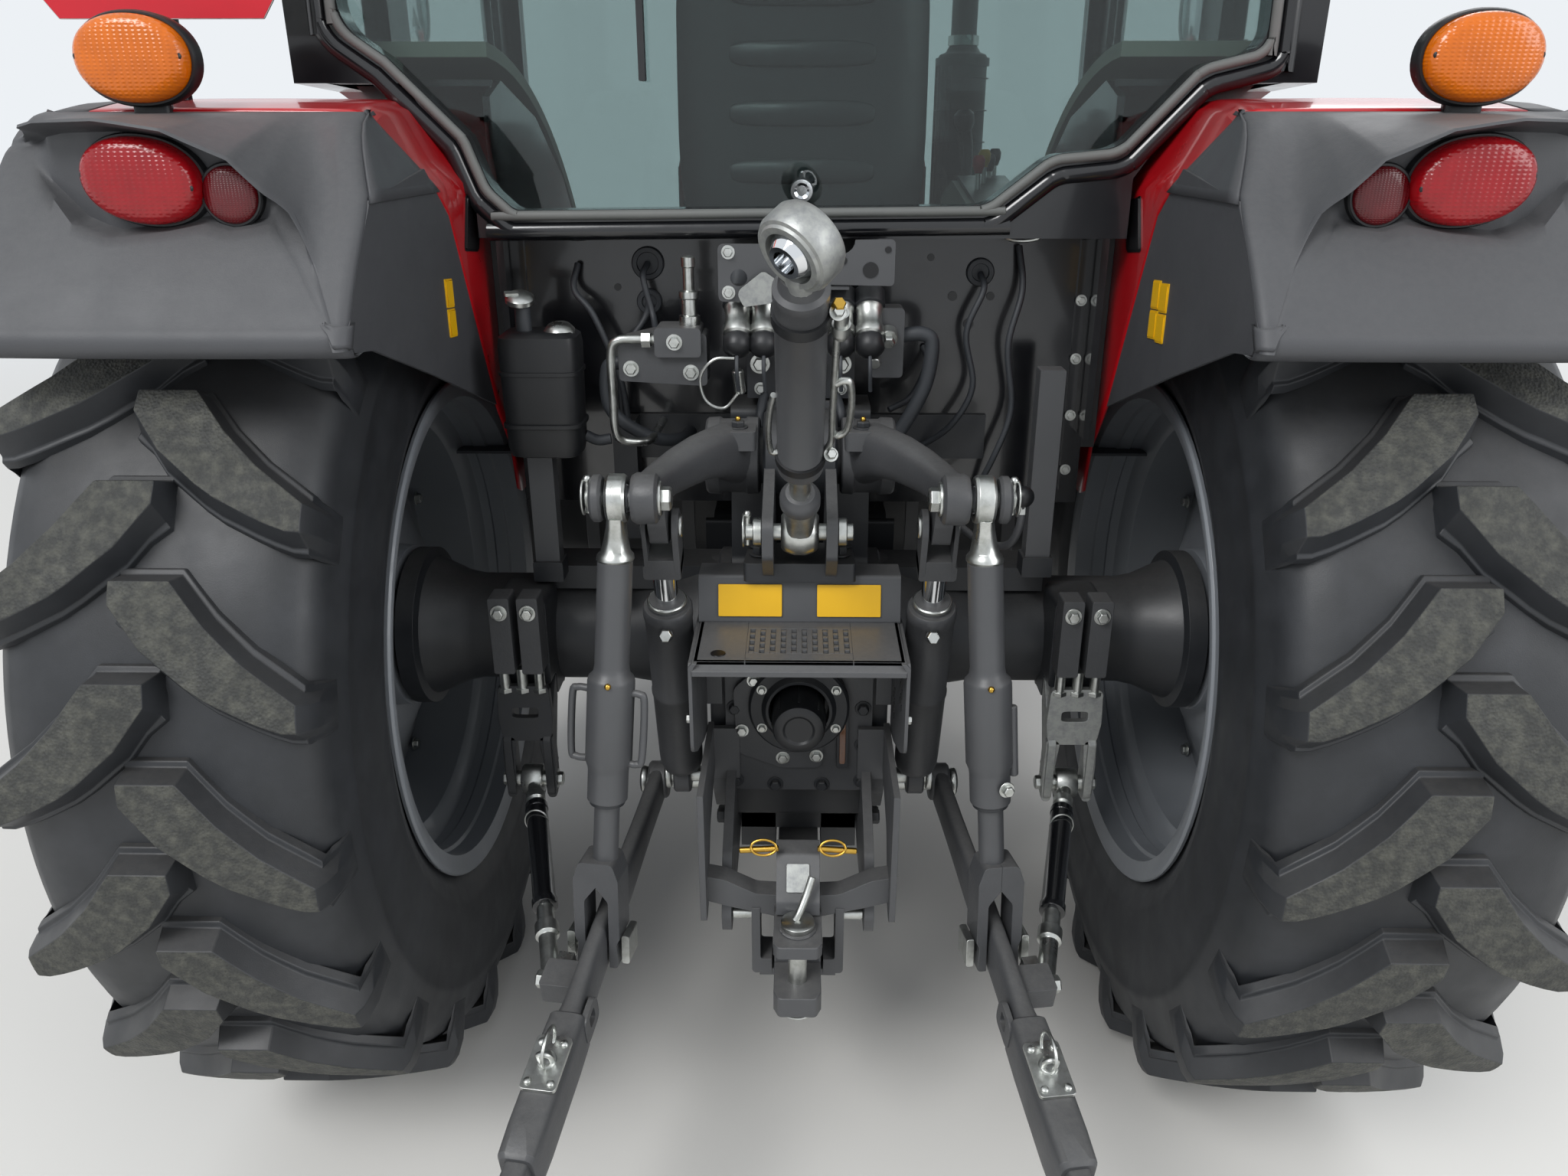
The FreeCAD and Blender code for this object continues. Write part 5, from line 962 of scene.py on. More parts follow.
        def worn(centre: Vector, normal: Vector) -> bool:
            """Whether a face lies on top of a lug."""
            out = Vector((0, centre.y - middle.y, centre.z - middle.z))
            return out.length > self.radius - 0.36 * self.lug and normal.dot(out.normalized()) > 0.8

        form.recoat(worn, Coat.SCUFFED_RUBBER)
        form.piece(f"{self.name}_tyre", self.body(), (f"{self.name}_tyre",), bevel=3.2, angle=40, segments=2)

    def rim(self) -> None:
        """Makes the rim: rolled flanges, stepped well, ribbed dish, nuts and the valve."""
        form = Form()
        half, seat, disc = self.rim_half, self.seat, self.disc
        place = self.place()
        loop = [(-half + 1, seat - 9), (-half - 5, seat + 8), (-half - 7.5, seat + 18), (-half - 7, seat + 24),
                (-half - 3, seat + 27), (-half + 3, seat + 25.5), (-half + 6.5, seat + 18), (-half + 8, seat + 2),
                (-half + 86, seat - 3), (-half + 100, seat - 26), (-half + 110, seat - 37), (half - 122, seat - 37),
                (half - 110, seat - 26), (half - 97, seat - 3), (half - 8, seat + 2), (half - 6.5, seat + 18),
                (half - 3, seat + 25.5), (half + 3, seat + 27), (half + 7, seat + 24), (half + 7.5, seat + 18),
                (half + 5, seat + 8), (half - 1, seat - 9), (half - 30, seat - 12), (half - 34, seat - 16),
                (half - 60, seat - 17), (half - 64, seat - 13), (half - 90, seat - 14), (half - 104, seat - 38),
                (half - 114, seat - 50), (disc + 104, seat - 51), (disc + 92, seat - 58), (disc + 74, seat * 0.76),
                (disc + 70, seat * 0.73), (disc + 42, seat * 0.60), (disc + 36, seat * 0.58),
                (disc + 15, seat * 0.49), (disc + 13, seat * 0.42), (disc + 13, seat * 0.20),
                (disc + 22, seat * 0.18), (disc + 24, 0.5), (disc - self.collar + 1, 0.5),
                (disc - self.collar + 1, seat * 0.345), (disc - 1, seat * 0.35), (disc - 1, seat * 0.44),
                (disc + 4, seat * 0.48), (disc + 27, seat * 0.58), (disc + 31, seat * 0.61), (disc + 59, seat * 0.74),
                (disc + 63, seat * 0.77), (disc + 76, seat - 54), (-half + 104, seat - 51), (-half + 96, seat - 42),
                (-half + 84, seat - 15), (-half + 66, seat - 13), (-half + 62, seat - 18), (-half + 38, seat - 17),
                (-half + 34, seat - 11), (-half + 14, seat - 10)]
        form.lathe(loop, Coat.RIM_PAINT, place, 80, closed=True)
        pitch_radius = seat * 0.27
        for a in turns(self.nuts):
            flat = place @ Vector((pitch_radius * math.cos(a), pitch_radius * math.sin(a), disc + 13))
            outward = Vector((self.side, 0, 0))
            form.lathe([(-2, 17), (3, 17), (5, 14)], Coat.RIM_PAINT, axes(flat, outward), 20)
            form.bolt(flat + outward * 3, outward, 27, Coat.ZINC, 20)
            form.rod(flat + outward * 20, flat + outward * 31, 8.5, Coat.ZINC, 14)
        for k in range(8):
            a = 2 * math.pi * (k + 0.5) / 8
            spoke = place @ Vector(((seat - 66) * math.cos(a), (seat - 66) * math.sin(a), disc + 74))
            form.bolt(spoke + Vector((-self.side * 12, 0, 0)), (-self.side, 0, 0), 17, Coat.ZINC, 9)
        a = math.radians(214 if self.side > 0 else -34)
        foot = Vector((self.side * (self.track / 2 - half + 74), self.ahead + (seat - 19) * math.cos(a),
                       self.radius + (seat - 19) * math.sin(a)))
        tip = foot + Vector((-self.side * 34, -22 * math.cos(a), -22 * math.sin(a)))
        form.rod(foot, foot.lerp(tip, 0.25), 11, Coat.SEAL)
        form.rod(foot.lerp(tip, 0.2), tip, 5.2, Coat.BRASS)
        form.rod(foot.lerp(tip, 0.82), tip + (tip - foot) * 0.15, 7.2, Coat.BLACK_PLASTIC)
        form.piece(f"{self.name}_rim", self.body(), (f"{self.name}_rim",), bevel=0.8, angle=32)

    def body(self) -> str:
        """The wheel's moving body."""
        end, side = self.name.split("_")
        return f"{end}_wheel_{side}"

    def build(self) -> None:
        """Makes the whole wheel."""
        self.tyre()
        self.rim()


@dataclass
class Wheels:
    """The four wheels: two sizes, mirrored."""

    rear_track: float = 1606.0
    front_track: float = 1660.0
    wheelbase: float = 2360.0
    dish_bolts: int = 8

    def build(self) -> None:
        """Makes all four."""
        for hand, side in SIDES:
            Wheel(name=f"rear_{hand}", side=side, track=self.rear_track, ahead=0, radius=789, width=430, seat=432,
                  rim_half=192, disc=-54, collar=30, lugs=20, lug=42, nuts=self.dish_bolts).build()
            Wheel(name=f"front_{hand}", side=side, track=self.front_track, ahead=self.wheelbase, radius=594,
                  width=344, seat=305, rim_half=158, disc=-30, collar=30, lugs=16, lug=34, nuts=self.dish_bolts,
                  lug_start=4.0).build()


@dataclass
class Fender:
    """One rear fender: the red shell, the dark cap with its lamp pod, and the blank patches.

    Distances across are positive away from the tractor's middle.
    """

    name: str
    side: int
    # The inner wall, the outer edge, where the cap joins the shell, and the shell's wall; then the height above
    # which the inner wall leans out, and by how much each millimetre
    wall: float = 5.0
    lean_from: float = 1570.0
    cap_lean: float = 0.42
    inner: float = 530.0
    outer: float = 1005.0
    join: float = -330.0
    crown: Sequence[Pair] = ((-630, 1400), (-600, 1446), (-575, 1480), (-540, 1520), (-500, 1560), (-465, 1594),
                             (-430, 1625), (-395, 1650), (-360, 1667), (-330, 1674), (-260, 1685), (-150, 1692),
                             (-50, 1695), (50, 1692), (150, 1685), (240, 1668), (315, 1642), (410, 1602), (500, 1550),
                             (580, 1495), (640, 1435), (705, 1367), (760, 1289), (805, 1214), (840, 1137),
                             (866, 1050), (880, 960))
    low: Sequence[Pair] = ((-341, 1671), (-158, 1531), (8, 1206), (94, 1103), (110, 1012), (300, 1012), (560, 1180),
                           (720, 1075), (880, 958))
    brow_height: Sequence[Pair] = ((545, 1432), (569, 1484), (607, 1561), (655, 1620), (728, 1651), (815, 1662),
                                   (896, 1660), (960, 1650), (1005, 1636))
    brow_reach: Sequence[Pair] = ((545, -600), (569, -574), (607, -556), (655, -551), (728, -554), (815, -548),
                                  (896, -530), (960, -490), (1005, -430))
    bowl_height: Sequence[Pair] = ((545, 1420), (600, 1500), (640, 1546), (660, 1541), (691, 1537), (720, 1545),
                                   (767, 1536), (833, 1529), (880, 1543), (925, 1580), (960, 1612), (1005, 1630))

    def crown_at(self, height: float) -> float:
        """Where the crown's rear slope stands at a height."""
        return between([(z, y) for y, z in self.crown[:12]], height)

    def edge(self, height: float, ahead: float) -> float:
        """How far out the inner face stands: it leans away beside the cab, less so behind it."""
        lean = between(((self.join, self.cap_lean), (-60, 0.693)), ahead)
        return self.inner + max(0.0, height - self.lean_from) * lean

    def shell(self) -> None:
        """Makes the red shell and its plastic flare."""
        form = Form()
        rings = []
        for y in spread(self.join, -60, 12) + spread(-40, 870, 44) + [879]:
            top, low = between(self.crown, y), between(self.low, y)
            low = min(low, top - 2)
            out = self.outer
            cut_in = self.edge(top, y)
            ring = [(out - 2, top - 30), (out, top - 22), (out - 1, top - 9), (out - 7, top - 2.5),
                    (out - 20, top - 0.5), (out - 56, top), (out - 58, top - 3), (out - 61, top - 3), (out - 63, top),
                    (out - 130, top + 1), (out - 220, top + 1), (cut_in + 60, top), (cut_in + 22, top - 1),
                    (cut_in + 8, top - 4), (cut_in + 1, top - 10)]
            for z in spread(max(top - 16, low + 1), low, 14):
                ring.append((self.edge(z, y), z))
            rings.append([Vector((self.side * x, y, z)) for x, z in ring])
        form.skin(rings, Coat.RED_ENAMEL, caps=False, around=False)
        form.recoat(lambda centre, normal: abs(centre.x) > self.outer - 59, Coat.GRAINED_PLASTIC)
        tie = self.side * (self.inner + 505) / 2
        form.block((tie - 12, tie + 12), (60, 300), (1120, 1560), Coat.BLACK_PLASTIC)
        wall = self.side * (self.inner - 1.2)
        patch = [(-98, 1474, 6), (-22, 1466, 6), (16, 1540, 6), (-62, 1556, 6)]
        form.prism(patch, min(wall, wall + self.side), max(wall, wall + self.side), Coat.BLACK_FILM_AND_HOLE_SHADE, SIDE)
        form.piece(self.name, "chassis", (self.name,), angle=30, sheet=self.wall)

    def column(self, across: float) -> list[Pair]:
        """The cap's section at one place across, from the lip's back up to the joint.

        Args:
            across: Distance from the tractor's middle.

        Returns:
            Points as (ahead, height).
        """
        bow = 5 * math.sin(math.pi * min(1.0, max(0.0, (across - 545) / 460)))
        brow, bowl = between(self.brow_height, across), between(self.bowl_height, across)
        jut = between(((560, 0.0), (625, 1.0), (930, 1.0), (1003, 0.0)), across)
        sunk = between(((632, 0.0), (652, 1.0), (925, 1.0), (972, 0.0)), across)
        bowl = min(bowl, brow - 22)
        tip = self.crown_at(brow) * (1 - jut) + between(self.brow_reach, across) * jut
        line = [(-588, 1400), (-600 - bow, 1398.5), (-611 - bow, 1402), (-617 - bow, 1414), (-615 - bow, 1428),
                (-609 - bow, 1434)]
        for z in spread(1440, bowl, 9):
            line.append((self.crown_at(z) - bow, z))
        edge = self.crown_at(bowl) - bow
        deep = (-497 if across < 850 else between(((850, -497), (975, -440)), across))

        def floor(z: float) -> float:
            """The pod's floor behind the lamps, or the crown itself outside the pod."""
            return self.crown_at(z) * (1 - sunk) + deep * sunk

        line += [(edge * 0.6 + floor(bowl + 3) * 0.4, bowl + 1.5), (edge * 0.2 + floor(bowl + 6) * 0.8, bowl + 5)]
        for z in spread(bowl + 9, brow - 13, 6):
            line.append((floor(z), z))
        line += [(floor(brow - 10) * 0.7 + tip * 0.3, brow - 8), (floor(brow - 8) * 0.25 + tip * 0.75, brow - 5),
                 (tip, brow - 2), (tip + 2.5, brow + 1.2)]
        for u in (0.06, 0.16, 0.3, 0.45, 0.6, 0.74, 0.87, 0.95):
            z = brow + (1672 - brow) * u
            straight = tip + (self.join - tip) * (u ** 1.15)
            line.append((self.crown_at(z) * (1 - jut) + straight * jut, z))
        line += [(self.join, 1673), (self.join + 4, 1668)]
        return line

    def cap(self, form: Form) -> None:
        """Moulds the rear cap with its brow, lamp bowl, lip and inner face.

        Args:
            form: The form of both caps.
        """
        places = [(545, 0.0), (552, 0.0)] + [(x, 0.0) for x in spread(560, 996, 84)]
        start = [(531.0, 16.0), (531.6, 9.0), (534.5, 4.0), (539.5, 1.0)]
        end = [(1001.5, 1.5), (1004.0, 6.0), (1004.5, 14.0), (1004.0, 34.0)]
        rings = []
        for across, back in start + places + end:
            lean = self.cap_lean if across < 546 else self.cap_lean * max(0.0, 1 - (across - 545) / 240)
            rings.append([Vector((self.side * (across + max(0.0, z - self.lean_from) * lean), y + back, z))
                          for y, z in self.column(max(545, across))])
        form.skin(rings, Coat.GRAINED_PLASTIC, caps=False, around=False)
        face = [(-592, 1404), (-606, 1430)] + [(y + 12, z) for y, z in self.crown[1:9]]
        face = [(y, z) for y, z in face if z < 1572] + [(-480, 1570), (-251, 1600), (-158, 1531), (8, 1206),
                                                        (-300, 1318), (-530, 1396)]
        low, high = span(self.side, 531, 536)
        form.prism(face, low, high, Coat.GRAINED_PLASTIC, SIDE)
        slant = []
        for u in spread(0, 1, 8):
            z = 1566 + 108 * u
            slant.append([Vector((self.side * (531 + max(0.0, z - self.lean_from) * self.cap_lean), y, z))
                          for y in spread(self.crown_at(z) + 10, between(((1566, -198), (1671, -338)), z), 8)])
        form.skin(slant, Coat.GRAINED_PLASTIC, caps=False, around=False)
        plate = self.side * 529.6
        low, high = sorted((plate, plate + self.side * 1.6))
        for z in (1358, 1402):
            for y in (-217, -256) if self.side > 0 else (-217,):
                form.prism([(y, z + 1, 2), (y + 36, z - 2, 2), (y + 36, z + 40, 2), (y, z + 43, 2)], low, high,
                           Coat.YELLOW_FILM, SIDE)


@dataclass
class Fenders:
    """Both fenders with their caps."""

    cap_wall: float = 4.0

    def build(self) -> None:
        """Makes the shells one by one and the caps as one piece."""
        caps = Form()
        for side_name, side in SIDES:
            fender = Fender(f"fender_{side_name}", side)
            fender.shell()
            fender.cap(caps)
        caps.piece("fender_caps", "chassis", ("fender_caps",), angle=48, sheet=self.cap_wall)


@dataclass
class Lamps:
    """The rear lamps: red ovals and round reflectors in the pods, amber ovals on their stalks."""

    red_at: Point = (789.0, -500.0, 1594.0)
    reflector_at: Point = (688.0, -500.0, 1578.0)
    amber_at: Point = (853.0, -352.0, 1735.0)

    @staticmethod
    def lens(form: Form, place: Matrix, wide: float, high: float, deep: float, coat: Coat) -> None:
        """Moulds one domed oval lens on its rim, standing along the frame's z.

        Args:
            form: The lamps' form.
            place: The lens's frame.
            wide: Half its width.
            high: Half its height.
            deep: How far it stands out.
            coat: The lens's finish.
        """
        def ring(share: float, out: float) -> list[Vector]:
            """One oval of the lens."""
            return [place @ Vector((a, b, out)) for a, b in oval(wide * share, high * share, 56, 2.15)]

        form.skin([ring(1.09, -14), ring(1.1, 2), ring(1.06, 7), ring(1.015, 7), ring(1.01, 3)], Coat.BLACK_PLASTIC)
        form.skin([ring(1.0, 0), ring(1.0, deep * 0.5), ring(0.975, deep * 0.7), ring(0.9, deep * 0.87),
                   ring(0.74, deep * 0.96), ring(0.45, deep), ring(0.12, deep * 1.01)], coat)

    def red(self) -> None:
        """Makes the red lamps and reflectors."""
        form = Form()
        for _, side in SIDES:
            x, y, z = self.red_at
            tilt = Matrix.Rotation(math.radians(7) * -side, 4, (0, 1, 0))
            place = Matrix.Translation((side * x, y, z)) @ tilt @ REAR
            self.lens(form, place, 70, 49, 34, Coat.RED_LENS)
            for end in (-1, 1):
                hole = place @ Vector((end * 62, 0, 22))
                form.rod(hole, hole + Vector((0, -6, 0)), 5, Coat.BLACK_PLASTIC, 16)
            x, y, z = self.reflector_at
            spot = Matrix.Translation((side * x, y, z)) @ REAR
            form.lathe([(-8, 38), (6, 38), (8, 36), (8, 34)], Coat.BLACK_PLASTIC, spot, 48)
            form.lathe([(0, 33.5), (9, 33.5), (12, 31), (14, 20), (14.5, 4)], Coat.DARK_RED_LENS, spot, 48)
        form.piece("tail_lamps", "chassis", ("tail_lamps",), angle=40)

    def amber(self) -> None:
        """Makes the amber lamps on their stalks."""
        form = Form()
        for _, side in SIDES:
            x, y, z = self.amber_at
            place = Matrix.Translation((side * x, y, z)) @ REAR
            self.lens(form, place, 72, 52, 30, Coat.AMBER_LENS)
            back = [[place @ Vector((a, b, out)) for a, b in oval(72 * s, 52 * s, 56, 2.15)]
                    for s, out in ((1.09, -8), (1.02, -24), (0.8, -32), (0.3, -34))]
            form.skin(back, Coat.BLACK_PLASTIC)
            for end in (-1, 1):
                hole = place @ Vector((end * 64, 2, 18))
                form.rod(hole, hole + Vector((0, -7, 0)), 5, Coat.BLACK_PLASTIC, 16)
            form.prism([(-26, -12, 8), (26, -12, 8), (20, 12, 8), (-20, 12, 8)], 1668, 1686, Coat.BLACK_PLASTIC,
                       Matrix.Translation((side * x, y + 20, 0)))
            form.rod((side * x, y + 18, 1680), (side * x, y + 18, 1712), 15, Coat.SEAL)
        form.piece("amber_lamps", "chassis", ("amber_lamps",), angle=40)

    def build(self) -> None:
        """Makes all the rear lamps."""
        self.red()
        self.amber()
def ray_out(loop: Sequence[Pair], centre: Pair, angle: float) -> Pair:
    """Finds where a ray from the centre leaves a flat loop.

    Args:
        loop: The loop's points.
        centre: Where the ray starts, inside the loop.
        angle: Its direction in radians.

    Returns:
        The point on the loop.
    """
    way = (math.cos(angle), math.sin(angle))
    best = 0.0
    for (ax, ay), (bx, by) in zip(loop, [*loop[1:], loop[0]]):
        ex, ey = bx - ax, by - ay
        cross = way[0] * ey - way[1] * ex
        if abs(cross) < 1e-9:
            continue
        px, py = ax - centre[0], ay - centre[1]
        reach = (px * ey - py * ex) / cross
        part = (px * way[1] - py * way[0]) / cross
        if reach > 0 and -1e-6 <= part <= 1 + 1e-6:
            best = max(best, reach)
    return centre[0] + way[0] * best, centre[1] + way[1] * best


def pierced(form: Form, outline: Sequence[tuple], hole: Sequence[Pair], low: float, high: float, coat: Coat,
            place: Matrix = PLAN) -> None:
    """Raises a flat plate with one opening.

    Args:
        form: The form that it joins.
        outline: The plate's corners, with radii where they're rounded.
        hole: The opening's points.
        low: Where the plate starts along the frame's z.
        high: Where it ends.
        coat: Its finish.
        place: Its frame.
    """
    loop = corner_arcs(outline)
    centre = (sum(p[0] for p in hole) / len(hole), sum(p[1] for p in hole) / len(hole))
    angles = sorted({round(math.atan2(b - centre[1], a - centre[0]), 4) for a, b in [*loop, *hole]})
    outer = [ray_out(loop, centre, a) for a in angles]
    inner = [ray_out(hole, centre, a) for a in angles]
    form.skin([[place @ Vector((*p, h)) for p in ring]
               for ring, h in ((inner, low), (outer, low), (outer, high), (inner, high))], coat, closed=True)


def slot_hole(a: float, b: float, wide: float, high: float, count: int = 24) -> list[Pair]:
    """A rounded slot's points about (a, b)."""
    return [(a + x, b + y) for x, y in oval(wide / 2, high / 2, count, 5.0)]


def bar_ring(centre: Vector, side: Vector, up: Vector, wide: float, high: float, power: float = 3.5,
             count: int = 24) -> list[Vector]:
    """One section of a forged bar: a rounded box about a centre."""
    return [centre + side * a + up * b for a, b in oval(wide, high, count, power)]


def lynch_pin(form: Form, centre: Point, side: int) -> None:
    """Hangs a spring ring pin beside a pin's end.

    Args:
        form: The form that it joins.
        centre: Where it crosses the pin.
        side: Which way its ring stands off, 1 or -1.
    """
    x, y, z = centre
    form.rod((x, y, z - 22), (x, y, z + 26), 4.2, Coat.ZINC, 12)
    form.ball((x, y, z + 27), 6.5, Coat.ZINC, 12)
    ring = [(x + side * 6, y + 21 * math.cos(2 * math.pi * k / 12), z + 2 + 24 * math.sin(2 * math.pi * k / 12))
            for k in range(12)]
    form.tube(ring, 1.9, Coat.ZINC, 8, 3, ring=True)


@dataclass
class LiftArms:
    """The rockshaft and its two cast arms, which carry the lift rods outside and the cylinders inside."""

    # The rockshaft's middle and the lift rods' pins, as (ahead, height)
    shaft: Pair = (-170.0, 1165.0)
    tip: Pair = (-450.0, 1180.0)

    def arm(self, form: Form, side: int) -> None:
        """Casts one arm.

        Args:
            form: The form of both arms.
            side: 1 on the right, -1 on the left.
        """
        y, z = self.shaft
        hub = axes((side * 62, y, z), (side, 0, 0))
        form.lathe([(2, 45), (2, 57), (5, 61), (22, 62), (26, 59), (62, 59), (66, 62), (84, 61), (88, 57), (88, 46)],
                   Coat.CAST_PAINT, hub, 40)
        form.lathe([(86, 44), (91, 42), (93, 30), (93, 2)], Coat.DARK_PAINT, hub, 32)
        path = [((100, -182, 1170), 40, 52), ((112, -222, 1186), 35, 45), ((130, -262, 1194), 32, 38),
                ((152, -300, 1196), 29, 34), ((175, -338, 1192), 27, 31), ((195, -375, 1187), 25, 27),
                ((207, -410, 1183), 24, 27), ((213, -440, 1180), 21, 31), ((214, -458, 1180), 20, 30),
                ((214, -474, 1180), 17, 20)]
        rings = []
        for k, (centre, wide, high) in enumerate(path):
            ahead = Vector(path[min(k + 1, len(path) - 1)][0]) - Vector(path[max(k - 1, 0)][0])
            across = Vector((0, 0, 1)).cross(ahead).normalized()
            up = ahead.normalized().cross(across)
            rings.append([Vector((side * p.x, p.y, p.z))
                          for p in bar_ring(Vector(centre), across, up, wide, high, 2.5, 28)])
        form.skin(rings, Coat.CAST_PAINT)
        low, high = span(side, 189.5, 216.5)
        form.prism([(-322, 1198), (-346, 1140, 20), (-366, 1096, 16), (-402, 1094, 18), (-424, 1130, 12),
                    (-440, 1176)], low, high, Coat.CAST_PAINT, SIDE)
        form.lathe([(0, 30), (4, 35), (30, 36), (37, 32)], Coat.CAST_PAINT, axes((side * 194, *self.tip),
                                                                                 (side, 0, 0)), 32)
        form.lathe([(0, 15), (0, 29), (4, 33), (13, 33), (17, 28), (17, 15)], Coat.CAST_PAINT,
                   axes((side * 271, *self.tip), (side, 0, 0)), 32)
        form.rod((side * 180, *self.tip), (side * 296, *self.tip), 13.6, Coat.ZINC, 24)
        form.bolt((side * 194, *self.tip), (-side, 0, 0), 30, Coat.ZINC, 14)
        form.lathe([(0, 19), (3, 20), (4, 17)], Coat.ZINC, axes((side * 288, *self.tip), (side, 0, 0)), 20)
        lynch_pin(form, (side * 292, *self.tip), side)
        form.prism(panel((side * 96 - 28, side * 96 + 28), (-262, -204), 8), 1196, 1226, Coat.CAST_PAINT)
        form.bolt((side * 96, -233, 1226), (0, 0, 1), 19, Coat.DARK_PAINT, 9)
        form.ball((side * 96, -233, 1240), 4.5, Coat.BRASS, 10)

    def build(self) -> None:
        """Makes both arms with the shaft between them."""
        form = Form()
        for _, side in SIDES:
            self.arm(form, side)
        form.rod((-80, *self.shaft), (80, *self.shaft), 45, Coat.DARK_PAINT, 40)
        form.piece("lift_arms", "lift_arms", ("lift_arms",), bevel=1.6, angle=38)


@dataclass
class LiftRod:
    """One lift rod: zinc ball eye, tube, adjusting sleeve and slotted yoke over the lower link."""

    name: str
    side: int
    # The ball's middle and the lower link's pin on the right, and the yoke's turn and tilt in degrees
    top: Point = (252.0, -450.0, 1180.0)
    low: Point = (302.0, -520.0, 487.0)
    splay: float = 8.13
    tilt: float = 5.77

    def build(self) -> None:
        """Makes the rod."""
        form = Form()
        s = self.side
        top, low = mirror(self.top, s), mirror(self.low, s)
        way = (low - top).normalized()
        across = axes(top - Vector((15, 0, 0)), (1, 0, 0))
        form.lathe([(1, 22), (0, 26), (1, 31), (5, 34), (25, 34), (29, 31), (30, 26), (29, 22)], Coat.ZINC, across,
                   40, closed=True)
        form.lathe([(-3, 13.8), (-3, 17), (1, 20), (6, 22.2), (15, 23), (24, 22.2), (29, 20), (33, 17), (33, 13.8)],
                   Coat.CHROME, across, 36, closed=True)
        side_way = Vector((1, 0, 0))
        deep = way.cross(side_way).normalized()
        form.skin([bar_ring(top + way * d, side_way, deep, a, b, p) for d, a, b, p in
                   ((26, 13, 24, 3), (40, 14, 21, 2.6), (58, 17, 20, 2.2), (74, 21, 21, 2), (80, 26, 26, 2),
                    (86, 27, 27, 2), (90, 24, 24, 2))], Coat.ZINC)
        lathe_at = axes(top, way)
        form.lathe([(88, 20), (89, 25), (244, 25), (256, 27), (262, 33), (268, 34.5), (392, 34.5), (402, 31),
                    (410, 30), (455, 30), (458, 24)], Coat.PLATE_PAINT, lathe_at, 40)
        form.lathe([(452, 22), (452, 26.5), (462, 26.5), (464, 22)], Coat.DARK_PAINT, lathe_at, 32)
        form.lathe([(460, 19), (560, 19)], Coat.PLATE_PAINT, lathe_at, 28)
        if s < 0:
            for hand, reach in ((1, 52), (-1, 60)):
                a, b = top + way * 285, top + way * 395
                out = Vector((hand, -0.25 * hand, 0)).normalized()
                form.tube([a + out * 30, a + out * (reach - 8), a + out * reach + way * 12,
                           b + out * reach - way * 12, b + out * (reach - 8), b + out * 30], 5.5, Coat.PLATE_PAINT,
                          12, 6)
        else:
            a = top + way * 300
            form.rod(a + Vector((34, -6, 0)), a + way * 110 + Vector((34, -6, 0)), 7, Coat.PLATE_PAINT, 16)
            form.bolt(a + way * 120 + Vector((20, -30, 0)), (0.3, -1, 0.1), 15, Coat.ZINC, 9)
        form.ball(top + way * 262 + Vector((0, -35, 0)), 5, Coat.BRASS, 12)
        place = (Matrix.Translation(low) @ Matrix.Rotation(math.radians(s * self.splay), 4, "Z")
                 @ Matrix.Rotation(math.radians(-self.tilt), 4, "X") @ REAR)
        for hand in (-1, 1):
            line = [(hand * 18.5, -30), (hand * 18.5, 82, 12), (0, 106), (0, 146), (hand * 26, 146, 10),
                    (hand * 35, 118, 12), (hand * 35, 20), (hand * 30, 10, 8), (hand * 33, -30, 10)]
            form.prism(line, -27, 27, Coat.CAST_PAINT, place)
            start = place @ Vector((hand * 34, 0, 0))
            end = place @ Vector((hand * 46, 0, 0))
            form.rod(start, end, 13, Coat.ZINC)
            block = panel((hand * 37, hand * 49), (-23, 24), 4)
            form.prism(block, -22, 22, Coat.ZINC, place)
        form.piece(self.name, self.name, (self.name,), bevel=1.4, angle=36)


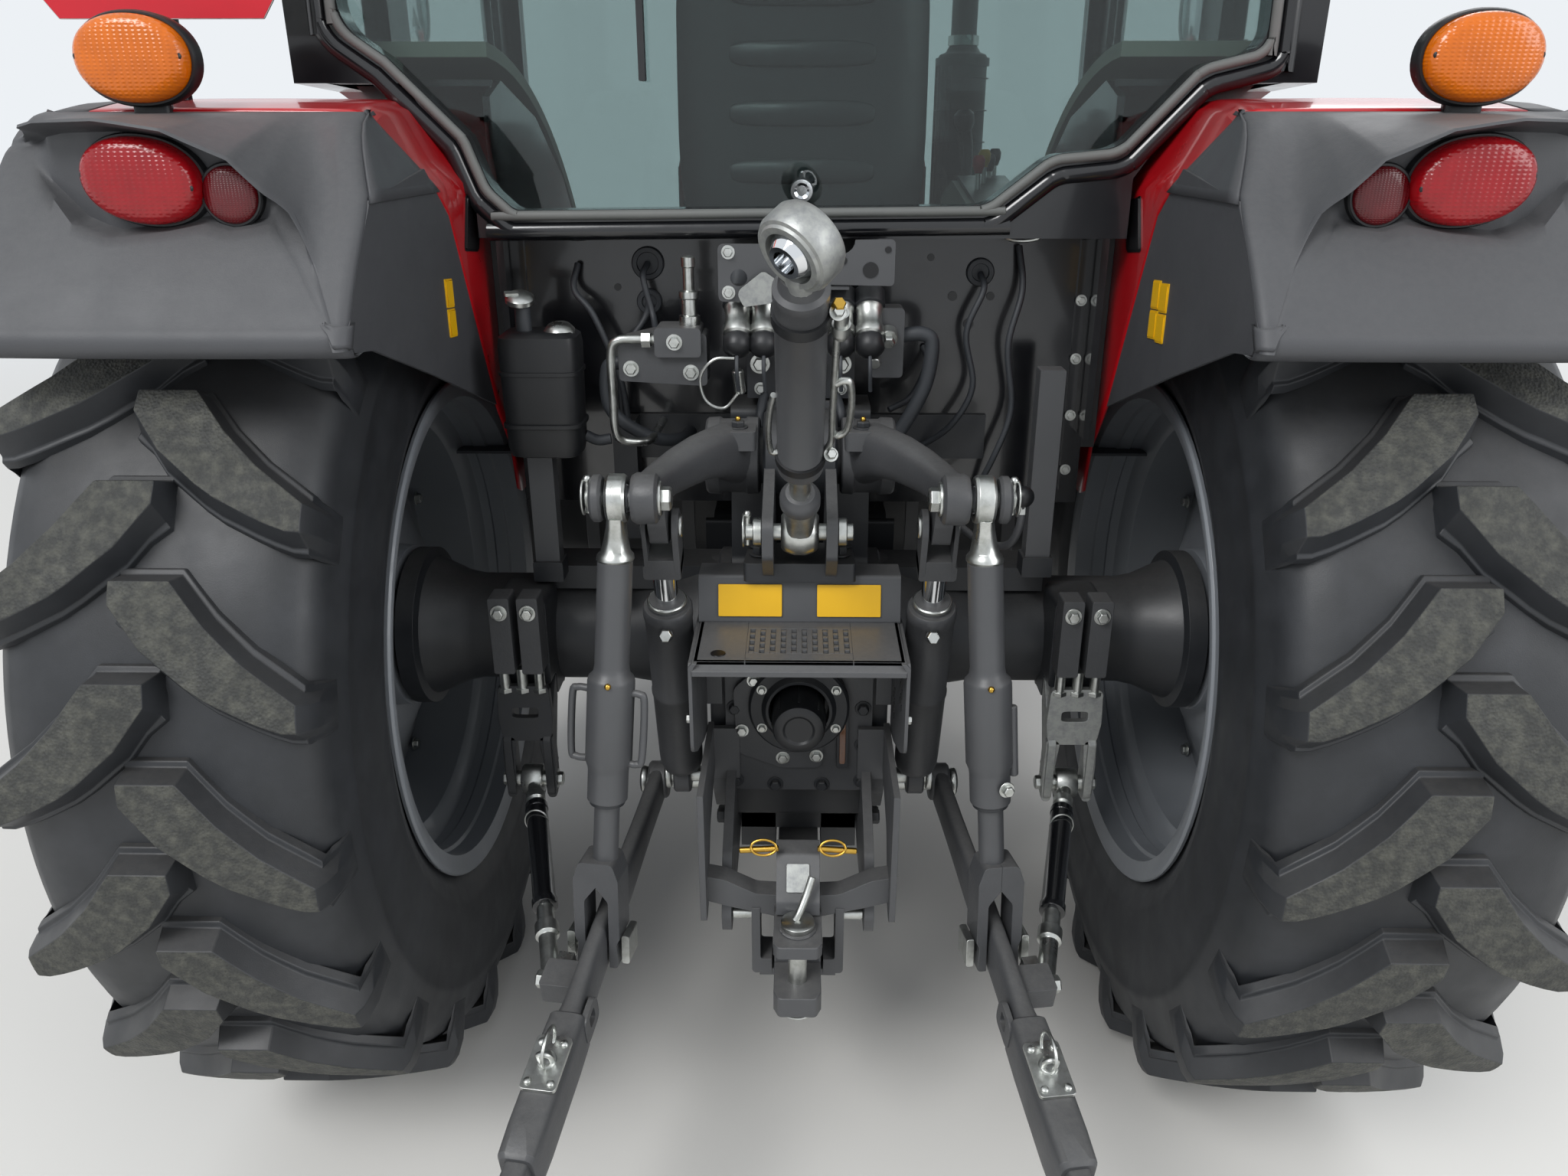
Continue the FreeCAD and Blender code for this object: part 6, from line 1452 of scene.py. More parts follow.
@dataclass
class LowerLink:
    """One lower link: forged bar, ball ends, latch housing and the telescopic stabiliser.

    Its places are those of the right link.
    """

    name: str
    side: int
    front: Point = (252.0, -170.0, 560.0)
    end: Point = (372.0, -1010.0, 390.0)
    brace_from: Point = (480.0, -170.0, 560.0)
    brace_to: Point = (366.0, -602.0, 470.0)

    def build(self) -> None:
        """Makes the link."""
        form = Form()
        s = self.side
        front, end = mirror(self.front, s), mirror(self.end, s)
        way = (end - front).normalized()
        across = Vector((0, 0, 1)).cross(way).normalized()
        up = way.cross(across)
        run = (end - front).length

        def section(share: float, wide: float, high: float, lift: float = 0.0, power: float = 3.2) -> list[Vector]:
            """The bar's section at a share of its length."""
            return bar_ring(front + way * (run * share) + up * lift, across, up, wide, high, power, 28)

        form.skin([section(*row) for row in (
            (-0.036, 9, 18), (-0.02, 14, 28), (0.02, 15, 32), (0.07, 15, 31), (0.14, 15, 31), (0.22, 15, 35),
            (0.30, 15, 40), (0.37, 15, 41, 1), (0.48, 15, 40, 1), (0.54, 16, 38), (0.585, 19, 36, 0, 2.8),
            (0.61, 21, 37, 0, 3.4))], Coat.CAST_PAINT)
        form.skin([section(*row) for row in (
            (0.60, 23, 35, 0, 5), (0.606, 27, 40, 0, 5), (0.66, 28, 41, 0, 5), (0.80, 28, 41, 0, 5),
            (0.845, 27, 38, 0, 5), (0.852, 23, 33, 0, 5))], Coat.CAST_PAINT)
        form.skin([section(*row) for row in ((0.845, 17, 27, 0, 5), (0.90, 17, 27, 0, 5), (0.95, 18, 30, 0, 3),
                                             (0.972, 18, 30, 0, 3))], Coat.CAST_PAINT)
        for centre, wide, outer, bore in ((front, 18, 33.5, 16.6), (end, 23, 43.5, 26.0)):
            place = axes(centre - Vector((wide, 0, 0)), (1, 0, 0))
            form.lathe([(0, bore), (0, outer - 4), (4, outer), (2 * wide - 4, outer), (2 * wide, outer - 4),
                        (2 * wide, bore)], Coat.CAST_PAINT, place, 40, closed=True)
        place = axes(end - Vector((27, 0, 0)), (1, 0, 0))
        form.lathe([(0, 14.4), (0, 18), (5, 22), (14, 25.4), (27, 26.4), (40, 25.4), (49, 22), (54, 18), (54, 14.4)],
                   Coat.CHROME, place, 40, closed=True)
        latch = front + way * (run * 0.70) + up * 41
        plate = Matrix.Translation(latch) @ Matrix((across, way, up)).transposed().to_4x4()
        form.prism(panel((-25, 25), (-38, 44), 7), 0, 6, Coat.ZINC, plate)
        for a in (-16, 16):
            for b in (-27, 33):
                form.lathe([(6, 5.5), (8.5, 5), (10, 2.5)], Coat.ZINC, plate @ Matrix.Translation((a, b, 0)), 14)
        form.lathe([(6, 14), (9, 13), (10, 9), (10, 1)], Coat.ZINC, plate, 24)
        loop = [plate @ Vector((8 * math.sin(t) * 0.2 + 1, -10 + 27 * math.cos(t), 22 + 24 * math.sin(t)))
                for t in turns(12)]
        form.tube(loop, 2.6, Coat.ZINC, 10, 3, ring=True)
        form.tube([plate @ Vector((-9, 2, 8)), plate @ Vector((-8, 4, 22)), plate @ Vector((0, 6, 27)),
                   plate @ Vector((8, 4, 22)), plate @ Vector((9, 2, 8))], 4, Coat.ZINC, 10, 4)
        inward = -s
        tab = Matrix.Translation(front + way * (run * 0.585) + up * 6) @ Matrix((way, up,
                                                                                 across)).transposed().to_4x4()
        pierced(form, [(-26, -24, 14), (30, -24, 14), (30, 24, 18), (-26, 24, 18)], slot_hole(0, 2, 22, 22),
                *((20, 29) if across.x * inward > 0 else (-29, -20)), Coat.CAST_PAINT, tab)
        brace_from, brace_to = mirror(self.brace_from, s), mirror(self.brace_to, s)
        line = (brace_to - brace_from).normalized()
        size = (brace_to - brace_from).length
        at_from = axes(brace_from, line)
        form.lathe([(12, 12), (40, 13), (44, 17), (60, 17), (64, 13), (72, 13)], Coat.ZINC, at_from, 24)
        form.lathe([(70, 13), (72, 19.5), (84, 20), (86, 18.5), (size - 168, 18.5), (size - 164, 20.5),
                    (size - 150, 20.5), (size - 147, 15)], Coat.BLACK_ENAMEL, at_from, 32)
        form.lathe([(size - 152, 14), (size - 118, 14), (size - 114, 19), (size - 92, 19), (size - 88, 14),
                    (size - 2, 14)], Coat.ZINC, at_from, 28)
        for d in (150, 190, 230):
            spot = brace_from + line * d
            form.rod(spot + Vector((0, -18.8, 3)), spot + Vector((0, -15, 3)), 5, Coat.SEAL, 14)
        clip = brace_from + line * 104
        form.tube([clip + Vector((20 * math.cos(t), -8, 22 * math.sin(t)))
                   for t in turns(10)], 1.8, Coat.ZINC, 8, 3, ring=True)
        form.lathe([(0, 14.5), (0, 24), (3, 26), (35, 26), (38, 24), (38, 14.5)], Coat.ZINC,
                   axes(brace_from - Vector((19, 0, 0)), (1, 0, 0)), 32, closed=True)
        knob = Matrix.Translation(front + way * (run * 0.515)) @ Matrix((across, way, up)).transposed().to_4x4()
        out = 1 if across.x * s > 0 else -1
        near, far = span(out, 14, 64)
        form.prism(panel((near, far), (-24, 24), 5), -20, 20, Coat.CAST_PAINT, knob)
        form.block((out * 40 - 12, out * 40 + 12), (-40, -22), (-16, 18), Coat.ZINC, knob)
        form.bolt(knob @ Vector((out * 62, 0, 0)), knob.to_3x3() @ Vector((out, 0, 0)), 24, Coat.ZINC, 12)
        form.piece(self.name, self.name, (self.name,), bevel=1.6, angle=36)


@dataclass
class LiftCylinder:
    """One lift cylinder: painted barrel with its gland, and the rod with a forked end."""

    side_name: str
    side: int
    # The pins below and above on the right
    low: Point = (203.0, -215.0, 600.0)
    eye: Point = (203.0, -385.0, 1118.0)

    def build(self) -> None:
        """Makes the barrel and the ram."""
        s = self.side
        low, eye = mirror(self.low, s), mirror(self.eye, s)
        way = (eye - low).normalized()
        size = (eye - low).length
        form = Form()
        place = axes(low, way)
        form.lathe([(26, 12), (28, 30), (32, 34), (44, 36.5), (60, 37), (208, 37), (210, 38.4), (216, 38.4),
                    (218, 37), (372, 37), (374, 38.5), (390, 38.5), (394, 36), (394, 30), (398, 29), (407, 27.5),
                    (408, 18.6)], Coat.CAST_PAINT, place, 44)
        form.lathe([(398, 29.5), (404, 31), (406, 29), (406.5, 19)], Coat.ZINC, place, 44)
        form.lathe([(0, 14.5), (0, 29), (3, 32), (27, 32), (30, 29), (30, 14.5)], Coat.CAST_PAINT,
                   axes(low - Vector((15, 0, 0)), (1, 0, 0)), 36, closed=True)
        form.lathe([(16, 20), (22, 26), (34, 30)], Coat.CAST_PAINT, place, 30)
        port = low + way * 340 + Vector((0, -34, 8))
        form.rod(port, port + Vector((0, -16, 6)), 11, Coat.CAST_PAINT)
        form.bolt(port + Vector((0, -14, 5)), (0, -0.95, 0.3), 19, Coat.ZINC, 12, washer=False)
        form.piece(f"lift_barrel_{self.side_name}", f"lift_barrel_{self.side_name}",
                   (f"lift_barrel_{self.side_name}",), bevel=0.8, angle=40)
        form = Form()
        form.lathe([(186, 26), (216, 26), (217, 18), (size - 70, 18)], Coat.CHROME, place, 32)
        fork = Matrix.Translation(eye) @ Matrix.Rotation(math.atan2(-way.y, way.z), 4, "X") @ REAR
        form.prism([(-28, -82, 6), (28, -82, 6), (28, -58), (18.5, -46), (-18.5, -46), (-28, -58)], -25, 25,
                   Coat.CAST_PAINT, fork)
        side_on = fork @ REAR.inverted() @ SIDE
        for hand in (-1, 1):
            reach = 25 if hand == s else 28
            near, far = span(hand, 18.5, reach)
            form.prism([(-25, -80, 5), (25, -80, 5), (26, 6, 22), (12, 26, 18), (-12, 26, 18), (-26, 6, 22)], near,
                       far, Coat.CAST_PAINT, side_on)
            form.rod(eye + Vector((hand * (reach - 1), 0, 0)), eye + Vector((hand * (reach * 2 - 23), 0, 0)), 17,
                     Coat.ZINC)
        form.piece(f"lift_ram_{self.side_name}", f"lift_ram_{self.side_name}", (f"lift_ram_{self.side_name}",),
                   bevel=1.0, angle=40)


@dataclass
class TopLink:
    """The hydraulic top link: lower eye and rod below, the dark cylinder with its big zinc ball eye above."""

    low: Point = (0.0, -345.0, 1096.0)
    end: Point = (0.0, -735.0, 1540.0)
    # How far the free ball end is turned about the link, as in the photograph
    eye_turn: float = math.radians(52)

    def build(self) -> None:
        """Makes the rod with its lower eye, then the cylinder with its pipes and ball eye."""
        low, end = Vector(self.low), Vector(self.end)
        way = (end - low).normalized()
        size = (end - low).length
        deep = way.cross(Vector((1, 0, 0))).normalized()
        form = Form()
        across = axes(low - Vector((28, 0, 0)), (1, 0, 0))
        form.lathe([(0, 14), (0, 24), (3, 28), (8, 31), (20, 35), (36, 35), (48, 31), (53, 28), (56, 24), (56, 14)],
                   Coat.ZINC, across, 40, closed=True)
        form.skin([bar_ring(low + way * d, Vector((1, 0, 0)), deep, a, b, p)
                   for d, a, b, p in ((20, 20, 26, 3), (40, 21, 24, 3), (60, 23, 23, 2.4), (76, 25, 25, 2),
                                      (82, 24, 24, 2))], Coat.ZINC)
        form.lathe([(78, 15.5), (372, 15.5)], Coat.ZINC, axes(low, way), 36)
        form.lathe([(80, 27), (84, 29), (100, 29), (104, 26), (112, 21), (113, 15)], Coat.PLATE_PAINT, axes(low, way),
                   36)
        form.piece("top_link_barrel", "top_link_barrel", ("top_link_barrel",), bevel=0.8, angle=40)

        form = Form()
        place = axes(low, way)
        form.lathe([(176, 16.5), (176, 27), (180, 31), (196, 32), (205, 32), (207, 30.5), (size - 76, 30.5),
                    (size - 74, 32), (size - 62, 32), (size - 58, 26), (size - 40, 24)], Coat.PLATE_PAINT, place, 44)
        for start, wide in ((200, 14), (size - 112, 16)):
            form.lathe([(start, 31), (start, 34), (start + wide, 34), (start + wide, 31)], Coat.BLACK_PLASTIC, place,
                       40)
            lug = low + way * (start + wide / 2)
            form.rod(lug + Vector((26, 0, 0)), lug + Vector((46, -4, 4)), 7.5, Coat.BLACK_PLASTIC, 16)
            form.bolt(lug + Vector((40, -14, 4)), (0.2, -0.9, 0.4), 12, Coat.ZINC, 7)
        form.skin([bar_ring(low + way * (size - d), Vector((1, 0, 0)), deep, a, b, 2.2) for d, a, b in
                   ((62, 25, 25), (52, 21, 24), (40, 19, 27), (26, 19, 26))], Coat.MATT_ZINC)
        turned = Vector((math.cos(self.eye_turn), 0, 0)) - deep * math.sin(self.eye_turn) * (1 if deep.z < 0 else -1)
        eye = axes(end - turned * 22, turned)
        form.lathe([(0, 30), (0, 37), (3, 39), (4, 43), (10, 46), (34, 46), (40, 43), (41, 39), (44, 37), (44, 30),
                    (38, 31), (6, 31)], Coat.MATT_ZINC, eye, 56, closed=True)
        form.lathe([(-7, 13.5), (-7, 19), (-1, 23), (9, 28.6), (22, 30.6), (35, 28.6), (45, 23), (51, 19),
                    (51, 13.5)], Coat.CHROME, eye, 48, closed=True)

        def beside(along: float, x: float, out: float) -> Vector:
            """A point beside the cylinder, a length up it."""
            return low + way * along + Vector((x, -out * 0.75, out * 0.65))

        pipe = Coat.ZINC
        form.tube([beside(size - 96, 33, 8), beside(size - 112, 42, 6), beside(size - 150, 41, 2),
                   beside(300, 40, 0), beside(240, 40, 0), beside(214, 30, -2)], 4.6, pipe, 12, 6)
        form.tube([beside(350, 43, 14), beside(356, 52, 14), beside(350, 60, 13), beside(310, 63, 10),
                   beside(262, 60, 8), beside(246, 50, 8), beside(250, 44, 8)], 4.6, pipe, 12, 6)
        form.tube([beside(330, -33, 10), beside(300, -38, 8), beside(262, -41, 4), beside(222, -40, 2),
                   beside(206, -34, 8), beside(196, -12, 28)], 4.2, pipe, 12, 6)
        valve = axes(beside(size - 150, 45, 10), way)
        form.lathe([(0, 6), (0, 8), (8, 9), (8, 11), (22, 11), (22, 8.5), (40, 8.5), (40, 6), (46, 5)], pipe, valve,
                   12)
        form.bolt(beside(size - 104, 40, 16), (0.2, -0.8, 0.5), 14, Coat.BRASS, 9, washer=False)
        form.piece("top_link_rod", "top_link_rod", ("top_link_rod",), bevel=0.8, angle=40)


@dataclass
class Hitch:
    """The rear three-point linkage: what stands in the middle, and the rods, links and cylinders beside it."""

    arms: LiftArms = field(default_factory=LiftArms)
    top_link: TopLink = field(default_factory=TopLink)

    def build(self) -> None:
        """Makes every moving part of the linkage."""
        self.arms.build()
        for side_name, side in SIDES:
            LiftRod(f"lift_rod_{side_name}", side).build()
            LowerLink(f"lower_link_{side_name}", side).build()
            LiftCylinder(side_name, side).build()
        self.top_link.build()
def slotted(form: Form, wide: Pair, deep: Pair, low: float, high: float, coat: Coat, place: Matrix, columns: int,
            rows: int, slot: Pair) -> None:
    """Raises a sheet area pierced with staggered slots: whole bars between the columns, short ties within them.

    Args:
        form: The form that it joins.
        wide: The area across the columns.
        deep: The area along them.
        low: Where the sheet starts along the frame's z.
        high: Where it ends.
        coat: The sheet's finish.
        place: Its frame.
        columns: Columns of slots.
        rows: Slots in a column.
        slot: A slot's width and length.
    """
    pitch = (wide[1] - wide[0]) / columns
    step = (deep[1] - deep[0]) / rows
    for k in range(columns + 1):
        middle = wide[0] + pitch * k
        half = (pitch - slot[0]) / 2
        form.block((middle - (half if k else 0), middle + (half if k < columns else 0)), deep, (low, high), coat,
                   place)
        if k == columns:
            break
        shift = step / 2 if k % 2 else 0
        ties = [(deep[0] + step * i - shift, deep[0] + step * i - shift + step - slot[1]) for i in range(rows + 2)]
        for a, b in ties:
            a, b = max(a, deep[0]), min(b, deep[1])
            if b - a > 0.5:
                form.block((middle + half, middle + pitch - half), (a, b), (low, high), coat, place)


@dataclass
class Gearbox:
    """The gearbox casting with its lift housing, the rear axle tubes and the label beam over the guard."""

    # Heights of the drive shaft and the axle, how far back the face is, and the top link's pin as (ahead, height)
    shaft_height: float = 760.0
    axle_height: float = 789.0
    face: float = 250.0
    ear_pin: Pair = (-345.0, 1096.0)

    def casting(self, form: Form) -> None:
        """Casts the case, its face flange and its bolts.

        Args:
            form: The casting's form.
        """
        grey, dark = Coat.CAST_PAINT, Coat.DARK_PAINT
        form.prism([(-240, 622, 14), (-240, 926, 30), (-150, 945, 30), (-122, 968, 20), (-98, 1180, 20),
                    (-96, 1226, 15), (28, 1226, 30), (40, 1012, 30), (152, 958), (152, 562), (-60, 508),
                    (-205, 508, 20)], -116, 116, dark, SIDE)
        form.prism([(-150, 640, 30), (150, 640, 30), (150, 900, 30), (110, 936, 20), (-110, 936, 20),
                    (-150, 900, 30)], 150, 236, dark, REAR)
        face = [(-124, 590, 26), (124, 590, 26), (124, 900, 40), (96, 940, 30), (-96, 940, 30), (-124, 900, 40)]
        form.prism(face, 236, 250, grey, REAR)
        for x, z in [(s * 108, z) for s in (-1, 1) for z in (610, 680, 750, 820, 890)] + [(-40, 602), (40, 602)]:
            form.bolt((x, -self.face, z), (0, -1, 0), 17, dark, 9)
        form.prism([(-104, 668, 20), (-30, 640, 20), (40, 640, 16), (46, 820, 16), (20, 836), (-60, 836, 20),
                    (-110, 790, 26)], 250, 260, grey, REAR)
        for x, z in ((-75, 806), (-27, 660), (30, 664), (-96, 712)):
            form.bolt((x, -260, z), (0, -1, 0), 15, Coat.ZINC, 7)
        cap = axes((0, -self.face, self.shaft_height), (0, -1, 0))
        form.lathe([(0, 82), (6, 84), (20, 84), (24, 80), (24, 62), (30, 58), (34, 55), (34, 50), (10, 49), (10, 27)],
                   dark, cap, 56)
        for k in range(6):
            a = math.pi * (k + 0.5) / 3
            form.bolt((71 * math.cos(a), -274, self.shaft_height + 71 * math.sin(a)), (0, -1, 0), 11, Coat.ZINC, 6)
        form.prism(panel((64, 84), (640, 770), 6), 250, 262, dark, REAR)
        form.prism(panel((69, 79), (650, 760), 4), 262, 264, Coat.BROWN_GLASS, REAR)
        form.prism([(152, 564, 30), (152, 956, 30), (1286, 936, 30), (1286, 644, 30), (420, 562, 60)], -168, 168,
                   dark, SIDE)
        for y in (156, 560, 900, 1272):
            top = 956 - (y - 152) * 0.0176
            form.prism([(y - 9, 590 + (60 if y > 700 else 0), 20), (y - 9, top - 6, 20), (y + 9, top - 6, 20),
                        (y + 9, 590 + (60 if y > 700 else 0), 20)], -183, 183, dark, SIDE)
            for side in (-1, 1):
                for z in (680, 760, 840, 910):
                    form.bolt((side * 176, y + 14, z), (0, 1, 0), 14, dark, 8, washer=False)
        form.prism(panel((-60, 60), (1222, 1236), 8), -28, 96, grey, REAR)

    def lift_housing(self, form: Form) -> None:
        """Adds the rockshaft's seat, the top link's ears with their pin, and the label beam.

        Args:
            form: The casting's form.
        """
        grey, dark = Coat.CAST_PAINT, Coat.DARK_PAINT
        form.lathe([(-58, 46), (-58, 68), (-54, 72), (54, 72), (58, 68), (58, 46)], dark,
                   axes((0, -170, 1165), (1, 0, 0)), 40)
        form.prism([(-98, 985), (-232, 1130, 30), (-190, 1224, 30), (-96, 1226)], -57, 57, dark, SIDE)
        for side in (-1, 1):
            low, high = span(side, 39, 56)
            form.prism([(-378, 1064, 16), (-379, 1118, 26), (-322, 1138, 24), (-100, 1208), (-100, 1000),
                        (-200, 1014), (-330, 1014, 10)], low, high, grey, SIDE)
            form.rod((side * 56, *self.ear_pin), (side * 70, *self.ear_pin), 21, Coat.ZINC)
            form.bolt((side * 62, -300, 1044), (0, 0, 1), 20, dark, 12)
            form.bolt((side * 66, -262, 1044), (0, 0, 1), 20, dark, 12)
        form.rod((-82, *self.ear_pin), (80, *self.ear_pin), 12.9, Coat.ZINC)
        lynch_pin(form, (-78, *self.ear_pin), -1)
        form.prism([(-86, -338, 8), (86, -338, 8), (80, -242, 8), (-80, -242, 8)], 1012, 1042, dark)
        form.prism([(-252, 960), (-252, 1012, 8), (-318, 1016, 7), (-338, 944, 6), (-330, 942), (-312, 1004, 3),
                    (-262, 1002), (-262, 960)], -156, 156, Coat.PLATE_PAINT, SIDE)
        form.block((-150, 150), (-322, -250), (946, 956), Coat.PLATE_PAINT)
        tilt = Matrix.Translation((0, -330.6, 979)) @ Matrix.Rotation(math.radians(-15.5), 4, "X") @ REAR
        for x in (-76, 76):
            form.prism(panel((x - 49, x + 49), (-25, 25), 2), 0.4, 1.6, Coat.YELLOW_FILM,
                       tilt)

    def axle(self, form: Form) -> None:
        """Turns the rear axle tubes with their flanges and ribs.

        Args:
            form: The casting's form.
        """
        dark = Coat.DARK_PAINT
        for _, side in SIDES:
            place = axes((side * 118, 0, self.axle_height), (side, 0, 0))
            form.lathe([(0, 140), (4, 149), (24, 149), (28, 142), (60, 136), (96, 124), (140, 106), (190, 98),
                        (470, 98), (500, 104), (540, 122), (556, 128), (560, 146), (592, 146), (595, 120), (595, 60)],
                       dark, place, 64)
            for k in range(12):
                a = math.pi * k / 6
                spot = place @ Vector((132 * math.cos(a), 132 * math.sin(a), 28))
                form.bolt(spot, (side, 0, 0), 17, dark, 9, washer=False)
            for k in range(4):
                a = math.pi * (k + 0.5) / 2
                way = Vector((0, math.cos(a), math.sin(a)))
                start = Vector((side * 146, 0, self.axle_height))
                turned = Matrix((Vector((side, 0, 0)), way, Vector((side, 0, 0)).cross(way))).transposed().to_4x4()
                form.prism([(0, 0), (0, 138, 6), (150, 94, 10), (150, 0)], -7, 7, dark,
                           Matrix.Translation(start) @ turned)
            form.rod((side * 330, -20, 880), (side * 330, -20, 905), 12, Coat.BLACK_PLASTIC, 16)
            cap = axes((side * 322, -112, 926), (side * 0.3, -1, 0))
            form.lathe([(0, 16), (6, 18), (20, 18), (24, 15)], Coat.RED_CAP, cap, 24)
            form.tube([(side * 322, -108, 924), (side * 318, -60, 918), (side * 300, -20, 900)], 9, Coat.SEAL, 12)

    def build(self) -> None:
        """Makes the whole casting."""
        form = Form()
        self.casting(form)
        self.lift_housing(form)
        self.axle(form)
        form.piece("transmission", "chassis", ("transmission",), bevel=2.0, angle=38)


@dataclass
class LinkBrackets:
    """What the lower links, the cylinders and the stabilisers hang from."""

    # The pins of the lower links and of the cylinders as (ahead, height), and how far out the stabilisers hang
    link_pin: Pair = (-170.0, 560.0)
    ram_pin: Pair = (-215.0, 600.0)
    brace_at: float = 480.0

    def build(self) -> None:
        """Makes both sides as one piece."""
        form = Form()
        for _, s in SIDES:
            dark, grey = Coat.DARK_PAINT, Coat.CAST_PAINT
            lug = [(-238, 578, 20), (-238, 625, 26), (-185, 634, 20), (-92, 634), (-92, 517), (-190, 517, 26)]
            low, high = span(s, 118, 148)
            form.prism(lug, low, high, grey, SIDE)
            form.rod((s * 140, *self.link_pin), (s * 286, *self.link_pin), 15.8, Coat.ZINC)
            form.rod((s * 140, *self.ram_pin), (s * 236, *self.ram_pin), 13.8, Coat.ZINC)
            for x, pin in ((272, self.link_pin), (222, self.ram_pin)):
                form.lathe([(0, 16), (0, 23), (3, 25), (9, 25), (12, 22)], Coat.ZINC, axes((s * x, *pin), (s, 0, 0)),
                           24)
            b = s * self.brace_at
            form.prism([(b - 44, 744, 10), (b + 44, 744, 10), (b + 44, 908, 16), (b - 44, 908, 16)], 62, 158, dark,
                       REAR)
            for x in (-24, 24):
                form.prism(panel((b + x - 18, b + x + 18), (786, 926), 5), 158, 204,
                           grey, REAR)
                form.bolt((b + x, -204, 900), (0, -1, 0), 18, Coat.ZINC, 9)
            for x in (-30, 0, 30):
                form.rod((b + x, -184, 742), (b + x, -184, 790), 9, Coat.ZINC, 20)
                form.lathe([(0, 13), (8, 13)], Coat.ZINC, axes((b + x, -184, 744), (0, 0, 1)), 6)
            plate = Coat.MATT_ZINC if s > 0 else dark
            pierced(form, [(b - 45, 756, 12), (b + 45, 756, 12), (b + 48, 690, 18), (b + 42, 648, 16),
                           (b - 42, 648, 16), (b - 48, 690, 18)], slot_hole(b, 704, 46, 20), 176, 190, plate, REAR)
            for hand in (-1, 1):
                leg = [(b + hand * 44, 656, 4), (b + hand * 20, 656, 10), (b + hand * 27, 580),
                       (b + hand * 28, 532, 8), (b + hand * 44, 532, 10), (b + hand * 46, 600, 10)]
                form.prism(leg, 176, 190, plate, REAR)
                near, far = sorted((b + hand * 28, b + hand * 42))
                form.prism([(-196, 534, 20), (-196, 650, 8), (-120, 742, 10), (-112, 742), (-112, 700, 20),
                            (-148, 620, 20), (-146, 534, 20)], near, far, plate, SIDE)
                form.bolt((b + hand * 42, *self.link_pin), (hand, 0, 0), 22, Coat.ZINC, 10)
            form.rod((b - 44, *self.link_pin), (b + 44, *self.link_pin), 13.8, Coat.ZINC)
            form.prism([(-112, 702, 10), (-112, 758, 6), (-42, 758, 6), (-42, 702, 10)], b - 43, b + 43, dark, SIDE)
        form.piece("link_brackets", "chassis", ("link_brackets",), bevel=1.4, angle=38)


@dataclass
class ShaftGuard:
    """The pierced hood over the drive shaft, and the shaft with its plastic cap."""

    # The top sheet's underside and top, and the shaft's start as (ahead, height)
    sheet: Pair = (939.5, 945.0)
    shaft: Pair = (-254.0, 762.0)

    def build(self) -> None:
        """Makes the guard and the shaft."""
        form = Form()
        coat = Coat.PLATE_PAINT
        area, deep = (-78, 78), (-448, -362)
        for wide, long in (((-152, -78), (-478, -258)), ((78, 152), (-478, -258)), ((-78, 78), (-362, -258)),
                           ((-78, 78), (-478, -448))):
            form.block(wide, long, self.sheet, coat)
        slotted(form, area, deep, *self.sheet, coat, PLAN, 10, 4, (7.5, 14))
        bend = [(0, 6), (0, 0), (-6, -6), (-6, -14), (-1, -14), (-1, -8), (4, -1), (4, 6)]
        form.prism([(-478 + a * 1.6, 939 + b) for a, b in bend], -154, 154, coat, SIDE)
        for _, s in SIDES:
            low, high = span(s, 154, 159.5)
            form.prism([(-252, 943), (-252, 712), (-318, 726, 30), (-430, 770, 60), (-484, 800, 30), (-486, 936, 6),
                        (-478, 943)], low, high, coat, SIDE)
            form.prism([(s * 146, 945), (s * 153, 945, 4), (s * 159.5, 938, 4), (s * 159.5, 930), (s * 154, 930),
                        (s * 151, 938)], 252, 486, coat, REAR)
            for y in (-300, -450):
                form.bolt((s * 159.5, y, 900 if y > -400 else 838), (s, 0, 0), 13, Coat.ZINC, 7)
            form.block(tuple(span(s, 128, 154)), (-257, -252), (760, 900), coat)
        # Flat black disc and rows of patches: painted shade standing for a hole in the top sheet and slots in the
        # side plates
        form.lathe([(0, 11), (1.5, 11)], Coat.BLACK_FILM_AND_HOLE_SHADE, axes((-118, -452, 945), (0, 0, 1)), 24)
        for y0, z0, rows in ((-430, 840, 5), (-320, 768, 4)):
            for k in range(rows * 3):
                y, z = y0 + 13 * (k % 3), z0 + 13 * (k // 3) + (6 if k % 2 else 0)
                form.prism(panel((y, y + 6), (z, z + 10), 2), 153.2, 160.2, Coat.BLACK_FILM_AND_HOLE_SHADE, SIDE)
        form.block((-150, 150), (-258, -252), (884, 940), coat)
        form.piece("pto_guard", "chassis", ("pto_guard",), bevel=1.0, angle=38)

        form = Form()
        spline = []
        for k in range(60):
            a = 2 * math.pi * k / 60
            radius = 17.2 if math.cos(6 * a) > -0.1 else 14.6
            spline.append((radius * math.cos(a), radius * math.sin(a)))
        cover = axes((0, *self.shaft), (0, -1, 0))
        form.prism(spline, -30, 84, Coat.ZINC, cover)
        form.lathe([(10, 20), (10, 40), (20, 43), (86, 43), (94, 40), (98, 32), (98, 26), (95, 22)],
                   Coat.BLACK_PLASTIC, cover, 48)
        for k in range(8):
            t = math.pi * k / 4
            form.tube([cover @ Vector((42.5 * math.cos(t), 42.5 * math.sin(t), z)) for z in (24, 52, 82)], 2,
                      Coat.BLACK_PLASTIC, 8, 2)
        form.piece("pto_shaft", "pto_shaft", ("pto_shaft",), bevel=0.6, angle=36)


